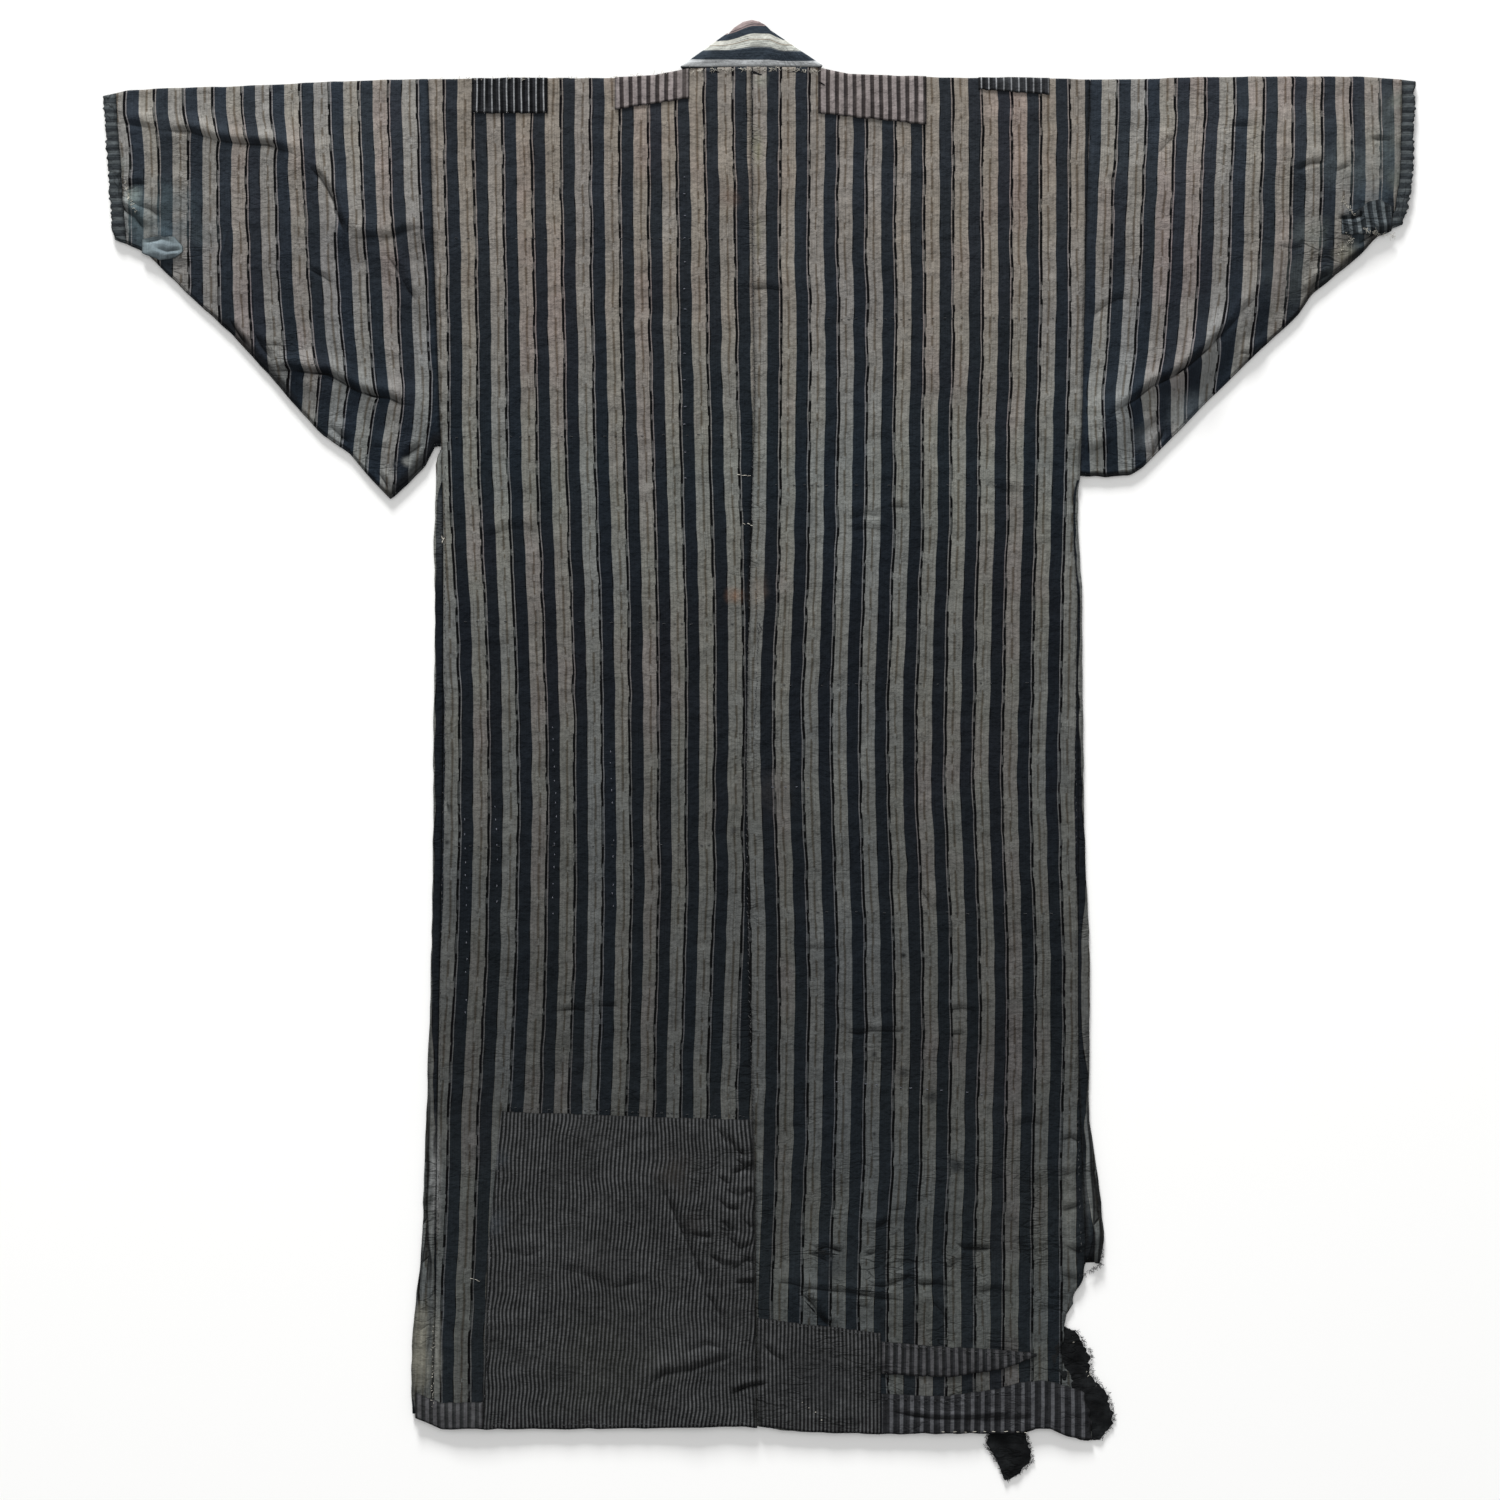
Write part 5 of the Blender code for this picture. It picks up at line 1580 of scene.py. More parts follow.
COLLAR_CLOTH = BandedCloth("collar_cloth", (
    (0.0, tint(46, 50, 55)), (0.8, tint(172, 175, 176)), (6.6, tint(168, 171, 173)),
    (7.1, tint(48, 56, 64)), (17.2, tint(46, 54, 62)), (17.7, tint(124, 130, 134)),
    (18.3, tint(26, 29, 34)), (18.9, tint(180, 182, 176)), (24.2, tint(174, 176, 169)),
    (25.0, tint(128, 116, 102)), (26.0, tint(182, 183, 176)), (30.2, tint(172, 172, 164)),
    (30.8, tint(42, 49, 57)), (37.6, tint(46, 54, 62)), (38.2, tint(140, 124, 122)),
    (39.6, tint(64, 60, 64)), (40.2, tint(138, 124, 123)), (49.0, tint(132, 120, 119))))
PALE_THREAD = ThreadDye("pale_thread", tint(92, 94, 104), tint(70, 74, 86))
CREAM_THREAD = ThreadDye("cream_thread", tint(198, 194, 182), tint(150, 146, 136))
DARK_THREAD = ThreadDye("dark_thread", tint(18, 19, 22), tint(34, 36, 40))
Finish = StripedCloth | PinstripeCloth | PlainCloth | BandedCloth | ThreadDye


class Dyer:
    """Makes each finish's material once."""

    def __init__(self) -> None:
        """Start with no material."""
        self.made: dict[str, bpy.types.Material] = {}

    def dress(self, piece: bpy.types.Object, finish: Finish) -> None:
        """Give a piece its finish.

        Args:
            piece: The piece.
            finish: Its finish.
        """
        if finish.name not in self.made:
            self.made[finish.name] = finish.material()
        piece.data.materials.append(self.made[finish.name])

    def attach(self, piece: bpy.types.Object, finish: Finish) -> bpy.types.Object:
        """Dress a small piece and put it on the coat.

        Args:
            piece: The piece.
            finish: Its finish.

        Returns:
            The same piece.
        """
        self.dress(piece, finish)
        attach(piece, "root")
        LOG.info("%s: %d faces", piece.name, len(piece.data.polygons))
        return piece


# ---- pieces


@dataclass
class ClothPiece:
    """One piece of cloth that stands for a solid.

    Args:
        form: Outlines and heights of the coat.
        node: The solid that it stands for.
        slot: The material slot of its finish; not used.
        finish: Its finish.
        flat: Width and length that it was cut to, in millimetres; not used.
        hold: How it is held; not used.
        rests_on: What it lies on; not used.
        wall: Thickness of the cloth.
        share: Share of that width and length that its outline fills; not used.
    """

    form: CoatForm
    node: str
    slot: str
    finish: Finish
    flat: tuple[float, float]
    hold: Hold = Hold.LAID
    rests_on: tuple[str, ...] = ()
    wall: float = 1.2
    share: float = 1.0

    def shape(self) -> ClothMesh:
        """The piece's surface; each kind of piece has its own."""
        raise NotImplementedError

    def make(self, dyer: Dyer) -> bpy.types.Object:
        """Args:
            dyer: Where the finishes are kept.

        Returns:
            The piece.
        """
        piece = self.shape().build(self.node + "_cloth", self.wall)
        dyer.dress(piece, self.finish)
        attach(piece, "root")
        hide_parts(self.node)
        LOG.info("%s: %d faces", piece.name, len(piece.data.polygons))
        return piece


@dataclass
class BodyPanel(ClothPiece):
    """One length of cloth: back panel, shoulder fold, front, and strip round the side.

    Args:
        side: Which side of the coat.
        cell: Size of the back's cells.
        front_cell: Length of the front's cells.
    """

    side: Side = Side.LEFT
    cell: float = 3.5
    front_cell: float = 7.0

    STRIP_ANGLES = np.radians([-90.0, -60.0, -30.0, 0.0, 30.0, 60.0, 90.0])
    STRIP_FLAT = np.linspace(0.0, 1.0, 5)[1:]
    FOLD_ANGLES = np.radians([25.0, 50.0, 75.0, 105.0, 130.0, 155.0])
    SHOULDER = 594.0
    BACK_LOW = -631.0
    BACK_RISE = 1253.0
    BACK_LENGTH = 1258.0
    FRONT_LENGTH = 1240.0
    STRIPE_START = {Side.LEFT: 279.5, Side.RIGHT: 32.4}
    STRIP_START = 26.6
    WRAP_FADE = 40.0
    TORN_REACH = 24.0

    def shape(self) -> ClothMesh:
        """Back, fold and front as one grid, with the side strip as its outer columns.

        Returns:
            The surface.
        """
        form, side = self.form, self.side
        top = np.array(self.SHOULDER)
        seam, centre = form.seam(side, top), form.centre(side, top)
        neck = (form.middle + side.value * form.neck_half - seam) / (centre - seam)
        outer = round(abs(centre - seam) * neck / self.cell)
        inner = round(abs(centre - seam) * (1 - neck) / self.cell)
        shares = np.concatenate([np.linspace(0, neck, outer + 1), np.linspace(neck, 1, inner + 1)[1:]])
        strip = len(self.STRIP_ANGLES) + len(self.STRIP_FLAT)
        rows = self.back_rows(shares, outer)
        rows = [np.concatenate([np.full((part.shape[0], strip), np.nan), part], 1) for part in rows]
        fold = self.fold_rows([part[-1, strip:strip + outer + 1] for part in rows])
        front = self.front_rows(rows[1][-1, strip:strip + outer + 1], shares[:outer + 1] / neck)
        width = rows[0].shape[1]
        blocks = []
        for number, part in enumerate(rows):
            turn = np.full((len(self.FOLD_ANGLES), width), np.nan)
            turn[:, strip:strip + outer + 1] = fold[number]
            below = np.full((front[number].shape[0], width), np.nan)
            below[:, :strip + outer + 1] = front[number]
            blocks.append(np.concatenate([part, turn, below]))
        mesh = ClothMesh()
        mesh.add(*blocks[:5], Marks(*blocks[5:]), flip=side is Side.RIGHT)
        return mesh

    def stripes(self, x: np.ndarray, shift: np.ndarray | float) -> np.ndarray:
        """Cloth coordinate across the stripes; the right panel's run the other way.

        Args:
            x: Places across the coat.
            shift: How far the stripes are moved sideways.

        Returns:
            The coordinate at each place.
        """
        if self.side is Side.LEFT:
            return x - shift + self.STRIPE_START[Side.LEFT]
        return self.STRIPE_START[Side.RIGHT] - (x - shift)

    def back_rows(self, shares: np.ndarray, outer: int) -> list[np.ndarray]:
        """Rows of the back panel from the hem to the shoulder fold or the neck.

        Args:
            shares: Places of the columns, from the outer edge to the centre seam.
            outer: Number of the column at the neck point.

        Returns:
            Places, heights, cloth coordinates and marks, each as one array.
        """
        form, layers, side = self.form, self.form.layers, self.side
        t = np.linspace(0.0, 1.0, round(self.BACK_LENGTH / self.cell) + 1)[:, None]
        height = self.BACK_LOW + self.BACK_RISE * t
        seam, centre = form.seam(side, height), form.centre(side, height)
        x = seam + (centre - seam) * shares
        inset = np.where(np.arange(len(shares)) <= outer, layers.depth, 0.0)
        low, high = form.hem(x[0]), form.top(x[-1]) - inset
        y = low + (high - low) * t
        lie = form.back_surface(side, x, y)
        u = self.stripes(x, lean(BODY_DRIFT[side], BODY_DRIFT_AT, x, y) + lie.slip)
        return [x, y, lie.height, u, y, *lie.marks]

    def fold_rows(self, last: list[np.ndarray]) -> list[np.ndarray]:
        """Half-circle fold over the shoulder, from the back's last row.

        Args:
            last: That row, in the order that back_rows gives.

        Returns:
            The same values round the fold.
        """
        layers = self.form.layers
        x, y, _, u, v, *marks = last
        turn = self.FOLD_ANGLES[:, None]
        rows = [x + 0 * turn, y + layers.radius * np.sin(turn),
                layers.middle + layers.radius * np.cos(turn), u + 0 * turn,
                v + layers.radius * turn, marks[0] + 0.35 * np.sin(turn)]
        return rows + [mark + 0 * turn for mark in marks[1:]]

    def front_rows(self, fold_y: np.ndarray, shares: np.ndarray) -> list[np.ndarray]:
        """Rows of the front from the shoulder to its hem, with the strip round the side.

        Args:
            fold_y: Heights of the shoulder fold.
            shares: Places of the columns.

        Returns:
            The same values as back_rows gives.
        """
        form, layers, side = self.form, self.form.layers, self.side
        sign = side.value
        t = np.linspace(0.0, 1.0, round(self.FRONT_LENGTH / self.front_cell) + 1)[:, None]
        y = fold_y + (form.front_hem - fold_y) * t
        edge_y = y[:, :1]
        end = form.wrap_end[side]
        within = edge_y <= form.wrap_start[side]
        wrapped = within & (edge_y > end)
        edge = form.edge(side, edge_y)
        outer = np.where(wrapped, 1.0, ramp(edge_y, end - self.WRAP_FADE, end)) * within
        outer = edge - sign * form.wrap_floor * outer
        x = outer + (form.front_inner(side, edge_y) - outer) * shares
        z = form.front_level(side, x, y)
        u = self.stripes(x, 0.0)
        v = 2 * fold_y + math.pi * layers.radius - y
        wander = 0.5 * form.fine.at(edge_y / 12.0, 55.0)
        centre_x = edge - sign * (layers.depth + wander)
        round_x = centre_x + sign * layers.radius * np.cos(self.STRIP_ANGLES)
        round_z = layers.middle + layers.radius * np.sin(self.STRIP_ANGLES) + 0 * edge_y
        seam = form.seam(side, edge_y) + sign * layers.seam_gap
        flat_x = round_x[:, -1:] + (seam - round_x[:, -1:]) * self.STRIP_FLAT
        bulge = np.sin(math.pi * self.STRIP_FLAT) * (1.2 + 0.9 * form.wave.at(edge_y / 17.0, 61.0))
        bulge = bulge * ramp(edge_y, -606.0, -580.0)
        flat_z = layers.back + bulge - 0.8 * self.STRIP_FLAT ** 4
        strip_x = np.concatenate([round_x, flat_x], 1)[:, ::-1]
        strip_z = np.concatenate([round_z, flat_z], 1)[:, ::-1]
        steps = np.hypot(np.diff(strip_x, axis=1), np.diff(strip_z, axis=1))
        reach = np.concatenate([np.zeros_like(edge_y), np.cumsum(steps, axis=1)], 1)
        shade = read(STRIP_SHADE[side], edge_y, "y", "x") + 0.8 * form.fine.at(edge_y / 14.0, 91.0)
        strip_u = self.STRIP_START - shade + reach
        # Painted shade in the strip's soft folds, weaker low on the left.
        folds = form.wave.at(reach / 2.6, edge_y / 26.0) * ramp(-edge_y, 200.0, 330.0)
        pale = 1 - (side is Side.LEFT) * ramp(-edge_y, 470.0, 500.0)
        strip_dirt_and_shade = 0.3 * bell(reach, 1.2) + 0.8 * np.maximum(folds, 0.0) * pale
        torn = (side is Side.RIGHT) * ramp(-edge_y, 450.0, 455.0)
        strip_dirt_and_shade = strip_dirt_and_shade + 0.6 * torn
        # Two pressed folds along the strip, which the material draws with painted shade and highlight.
        first = reach - 6.5 - 2.6 * form.wave.at(edge_y / 30.0, 71.0)
        second = reach - 13.0 - 2.0 * form.wave.at(edge_y / 24.0, 83.0)
        strip_fold = np.where(np.abs(first) < np.abs(second), first, second)
        strip_press = (0.25 + 0.65 * pale) * ramp(-edge_y, 290.0, 370.0) + 0 * reach
        strip_x = np.where(wrapped, strip_x, np.nan)
        ragged = self.torn_end(edge_y, strip_x.shape[1])
        dirt = np.concatenate([np.clip(strip_dirt_and_shade, 0.0, 1.0), torn * ramp(x, 278.0, 288.0)], 1)
        rest = [np.concatenate([strip_fold, NO_FOLD + 0 * x], 1),
                np.concatenate([strip_press, 0 * x], 1), np.full_like(dirt, 0.8)]
        return [np.concatenate([strip_x, x], 1), np.concatenate([edge_y + ragged, y], 1),
                np.concatenate([strip_z, z], 1), np.concatenate([strip_u, u], 1),
                np.concatenate([edge_y + ragged, v], 1), dirt, *rest]

    def torn_end(self, y: np.ndarray, columns: int) -> np.ndarray:
        """How far each column of the right strip is torn back at its lower end.

        Args:
            y: Places up the coat.
            columns: Number of columns.

        Returns:
            Distances up the coat.
        """
        ragged = np.zeros((len(y), columns))
        if self.side is Side.RIGHT:
            end = self.form.wrap_end[self.side]
            near = 1 - ramp(y, end, end + self.TORN_REACH)
            ragged = near * (5.0 + 6.0 * self.form.fine.at(np.arange(columns) / 1.7, 3.0))
        return ragged


@dataclass
class Overlap(ClothPiece):
    """Narrow front extension, pointed where it meets the collar.

    Args:
        side: Side of the coat.
        width: Its full width.
        low: Height of its hem.
        high: Height of its upper end.
        meets_collar: Height above which it follows the collar.
        cell: Length of its cells.
    """

    side: Side = Side.LEFT
    width: float = 152.0
    low: float = -617.0
    high: float = 284.0
    meets_collar: float = -160.0
    cell: float = 9.0

    def shape(self) -> ClothMesh:
        """A flat grid between the front's edge and the collar.

        Returns:
            The surface.
        """
        form, layers, sign = self.form, self.form.layers, self.side.value
        y = np.linspace(self.low, self.high, round((self.high - self.low) / self.cell))[:, None]
        base = read(NECKLINE, y, "y", "x") - layers.seam_gap
        reach = np.where(y > self.meets_collar, base, self.width)
        share = np.linspace(0.0, 1.0, 18)
        x = form.middle - sign * (layers.seam_gap / 2 + (reach - layers.seam_gap / 2) * share)
        z = layers.floor if self.side is Side.LEFT else layers.crossed
        mesh = ClothMesh()
        mesh.add(x, y, z, x, y, flip=self.side is Side.LEFT)
        return mesh


@dataclass
class Sleeve(ClothPiece):
    """Sleeve folded flat: one tube from the cuff seam to the armhole.

    Args:
        side: Side of the coat.
        cuff_station: Distance of the cuff seam from x = 0.
        armhole: Distance of the armhole from x = 0.
        cell: Length of its cells.
        upper_cells: Cells round its upper layer.
        lower_cells: Cells round its lower layer.
        turns: Angles of the points round a fold, in degrees.
    """

    side: Side = Side.LEFT
    cuff_station: float = 598.0
    armhole: float = 295.5
    cell: float = 3.1
    upper_cells: int = 112
    lower_cells: int = 36
    turns: tuple[float, ...] = (60.0, 30.0, 0.0, -30.0, -60.0)

    STRIPE_START = {Side.LEFT: 7.6, Side.RIGHT: -318.1}

    def ring(self, station: np.ndarray) -> tuple[np.ndarray, np.ndarray, np.ndarray]:
        """Places round one section of the tube.

        Args:
            station: Distances of the sections across the coat, as a column.

        Returns:
            Places up the coat, heights of the folds and lower layer (upper ones are not
            numbers yet), and cloth coordinate round the tube.
        """
        layers = self.form.layers
        top, bottom = self.form.top(station), self.form.sleeve_bottom(self.side, station)
        low, high = bottom + layers.depth, top - layers.depth
        upper = low + (high - low) * np.linspace(0, 1, self.upper_cells + 1)
        turn = np.radians(np.array(self.turns))
        over_y, over_z = high + layers.radius * np.cos(turn), layers.middle + layers.radius * np.sin(turn)
        lower = high + (low - high) * np.linspace(0, 1, self.lower_cells + 1)
        under_y = low - layers.radius * np.cos(turn)
        under_z = layers.middle - layers.radius * np.sin(turn)
        y = np.concatenate([upper, over_y, lower, under_y, low], 1)
        rest = np.concatenate([over_z + 0 * high, np.full_like(lower, layers.floor),
                               under_z + 0 * low, np.full_like(low, layers.back)], 1)
        z = np.concatenate([np.full_like(upper, np.nan), rest], 1)
        steps = np.hypot(np.diff(y, axis=1), 0.86 * (np.abs(np.diff(y, axis=1)) < 0.9))
        v = np.concatenate([low, low + np.cumsum(steps, axis=1)], 1)
        return y, z, v

    def stations(self) -> tuple[np.ndarray, np.ndarray]:
        """Distances of the sections, and their share of the way to the armhole.

        Returns:
            The distances and the shares, as columns.
        """
        last = self.armhole + self.form.layers.seam_gap
        share = np.linspace(0.0, 1.0, round((self.cuff_station - last) / self.cell) + 1)[:, None]
        return self.cuff_station + (last - self.cuff_station) * share, share

    def place(self, share: np.ndarray, y: np.ndarray) -> np.ndarray:
        """Where a section's points lie across the coat.

        Args:
            share: Share of the way to the armhole.
            y: Places up the coat.

        Returns:
            Places across the coat.
        """
        form, sign = self.form, self.side.value
        start = form.cuff(self.side, y) - sign * form.cuff_width
        stop = form.seam(self.side, y) + sign * form.layers.seam_gap
        return start + (stop - start) * share

    def shape(self) -> ClothMesh:
        """The tube as one grid, its seam along the underarm.

        Returns:
            The surface.
        """
        form, side = self.form, self.side
        distance, share = self.stations()
        y, z, v = self.ring(side.value * distance)
        x = self.place(share, y)
        top = form.top(side.value * distance)
        bottom = form.sleeve_bottom(side, side.value * distance)
        room = np.minimum(y - bottom, top - y) - form.layers.depth
        lie = form.sleeve_surface(side, x, y, room)
        upper = np.isnan(z)
        z = np.where(upper, lie.height, z)
        last = z.shape[1] - 1
        z[:, last] = z[:, 0]
        width, strength = (read(SLEEVE_SHADE[side], x, "x", name) for name in ("width", "strength"))
        dirt = lie.marks.dirt * upper + 0.4 * bell(y - top, 1.6)
        # Painted shade and dark inside along the lower edge, as the table gives.
        dirt = dirt + strength * (1 - ramp((y - bottom) / width, 0.6, 1.3))
        marks = lie.marks._replace(dirt=np.clip(dirt, 0, 1), press=lie.marks.press * upper)
        shift = lean(SLEEVE_DRIFT[side], SLEEVE_DRIFT_AT, x, y) + lie.slip * upper
        u = x - shift + self.STRIPE_START[side]
        mesh = ClothMesh()
        mesh.add(x, y, z, u, v, marks, flip=side is Side.LEFT)
        return mesh


@dataclass
class Cuff(Sleeve):
    """Binding round the sleeve's opening, its stripes running round the arm.

    Args:
        columns: Number of points across the binding.
    """

    columns: int = 6

    def shape(self) -> ClothMesh:
        """A short tube that carries the sleeve on.

        Returns:
            The surface.
        """
        form, side = self.form, self.side
        inset = np.linspace(0.0, form.cuff_width - form.layers.seam_gap, self.columns)[:, None]
        station = side.value * (self.cuff_station + form.cuff_width - inset)
        y, z, v = self.ring(station)
        x = form.cuff(side, y) - side.value * inset
        share = inset / form.cuff_width
        puff = 0.9 * np.sin(math.pi * share) - 0.5 * (share > 0.9)
        room = np.minimum(y - form.sleeve_bottom(side, station), form.top(station) - y)
        swell = ramp(room - form.layers.depth, 0.0, form.layers.fade) * form.swelling(x, y)
        puckers = 0.5 * form.quilting.at(y / 4.0, share * 2)
        height = form.layers.back + swell + puff + puckers * ramp(room, 2.0, 6.0)
        z = np.where(np.isnan(z), height, z)
        z[:, -1] = z[:, 0]
        frayed = side.value * 1.4 * form.quilting.at(y / 2.2, 7.0) * (1 - share) ** 2
        dirt = 0.25 * bell(inset, 1.8) + 0.5 * np.exp(-((share - 1.0) * 5.0) ** 2)
        mesh = ClothMesh()
        mesh.add(x + frayed, y, z, v, x, Marks(dirt, crumple=0.8), flip=side is Side.LEFT)
        return mesh


@dataclass
class Collar(ClothPiece):
    """Collar strip: up one front edge, folded over behind the neck, down the other.

    Args:
        across: Cells across the strip.
        between: Cells from one line to the next.
    """

    across: int = 20
    between: int = 8

    WIDTH = 49.0
    CROWN_BASE = 635.5
    ARC_ANGLES = np.radians([-90.0, -45.0, 0.0, 45.0, 90.0])

    def lines(self) -> list[np.ndarray]:
        """Lines across the strip in order, each as points from base to edge.

        Returns:
            The lines.
        """
        layers = self.form.layers
        share = np.linspace(0.0, 1.0, self.across + 1)
        lines = [self.line(strip, share, 1.0, layers.floor) for strip in FRONT_STRIPS]
        lines += self.arc(CROWN_FOLD[Side.LEFT], share, Side.LEFT, layers.floor)
        lines += [self.crown(strip, share) for strip in CROWN_STRIPS]
        lines += self.arc(CROWN_FOLD[Side.RIGHT], share, Side.RIGHT, layers.crossed)[::-1]
        lines += [self.line(strip, share, -1.0, layers.crossed) for strip in reversed(FRONT_STRIPS)]
        return lines

    def line(self, strip: Strip, share: np.ndarray, mirror: float, level: float) -> np.ndarray:
        """Points across the strip along a front edge.

        Args:
            strip: The line across the strip.
            share: Shares of the way from base to edge.
            mirror: 1 for the left front, whose edge crosses to +X, and -1 for the right.
            level: Height of the strip.

        Returns:
            The points.
        """
        x = self.form.middle + mirror * (strip.base_x + (strip.edge_x - strip.base_x) * share)
        y = strip.base_y + (strip.edge_y - strip.base_y) * share
        return np.stack([x, y, np.full_like(share, level)], -1)

    def crown(self, strip: Strip, share: np.ndarray) -> np.ndarray:
        """Points across the strip behind the neck, where it stands up a little.

        Args:
            strip: The line across the strip.
            share: Shares of the way from base to edge.

        Returns:
            The points.
        """
        layers = self.form.layers
        x = strip.base_x + (strip.edge_x - strip.base_x) * share
        y = strip.base_y + (strip.edge_y - strip.base_y) * share
        z = layers.back + layers.crown_swell * np.sin(math.pi * share) + 1.2 * share
        return np.stack([x, y, z], -1)

    def arc(self, fold: Strip, share: np.ndarray, side: Side, level: float) -> list[np.ndarray]:
        """Lines round one diagonal fold, from the strip below up to the crown.

        Args:
            fold: The fold's own line.
            share: Shares of the way along it.
            side: Side of the neck.
            level: Height of the strip below.

        Returns:
            The lines.
        """
        layers = self.form.layers
        run_x, run_y = fold.edge_x - fold.base_x, fold.edge_y - fold.base_y
        length = math.hypot(run_x, run_y)
        out_x, out_y = side.value * abs(run_y) / length, abs(run_x) / length
        radius, middle = (layers.crown - level) / 2, (layers.crown + level) / 2
        lines = []
        for angle in self.ARC_ANGLES:
            reach = radius * math.cos(angle)
            x = fold.base_x + run_x * share + reach * out_x
            y = fold.base_y + run_y * share + reach * out_y
            lines.append(np.stack([x, y, np.full_like(share, middle + radius * math.sin(angle))], -1))
        return lines

    def shape(self) -> ClothMesh:
        """The whole strip as one grid.

        Returns:
            The surface.
        """
        lines = np.array(self.lines())
        places = np.linspace(0, len(lines) - 1, (len(lines) - 1) * self.between + 1)
        low = np.minimum(places.astype(int), len(lines) - 2)
        t = (places - low)[:, None, None]
        points = lines[low] * (1 - t) + lines[low + 1] * t
        x, y, z = points[..., 0], points[..., 1], points[..., 2]
        crown = ramp(y, 629.0, 634.0)
        wrinkle = 0.5 * self.form.wave.at(x / 12.0, y / 7.0) + 0.3 * self.form.fine.at(x / 6.0, y / 5.0)
        share = np.linspace(0.0, 1.0, self.across + 1)
        z = z + crown * np.sin(math.pi * share) * wrinkle
        arch = 1.0 + 0.25 * ramp(x, 8.0, 24.0) + 0.3 * ramp(-x, 4.0, 36.0) * ramp(y, 641.0, 655.0)
        u = crown * (y - self.CROWN_BASE) * arch + (1 - crown) * self.WIDTH * share
        steps = np.hypot(np.diff(x[:, :1], axis=0), np.diff(y[:, :1], axis=0))
        v = np.concatenate([[[0.0]], np.cumsum(steps, axis=0)]) + 0 * x
        dirt = 0.5 * crown * bell(np.maximum(u, 0.0), 1.0)
        mesh = ClothMesh()
        mesh.add(x, y, z, u, v, Marks(dirt))
        return mesh


class Ground(Enum):
    """What a patch lies on."""

    BACK = "back"
    SHOULDER = "shoulder"
    SLEEVE = "sleeve"


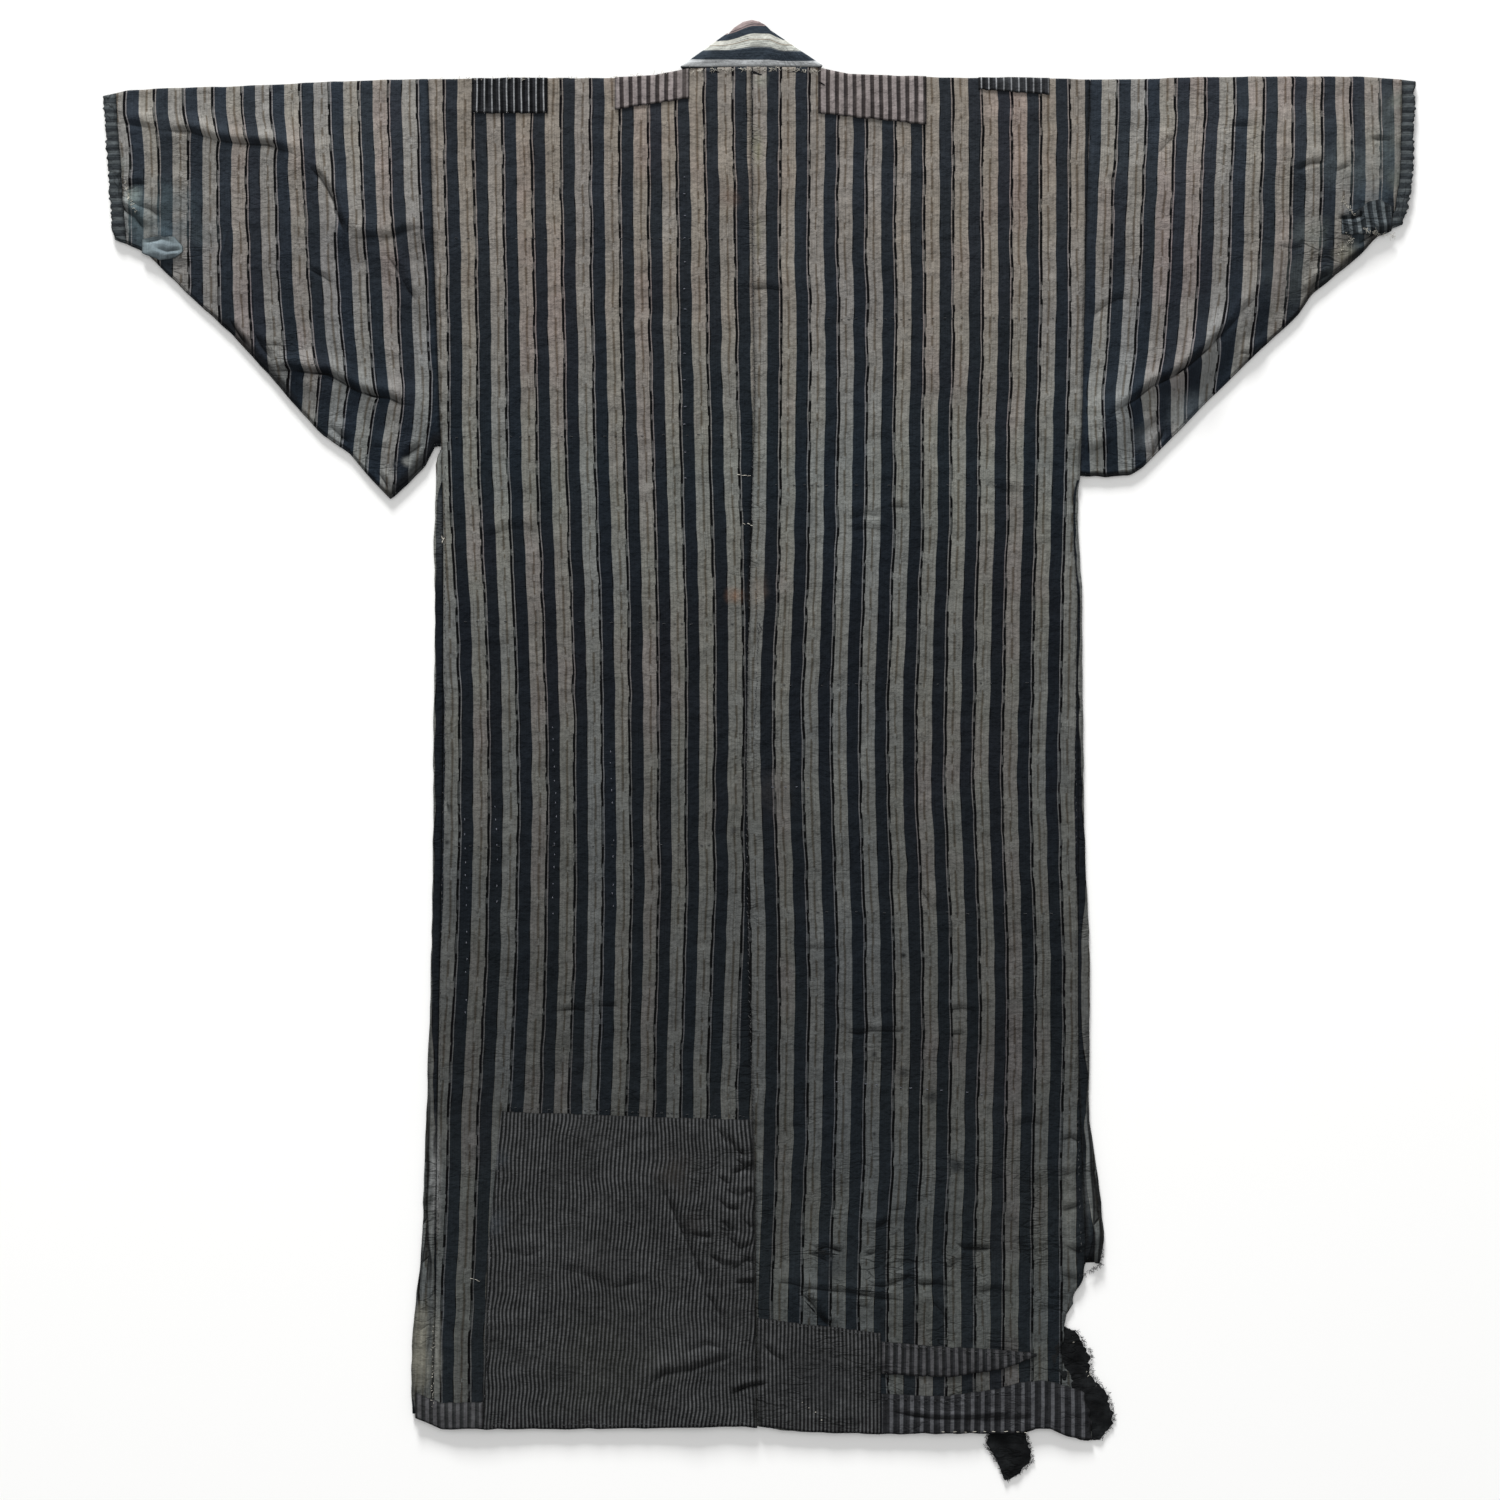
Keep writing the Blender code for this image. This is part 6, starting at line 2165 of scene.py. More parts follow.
@dataclass
class Patch(ClothPiece):
    """Patch sewn flat on a back panel or a sleeve.

    Args:
        side: Side of the coat.
        sections: Its outline.
        ground: What it lies on.
        tilt: How much its stripes lean, in millimetres per millimetre.
        sway: How far they wander.
        ragged: Unevenness of its cut edges.
        cell: Size of its cells.
    """

    side: Side = Side.LEFT
    sections: tuple[Section, ...] = ()
    ground: Ground = Ground.BACK
    tilt: float = 0.0
    sway: float = 0.6
    ragged: float = 0.6
    cell: float = 2.4
    wall: float = 1.0

    SHOULDER_TURN = np.radians([76.0, 62.0, 48.0])

    @property
    def lift(self) -> float:
        """From the mid-wall of the cloth below to the patch's own."""
        layers = self.form.layers
        return layers.wall / 2 + layers.lay_gap + self.wall / 2

    def columns(self) -> np.ndarray:
        """Places across the patch, with one at each section.

        Returns:
            The places.
        """
        places = [np.array([self.sections[0].x])]
        for left, right in zip(self.sections, self.sections[1:]):
            cells = max(1, round((right.x - left.x) / self.cell))
            places.append(np.linspace(left.x, right.x, cells + 1)[1:])
        return np.concatenate(places)

    def trim(self, x: np.ndarray, low: np.ndarray, high: np.ndarray
             ) -> tuple[np.ndarray, np.ndarray]:
        """Cut the patch off at the coat's own edges.

        Args:
            x: Places across the coat.
            low: Its lower edge.
            high: Its upper edge.

        Returns:
            Both edges as they lie.
        """
        form, depth = self.form, self.form.layers.depth
        if self.ground is Ground.SLEEVE:
            return np.maximum(low, form.sleeve_bottom(self.side, x) + depth + 0.3), high
        if self.ground is Ground.SHOULDER:
            return low, form.top(x) - depth
        return np.maximum(low, form.hem(x)), high

    def between_seams(self, x: np.ndarray, y: np.ndarray) -> np.ndarray:
        """Squeeze the columns in between the panel's own seams.

        Args:
            x: Places across the coat.
            y: Places up the coat.

        Returns:
            Places across the coat.
        """
        if self.ground is Ground.SLEEVE:
            return x + 0 * y
        form, sign = self.form, self.side.value
        first, last = np.full_like(y, x[0]), np.full_like(y, x[-1])
        if self.side is Side.LEFT:
            last = np.minimum(last, form.centre(self.side, y) - 0.6)
        else:
            first = np.maximum(first, form.centre(self.side, y) + sign * 0.6)
            last = np.minimum(last, form.seam(self.side, y) - 0.3)
        return first + (last - first) * (x - x[0]) / (x[-1] - x[0])

    def below(self, x: np.ndarray, y: np.ndarray) -> Lie:
        """How the cloth that the patch lies on lies.

        Args:
            x: Places across the coat.
            y: Places up the coat.

        Returns:
            Heights, slip and marks of that cloth.
        """
        form = self.form
        if self.ground is Ground.SLEEVE:
            room = np.minimum(y - form.sleeve_bottom(self.side, x), form.top(x) - y)
            return form.sleeve_surface(self.side, x, y, room - form.layers.depth)
        return form.back_surface(self.side, x, y)

    def shape(self) -> ClothMesh:
        """The patch as one grid, its edges sewn down.

        Returns:
            The surface.
        """
        form, layers = self.form, self.form.layers
        x = self.columns()
        low = read(self.sections, x, "x", "low") + self.ragged * form.quilting.at(x / 4.0, 41.0)
        high = read(self.sections, x, "x", "high") + self.ragged * form.quilting.at(x / 4.0, 43.0)
        low, high = self.trim(x, low, high)
        rows = max(4, round(np.max(high - low) / self.cell))
        y = low + (high - low) * np.linspace(0.0, 1.0, rows + 1)[:, None]
        x = self.between_seams(x, y)
        lie = self.below(x, y)
        height = lie.height
        border = np.minimum(x - x[:, :1], x[:, -1:] - x)
        border = np.minimum(border, y - low)
        if self.ground is not Ground.SHOULDER:
            border = np.minimum(border, high - y)
        puff = 0.5 * ramp(border, 1.5, 14.0) - 0.3 * bell(border, 1.4)
        gathers = 0.4 * form.quilting.at(x / 4.2, y / 4.2) * bell(border - 2.5, 3.0)
        z = height + self.lift + puff + np.maximum(gathers, -0.2)
        if self.ground is Ground.SHOULDER:
            z = height + self.lift + 0.3 * (puff + gathers)
        # Painted shadow line along the sewn-down border, over part of the marks of the cloth below.
        marks = [np.maximum(0.6 * lie.marks.dirt, 0.8 * bell(border, 1.0)), *lie.marks[1:]]
        if self.ground is Ground.SHOULDER:
            turn = self.SHOULDER_TURN[:, None]
            reach = layers.radius + self.lift
            x = np.concatenate([x, x[-1:] + 0 * turn])
            y = np.concatenate([y, y[-1:] + reach * np.cos(turn)])
            z = np.concatenate([z, layers.middle + reach * np.sin(turn) + 0 * x[-1:]])
            marks = [np.concatenate([mark, mark[-1:] + 0 * turn]) for mark in marks]
        wander = self.sway * (form.wave.at(x / 75.0, y / 48.0) + 0.4 * form.fine.at(x / 30.0, y / 18.0))
        mesh = ClothMesh()
        mesh.add(x, y, z, x - self.tilt * y + wander, y, Marks(*marks))
        return mesh


@dataclass
class TornPiece(ClothPiece):
    """Torn cloth on the ground, given by sections up its length.

    Args:
        levels: Its sections.
        cell: Size of its cells.
        ragged: Unevenness of its edges.
        seed: Shift of that unevenness.
    """

    levels: tuple[Level, ...] = ()
    cell: float = 1.5
    ragged: float = 1.6
    seed: float = 0.0

    def shape(self) -> ClothMesh:
        """A crumpled sheet with ragged edges.

        Returns:
            The surface.
        """
        form = self.form
        low, high = self.levels[0].y, self.levels[-1].y
        y = np.linspace(low, high, round((high - low) / self.cell) + 1)[:, None]
        inner = read(self.levels, y, "y", "inner")
        outer = read(self.levels, y, "y", "outer")
        outer = outer + self.ragged * form.fine.at(y / 2.6, 61.0 + self.seed)
        inner = inner + 0.6 * self.ragged * (1 + form.fine.at(y / 2.2, 67.0 + self.seed))
        cells = round(np.max(outer - inner) / self.cell)
        x = inner + (outer - inner) * np.linspace(0.0, 1.0, cells + 1)
        y = y + 0.8 * form.quilting.at(x / 3.0, 3.0 + self.seed)
        crumple = 1.1 + form.wave.at(x / 11.0, y / 13.0) + 0.6 * form.fine.at(x / 4.5, y / 5.0)
        z = form.layers.floor + np.maximum(crumple, 0.0)
        mesh = ClothMesh()
        mesh.add(x, y, z, x, y, Marks(0.25 * (1 + form.fine.at(x / 4.5, y / 5.0)), crumple=1.0))
        return mesh


# ---- stitches and wear


@dataclass(frozen=True)
class StitchRow:
    """Row of running stitches.

    Args:
        line: Points along the row.
        spacing: From one stitch to the next.
        length: Length of one stitch.
        turn: Turn of each stitch from the row's direction, in degrees.
        radius: Radius of the thread.
    """

    line: tuple[tuple[float, float], ...]
    spacing: float
    length: float
    turn: float = 0.0
    radius: float = 0.30


@dataclass
class Surface:
    """Top of the cloth that shows from above.

    Args:
        form: Outlines and heights of the coat.
        patches: The patches that lie on it.
    """

    form: CoatForm
    patches: tuple[Patch, ...] = ()

    SLEEVE_LOW = 250.0
    PUFF = 0.3

    def height(self, x: float, y: float) -> float:
        """Height of the uppermost cloth at one place.

        Args:
            x: Place across the coat.
            y: Place up the coat.

        Returns:
            The height of its top.
        """
        form, layers = self.form, self.form.layers
        side = Side.LEFT if x < form.centre(Side.LEFT, y) else Side.RIGHT
        place = np.array([x]), np.array([y])
        on_sleeve = y > self.SLEEVE_LOW and abs(x) > abs(form.seam(side, y))
        if on_sleeve:
            room = np.minimum(place[1] - form.sleeve_bottom(side, x), form.top(x) - place[1])
            surface = form.sleeve_surface(side, *place, room - layers.depth).height
        else:
            surface = form.back_surface(side, *place).height
        lift = layers.wall / 2
        for patch in self.patches:
            low, high = (read(patch.sections, x, "x", end) for end in ("low", "high"))
            if patch.sections[0].x <= x <= patch.sections[-1].x and low <= y <= high:
                lift = patch.lift + patch.wall / 2 + self.PUFF
        return float(surface[0]) + lift


@dataclass
class Sewing:
    """Rows of hand stitches in one thread, joined as one mesh.

    Args:
        surface: What the stitches lie on.
        name: Name of the piece.
        finish: The thread.
        rows: The rows of stitches.
        seed: Seed of their unevenness.
        skip: Share of stitches that are lost.
    """

    surface: Surface
    name: str
    finish: ThreadDye
    rows: tuple[StitchRow, ...]
    seed: int
    skip: float = 0.12

    ARCH = ((-1.0, -0.15), (-0.6, 0.22), (0.0, 0.32), (0.6, 0.22), (1.0, -0.15))

    def make(self, dyer: Dyer) -> bpy.types.Object:
        """Lay the stitches and dress them.

        Args:
            dyer: Where the finishes are kept.

        Returns:
            The piece.
        """
        chance = np.random.default_rng(self.seed)
        threads = ThreadMesh()
        for row in self.rows:
            self.lay(row, chance, threads)
        return dyer.attach(threads.build(self.name), self.finish)

    def lay(self, row: StitchRow, chance: np.random.Generator, threads: ThreadMesh) -> None:
        """Lay one row of stitches, each an arch that dives into the cloth at its ends.

        Args:
            row: The row.
            chance: Where its unevenness comes from.
            threads: The mesh that takes the stitches.
        """
        line = np.array(row.line, float)
        lengths = np.hypot(*np.diff(line, axis=0).T)
        starts = np.concatenate([[0.0], np.cumsum(lengths)])
        along = row.spacing * 0.4
        while along < starts[-1]:
            place = np.array([np.interp(along, starts, line[:, 0]), np.interp(along, starts, line[:, 1])])
            part = min(np.searchsorted(starts, along, side="right"), len(lengths)) - 1
            run = (line[part + 1] - line[part]) / lengths[part]
            along += row.spacing * chance.uniform(0.7, 1.3)
            place += chance.uniform(-0.7, 0.7, 2)
            angle = math.atan2(run[1], run[0]) + math.radians(row.turn + chance.uniform(-14, 14))
            half = row.length / 2 * chance.uniform(0.7, 1.25)
            if chance.random() < self.skip:
                continue
            points = []
            for share, rise in self.ARCH:
                x = place[0] + share * half * math.cos(angle)
                y = place[1] + share * half * math.sin(angle)
                points.append((x, y, self.surface.height(x, y) + rise))
            threads.add(points, row.radius)


@dataclass(frozen=True)
class Fray:
    """Loose threads along a worn edge.

    Args:
        line: Points along the edge.
        count: Number of threads.
        length: Their mean length.
        towards: Mean direction that they lie in, in degrees from +X.
        spread: How much the direction varies, in degrees.
        level: Height that they lie at, or none to lie on the cloth.
    """

    line: tuple[tuple[float, float], ...]
    count: int
    length: float
    towards: float
    spread: float
    level: float | None = None


@dataclass
class Fraying:
    """Tufts of loose threads in one dye, joined as one mesh.

    Args:
        surface: What the threads lie on.
        name: Name of the piece.
        finish: The thread.
        edges: The worn edges.
        seed: Seed of their unevenness.
        radius: Radius of a thread.
    """

    surface: Surface
    name: str
    finish: ThreadDye
    edges: tuple[Fray, ...]
    seed: int
    radius: float = 0.16

    STEPS = 5

    def make(self, dyer: Dyer) -> bpy.types.Object:
        """Lay the threads and dress them.

        Args:
            dyer: Where the finishes are kept.

        Returns:
            The piece.
        """
        chance = np.random.default_rng(self.seed)
        threads = ThreadMesh()
        for edge in self.edges:
            line = np.array(edge.line, float)
            starts = np.concatenate([[0.0], np.cumsum(np.hypot(*np.diff(line, axis=0).T))])
            for _ in range(edge.count):
                along = chance.uniform(0.0, starts[-1])
                x = np.interp(along, starts, line[:, 0]) + chance.uniform(-0.8, 0.8)
                y = np.interp(along, starts, line[:, 1]) + chance.uniform(-0.8, 0.8)
                threads.add(self.strand(x, y, edge, chance), self.radius * chance.uniform(0.7, 1.3))
        return dyer.attach(threads.build(self.name), self.finish)

    def strand(self, x: float, y: float, edge: Fray, chance: np.random.Generator
               ) -> list[tuple[float, float, float]]:
        """Points along one curling thread.

        Args:
            x: Where it starts across the coat.
            y: Where it starts up the coat.
            edge: The edge that it hangs from.
            chance: Where its unevenness comes from.

        Returns:
            The points.
        """
        heading = math.radians(edge.towards + chance.normal(0.0, edge.spread))
        step = edge.length * chance.uniform(0.4, 1.6) / self.STEPS
        curl = chance.normal(0.0, 0.35)
        points = []
        for number in range(self.STEPS + 1):
            level = self.surface.height(x, y) if edge.level is None else edge.level
            points.append((x, y, level + 0.15 + 0.3 * math.sin(number * 0.9) ** 2))
            x, y = x + step * math.cos(heading), y + step * math.sin(heading)
            heading += curl
        return points


@dataclass(frozen=True)
class Slit:
    """Worn slit, where the dark inside shows between parted threads.

    Args:
        x: Its middle across the coat.
        y: Its middle up the coat.
        length: Its length.
        width: Its width.
        turn: Its turn from the line across the coat, in degrees.
    """

    x: float
    y: float
    length: float
    width: float
    turn: float


@dataclass
class Wear:
    """Worn slits, joined as one mesh that lies on the cloth.

    Args:
        surface: What the slits lie on.
        name: Name of the piece.
        finish: The dark inside.
        slits: The slits.
        points: Points along each.
    """

    surface: Surface
    name: str
    finish: PlainCloth
    slits: tuple[Slit, ...]
    points: int = 9

    def make(self, dyer: Dyer) -> bpy.types.Object:
        """Lay the slits and dress them.

        Args:
            dyer: Where the finishes are kept.

        Returns:
            The piece.
        """
        mesh = ClothMesh()
        share = np.linspace(-1.0, 1.0, self.points)
        for number, slit in enumerate(self.slits):
            along = share * slit.length / 2
            half = slit.width / 2 * np.sqrt(1.0 - share ** 2)
            uneven = 1.0 + 0.5 * self.surface.form.quilting.at(along / 2.0, number * 3.7)
            across = np.stack([-half, 0 * half, half]) * uneven
            turn = math.radians(slit.turn)
            x = slit.x + along * math.cos(turn) - across * math.sin(turn)
            y = slit.y + along * math.sin(turn) + across * math.cos(turn)
            z = np.array([[self.surface.height(px, py) for px, py in zip(*pair)] for pair in zip(x, y)])
            mesh.add(x, y, z + np.array([[0.06], [0.16], [0.06]]), x, y, Marks(0.6))
        return dyer.attach(mesh.build(self.name, 0.0), self.finish)


# ---- studio


@dataclass
class Studio:
    """Pale ground, soft light and a camera straight above the coat.

    Args:
        field_width: Width of ground that the picture shows, in metres.
        centre_x: Middle of the picture across the coat, in metres.
        lens: Focal length, in millimetres.
        sensor: Sensor width, in millimetres.
    """

    field_width: float = 1.3965
    centre_x: float = -0.0084
    lens: float = 85.0
    sensor: float = 36.0

    MIDDLE = Vector((0.0, 0.0, 0.0))
    GROUND_SIZE = 12.0
    GROUND_LEVEL = -0.0005
    SKY_STRENGTH = 0.46

    def ground(self) -> bpy.types.Object:
        """A wide pale sheet of paper under the coat.

        Returns:
            The sheet.
        """
        bpy.ops.mesh.primitive_plane_add(size=self.GROUND_SIZE, location=(0.0, 0.0, self.GROUND_LEVEL))
        floor = bpy.context.object
        floor.name = "ground"
        paper = bpy.data.materials.new("white_paper")
        paper.use_nodes = True
        skin = paper.node_tree.nodes["Principled BSDF"]
        skin.inputs["Base Color"].default_value = tint(247, 247, 246)
        skin.inputs["Roughness"].default_value = 0.95
        skin.inputs["Specular IOR Level"].default_value = 0.1
        floor.data.materials.append(paper)
        return floor

    def light(self, name: str, place: Vector, size: float, power: float) -> None:
        """Add one soft square light that shines on the middle of the coat.

        Args:
            name: Name of the light.
            place: Where it hangs, in metres.
            size: Its width, in metres.
            power: Its power, in watts.
        """
        data = bpy.data.lights.new(name, "AREA")
        data.size, data.energy = size, power
        lamp = bpy.data.objects.new(name, data)
        lamp.location = place
        lamp.rotation_euler = (self.MIDDLE - place).to_track_quat("-Z", "Y").to_euler()
        bpy.context.scene.collection.objects.link(lamp)

    def sky(self) -> None:
        """Even white light from all around."""
        scene = bpy.context.scene
        world = bpy.data.worlds.new("white_room")
        scene.world = world
        world.use_nodes = True
        backdrop = world.node_tree.nodes["Background"]
        backdrop.inputs["Color"].default_value = (1.0, 1.0, 1.0, 1.0)
        backdrop.inputs["Strength"].default_value = self.SKY_STRENGTH
        scene.view_settings.view_transform = "Standard"

    def camera(self) -> None:
        """Camera that looks straight down, its top towards the collar."""
        data = bpy.data.cameras.new("camera")
        data.lens, data.sensor_width = self.lens, self.sensor
        camera = bpy.data.objects.new("camera", data)
        camera.location = (self.centre_x, 0.0, self.field_width * self.lens / self.sensor)
        bpy.context.scene.collection.objects.link(camera)
        bpy.context.scene.camera = camera

    def make(self) -> None:
        """Set up the ground, the lights and the camera."""
        self.ground()
        self.light("window", Vector((-1.6, 11.2, 3.6)), size=2.6, power=2150.0)
        self.light("ceiling", Vector((0.0, 0.8, 4.0)), size=3.4, power=44.0)
        self.sky()
        self.camera()


# ---- the coat


def main_pieces(form: CoatForm) -> list[ClothPiece]:
    """The cloth that the coat is cut from.

    Args:
        form: Outlines and heights of the coat.

    Returns:
        The pieces.
    """
    left, right = Side.LEFT, Side.RIGHT
    length = (335.0, 2505.0)
    tube = (560.0, 300.0)
    return [
        BodyPanel(form, "body_left", "striped_cloth", STRIPED_BODY, length, Hold.FOLDED, side=left),
        BodyPanel(form, "body_right", "striped_cloth", STRIPED_BODY, length, Hold.FOLDED, side=right),
        Overlap(form, "overlap_left", "striped_cloth", STRIPED_BODY, (152.0, 901.0), share=0.69,
                side=left),
        Overlap(form, "overlap_right", "striped_cloth", STRIPED_BODY, (152.0, 901.0), share=0.69,
                rests_on=("body_left_cloth",), side=right),
        Sleeve(form, "sleeve_left", "striped_cloth", STRIPED_SLEEVE, tube, Hold.FOLDED, side=left,
               armhole=295.5),
        Sleeve(form, "sleeve_right", "striped_cloth", STRIPED_SLEEVE, tube, Hold.FOLDED, side=right,
               armhole=298.3),
        Cuff(form, "cuff_left", "cuff_cloth", CUFF_CLOTH, (12.0, 280.0), Hold.FOLDED, side=left),
        Cuff(form, "cuff_right", "cuff_cloth", CUFF_CLOTH, (12.0, 280.0), Hold.FOLDED, side=right),
        Collar(form, "collar", "collar_cloth", COLLAR_CLOTH, (50.0, 1800.0), Hold.FOLDED),
    ]


def patch_pieces(form: CoatForm) -> tuple[Patch, ...]:
    """The patches and hem bands that are sewn on top.

    Args:
        form: Outlines and heights of the coat.

    Returns:
        The pieces.
    """
    left, right = Side.LEFT, Side.RIGHT
    on_left, on_right = ("body_left_cloth",), ("body_right_cloth",)
    return (
        Patch(form, "patch_shoulder_dark_left", "dark_striped_patch", DARK_STRIPE, (70.5, 34.0),
              rests_on=on_left, side=left, ground=Ground.SHOULDER,
              sections=listed(Section, (-267, 592, 640), (-196.5, 592, 640))),
        Patch(form, "patch_shoulder_dark_right", "dark_striped_patch", DARK_STRIPE, (66.0, 16.0),
              rests_on=on_right, side=right, ground=Ground.SHOULDER,
              sections=listed(Section, (204, 614, 640), (270, 609.5, 640))),
        Patch(form, "patch_shoulder_brown_left", "brown_striped_patch", BROWN_STRIPE, (69.0, 28.0),
              rests_on=on_left, side=left, ground=Ground.SHOULDER,
              sections=listed(Section, (-134, 595, 640), (-65, 605.5, 640))),
        Patch(form, "patch_shoulder_brown_right", "brown_striped_patch", BROWN_STRIPE, (100.5, 42.0),
              rests_on=on_right, side=right, ground=Ground.SHOULDER,
              sections=listed(Section, (55, 592, 640), (155.5, 581, 640))),
        Patch(form, "patch_hem_large", "fine_striped_patch", FINE_STRIPE, (250.0, 292.0),
              rests_on=on_left, side=left, tilt=0.03, sway=2.6,
              sections=listed(Section,
                  (-256.2, -640, -604), (-252.5, -640, -474), (-238.5, -640, -336), (10, -640, -344))),
        Patch(form, "patch_hem_middle", "fine_striped_patch", FINE_STRIPE, (115.0, 100.0),
              rests_on=on_right, side=right,
              sections=listed(Section, (-10, -650, -528), (113.2, -650, -542))),
        Patch(form, "patch_hem_wedge", "coarse_striped_patch", WEDGE_STRIPE, (144.0, 30.0),
              rests_on=on_right, share=0.66, side=right,
              sections=listed(Section,
                  (114, -580, -550), (176, -583, -554.7), (225.5, -575.5, -557.4), (258, -563.5, -561))),
        Patch(form, "hem_band_right", "coarse_striped_patch", COARSE_STRIPE, (195.0, 42.0),
              rests_on=on_right, side=right,
              sections=listed(Section,
                  (114, -650, -598.5), (176, -650, -600.5), (225.5, -650, -594), (255, -650, -587.5),
                  (275.5, -650, -585.5), (287.5, -650, -587.5), (312, -650, -598.5))),
        Patch(form, "hem_band_left", "coarse_striped_patch", FAINT_STRIPE, (63.0, 26.0),
              rests_on=on_left, side=left,
              sections=listed(Section, (-319.5, -640, -597), (-296, -640, -607), (-256.6, -640, -606))),
        Patch(form, "patch_cuff_left", "blue_patch", BLUE_CLOTH, (38.0, 20.0),
              rests_on=("sleeve_left_cloth",), side=left, ground=Ground.SLEEVE, cell=1.2,
              sections=listed(Section,
                  (-573.5, 462, 475), (-557.5, 455, 477.5), (-543, 457, 476.5), (-535.5, 463, 468))),
        Patch(form, "patch_cuff_right", "coarse_striped_patch", CUFF_PATCH, (45.0, 28.0),
              rests_on=("sleeve_right_cloth",), side=right, ground=Ground.SLEEVE, cell=1.2, tilt=-0.12,
              sway=1.6,
              sections=listed(Section,
                  (541, 479, 496), (552, 479, 497), (559, 479, 503), (567, 479, 510), (578, 479, 511),
                  (588, 483, 505))),
    )


def torn_pieces(form: CoatForm) -> list[ClothPiece]:
    """The torn inner cloth and the rag that lie on the ground.

    Args:
        form: Outlines and heights of the coat.

    Returns:
        The pieces.
    """
    return [
        TornPiece(form, "facing_torn", "black_cloth", BLACK_CLOTH, (62.0, 111.0), rests_on=("ground",),
                  share=0.72,
                  levels=listed(Level,
                      (-642, 296, 316), (-627, 267, 329.5), (-617, 267, 329.5), (-597, 267, 322),
                      (-580, 267, 307), (-561.5, 267, 307), (-542, 267, 295), (-535.5, 267, 283),
                      (-530.5, 267, 271))),
        TornPiece(form, "tatter", "black_cloth", BLACK_CLOTH, (44.0, 62.0), rests_on=("ground",),
                  share=0.68, seed=9.0,
                  levels=listed(Level,
                      (-679.5, 228, 232.5), (-672, 224.5, 243), (-660, 220.5, 254), (-645, 210.5, 250),
                      (-636, 213, 247.5), (-617.4, 222, 245))),
    ]


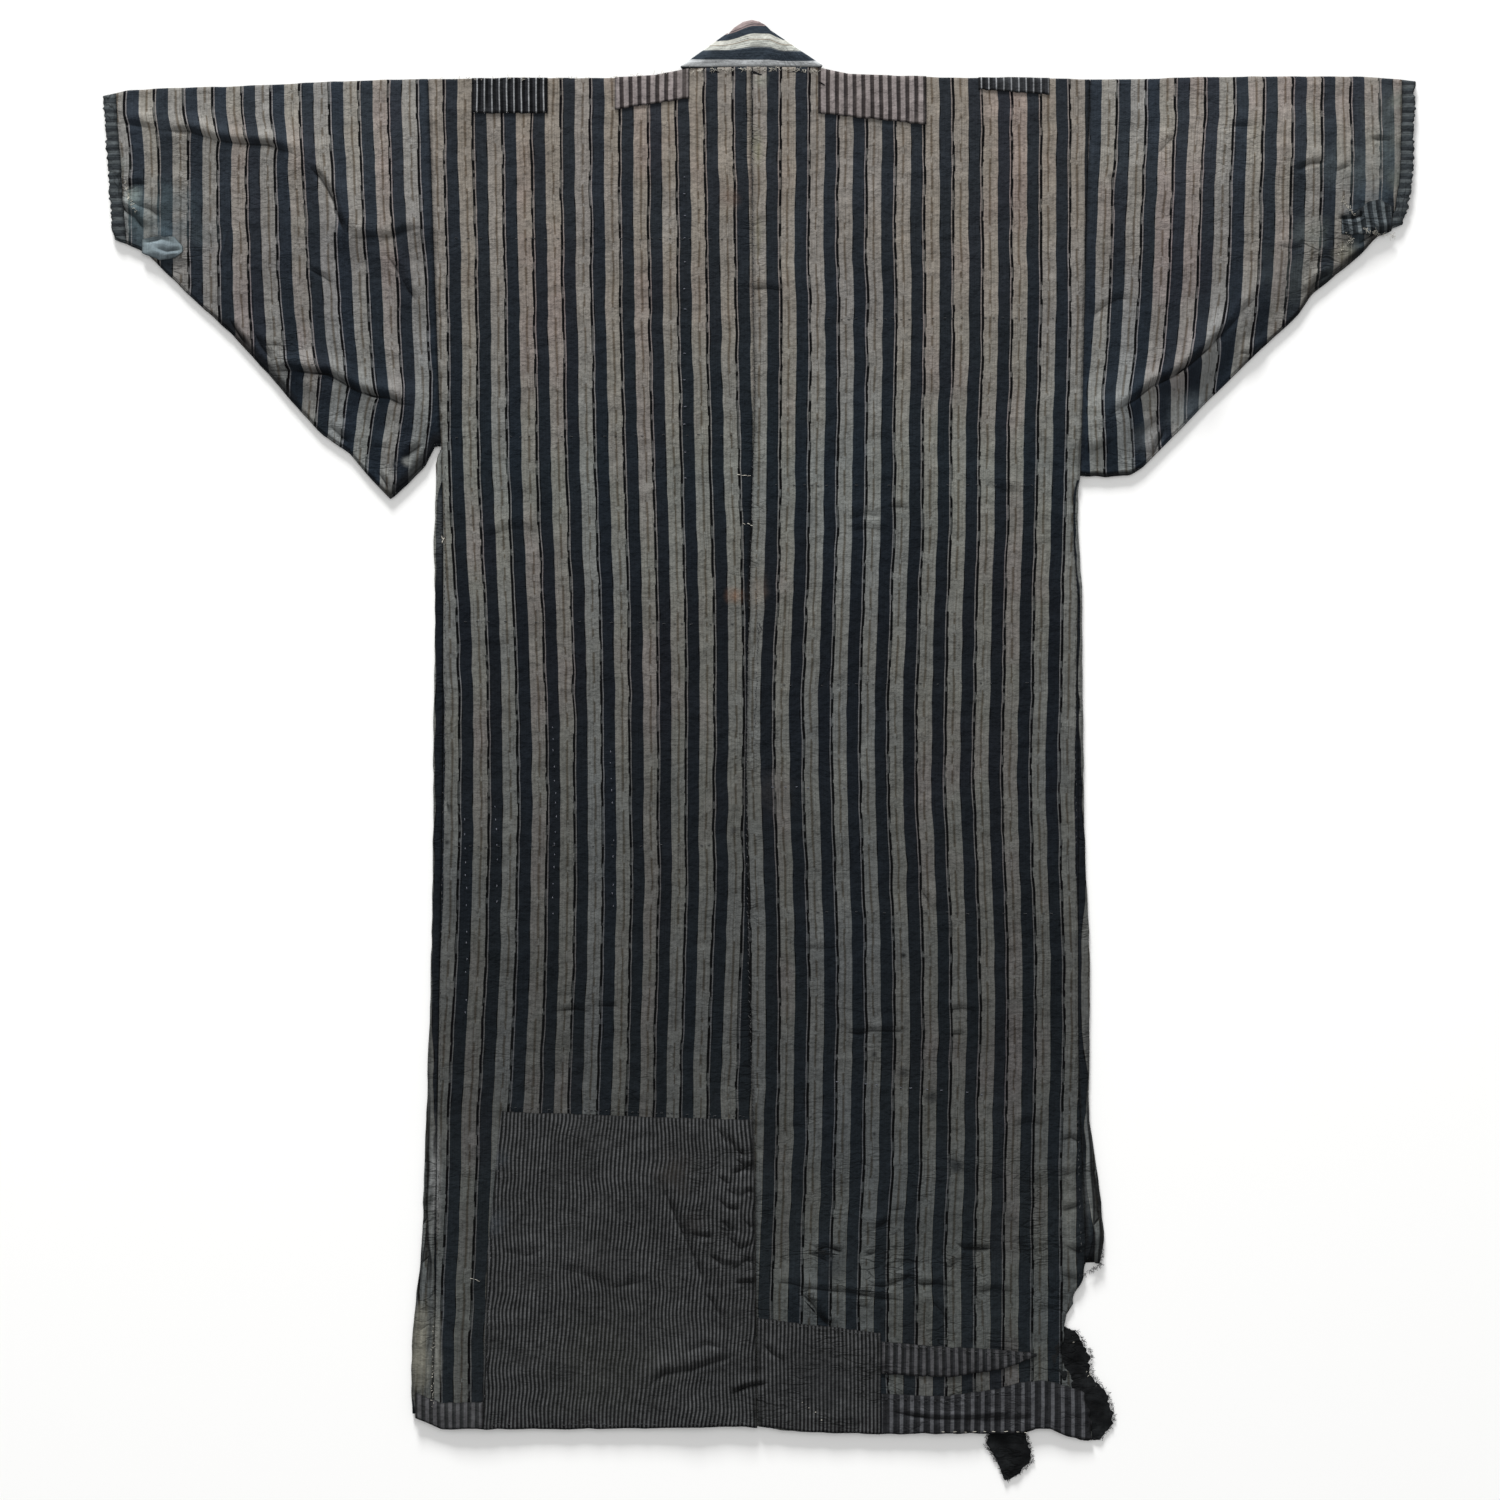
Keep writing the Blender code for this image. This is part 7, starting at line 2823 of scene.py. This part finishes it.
def sewn_details(surface: Surface) -> list[Sewing | Fraying | Wear]:
    """Stitches, loose threads and worn slits.

    Args:
        surface: Top of the cloth that they lie on.

    Returns:
        The rows of stitches, the tufts of threads and the slits.
    """
    pale_rows = listed(StitchRow,
        (((-69, 540), (-69, 233)), 20.5, 2.2, 90, 0.40),
        (((-273.5, -60), (-271.5, -160), (-273, -255)), 12.2, 2, 0, 0.40),
        (((-245, -48), (-243, -110), (-244, -152)), 12.2, 1.8, 0, 0.38),
        (((-192, 26), (-188.5, -60), (-192, -152)), 12.2, 1.8, 0, 0.38),
        (((-138.5, 4), (-135.5, -60), (-136, -152)), 12.2, 1.8, 0, 0.36),
        (((8, -35), (86, -35)), 11, 2.4, 0, 0.34),
        (((68, -308), (140, -314), (210, -320)), 12, 2.4, 0, 0.34),
    )
    cream_rows = listed(StitchRow,
        (((-297.5, 194), (-298, 198), (-295, 199.5), (-293.5, 196), (-294.5, 191)), 2, 2.6, 0, 0.36),
        (((-20, 256), (-7, 255)), 3.6, 3.4, 0, 0.26), (((-15, 211), (-7, 209)), 3.4, 3.2, 0, 0.26),
        (((-268, -491), (-260, -493)), 3, 3, 0, 0.16), (((168, -633.5), (250, -634)), 9, 3.2, 0, 0.26),
        (((38, -604), (50, -613), (62, -626)), 7, 1.4, 40, 0.26),
    )
    ticks = tuple(StitchRow(((start, y), (start + 262.0, y + lean)), 9.0, 2.6, 0.0, 0.30)
                  for start, y, lean in ((-285.0, 475.0, 0.0), (16.0, 400.0, 2.0), (-285.0, 291.0, 2.0),
                                         (12.0, 246.0, 0.0), (-285.0, 120.0, -3.0), (10.0, 60.0, 3.0),
                                         (-282.0, -90.0, 2.0), (12.0, -150.0, -2.0)))
    seams = listed(StitchRow,
        (((-6.5, 632), (-6, 500), (-4.5, 350), (-5.5, 250), (-9.5, 120), (-12, -30), (-9, -230),
         (-5, -345)), 6.5, 3, 20, 0.32),
        (((-2.5, 150), (-1, 100), (-2.5, 60), (-4, 20)), 2.8, 1.5, 0, 0.34),
        (((0, 118), (2.5, 113), (-0.5, 108)), 1.6, 2, 0, 0.34),
        (((-292, 265), (-292, 30), (-296, -230), (-298.5, -470)), 6, 2.6),
        (((295, 240), (294.5, 30), (294.5, -230), (299, -470)), 6, 2.6),
        (((-240, -332), (-120, -336), (-8, -341)), 5.5, 2.4),
        (((-236.5, -340), (-250, -474), (-254, -600)), 6, 2.4),
        (((-250, -626.5), (-150, -627), (-6, -625.5)), 7, 3.4, 0, 0.36),
        (((4, -532), (110, -543.5)), 6, 2.4), (((116, -552), (176, -557), (254, -563)), 6, 2.4),
        (((116, -603), (176, -605), (250, -592)), 6, 2.6),
    )
    torn = Fray(((268, -533), (296, -541), (309, -562), (309, -580), (324, -598),
                 (331, -620), (318, -641)), 250, 2.6, -40, 60, 0.9)
    tatter = Fray(((247, -620), (251, -645), (255, -660), (243, -672),
                   (231, -679), (221, -661), (210, -645), (214, -634)), 260, 2.4,
                  -90, 70, 0.9)
    end = Fray(((298, -488), (308, -484), (317, -478), (319, -464)), 90, 2.6, -60,
               60, 4)
    lint = Fray(((-300, 623), (-140, 624.5), (-80, 629)), 46, 3, 80, 60)
    nape = Fray(((-62, 632), (-30, 633.5), (0, 634), (34, 633.5), (58, 632)), 120, 3,
                -60, 60)
    cuff = Fray(((558, 484), (575, 480), (592, 478)), 34, 3.4, -30, 60)
    elbow = Fray(((541, 513), (547, 505), (552, 497)), 30, 2, 0, 90)
    darn = Fray(((543, 481), (551, 474), (538, 462)), 26, 2, 0, 90)
    hole = Fray(((-590, 530), (-586, 512), (-578, 500)), 30, 2.2, 40, 90)
    rag = Fray(((292, -545), (304, -574), (313, -592)), 26, 1.8, -60, 90, 2.2)
    strip = Fray(((-303, -535), (-304, -580), (-303, -612)), 30, 1.6, 90, 60)
    slits = listed(Slit,
        (60, -468, 30, 1.3, -4), (58, -466, 10, 1.8, 10), (114, -468, 12, 1, 14),
        (200, -462.5, 30, 1.1, -3), (95, -502, 36, 1, -4), (150, -497, 30, 0.9, 5),
        (50, -520, 24, 1.2, -48), (-53, -452.5, 16, 0.8, 0), (-10, -494.5, 14, 0.9, 0),
        (-6, -590, 24, 1, 6), (145, -618, 30, 1, -8), (190, -619, 30, 1, 5), (228, -620.5, 26, 0.8, 3),
        (58, 619.5, 8, 1.3, -30), (-41, 630.5, 9, 1.6, -10), (-3, 629.5, 13, 2.4, -18),
        (31, 630.5, 10, 1.6, 8),
    )
    return [
        Sewing(surface, "pale_stitches", PALE_THREAD, pale_rows, 3),
        Sewing(surface, "cream_stitches", CREAM_THREAD, cream_rows, 8, skip=0.0),
        Sewing(surface, "dark_ticks", DARK_THREAD, ticks, 4, skip=0.35),
        Sewing(surface, "seam_stitches", DARK_THREAD, seams, 5),
        Fraying(surface, "torn_cloth_fray", DARK_THREAD, (torn, tatter, end), 6),
        Fraying(surface, "edge_lint", CREAM_THREAD, (lint, nape, cuff, elbow, darn, hole, rag, strip), 7),
        Wear(surface, "worn_slits", BLACK_CLOTH, slits),
    ]


def main() -> None:
    """Build the coat's cloth in order, then its stitches and wear, then the studio."""
    logging.basicConfig(level=logging.INFO, format="%(message)s")
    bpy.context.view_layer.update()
    form, dyer = CoatForm(), Dyer()
    patches = patch_pieces(form)
    surface = Surface(form, patches)
    for piece in [*main_pieces(form), *patches, *torn_pieces(form)]:
        piece.make(dyer)
    for detail in sewn_details(surface):
        detail.make(dyer)
    Studio().make()


if __name__ == "__main__":
    main()
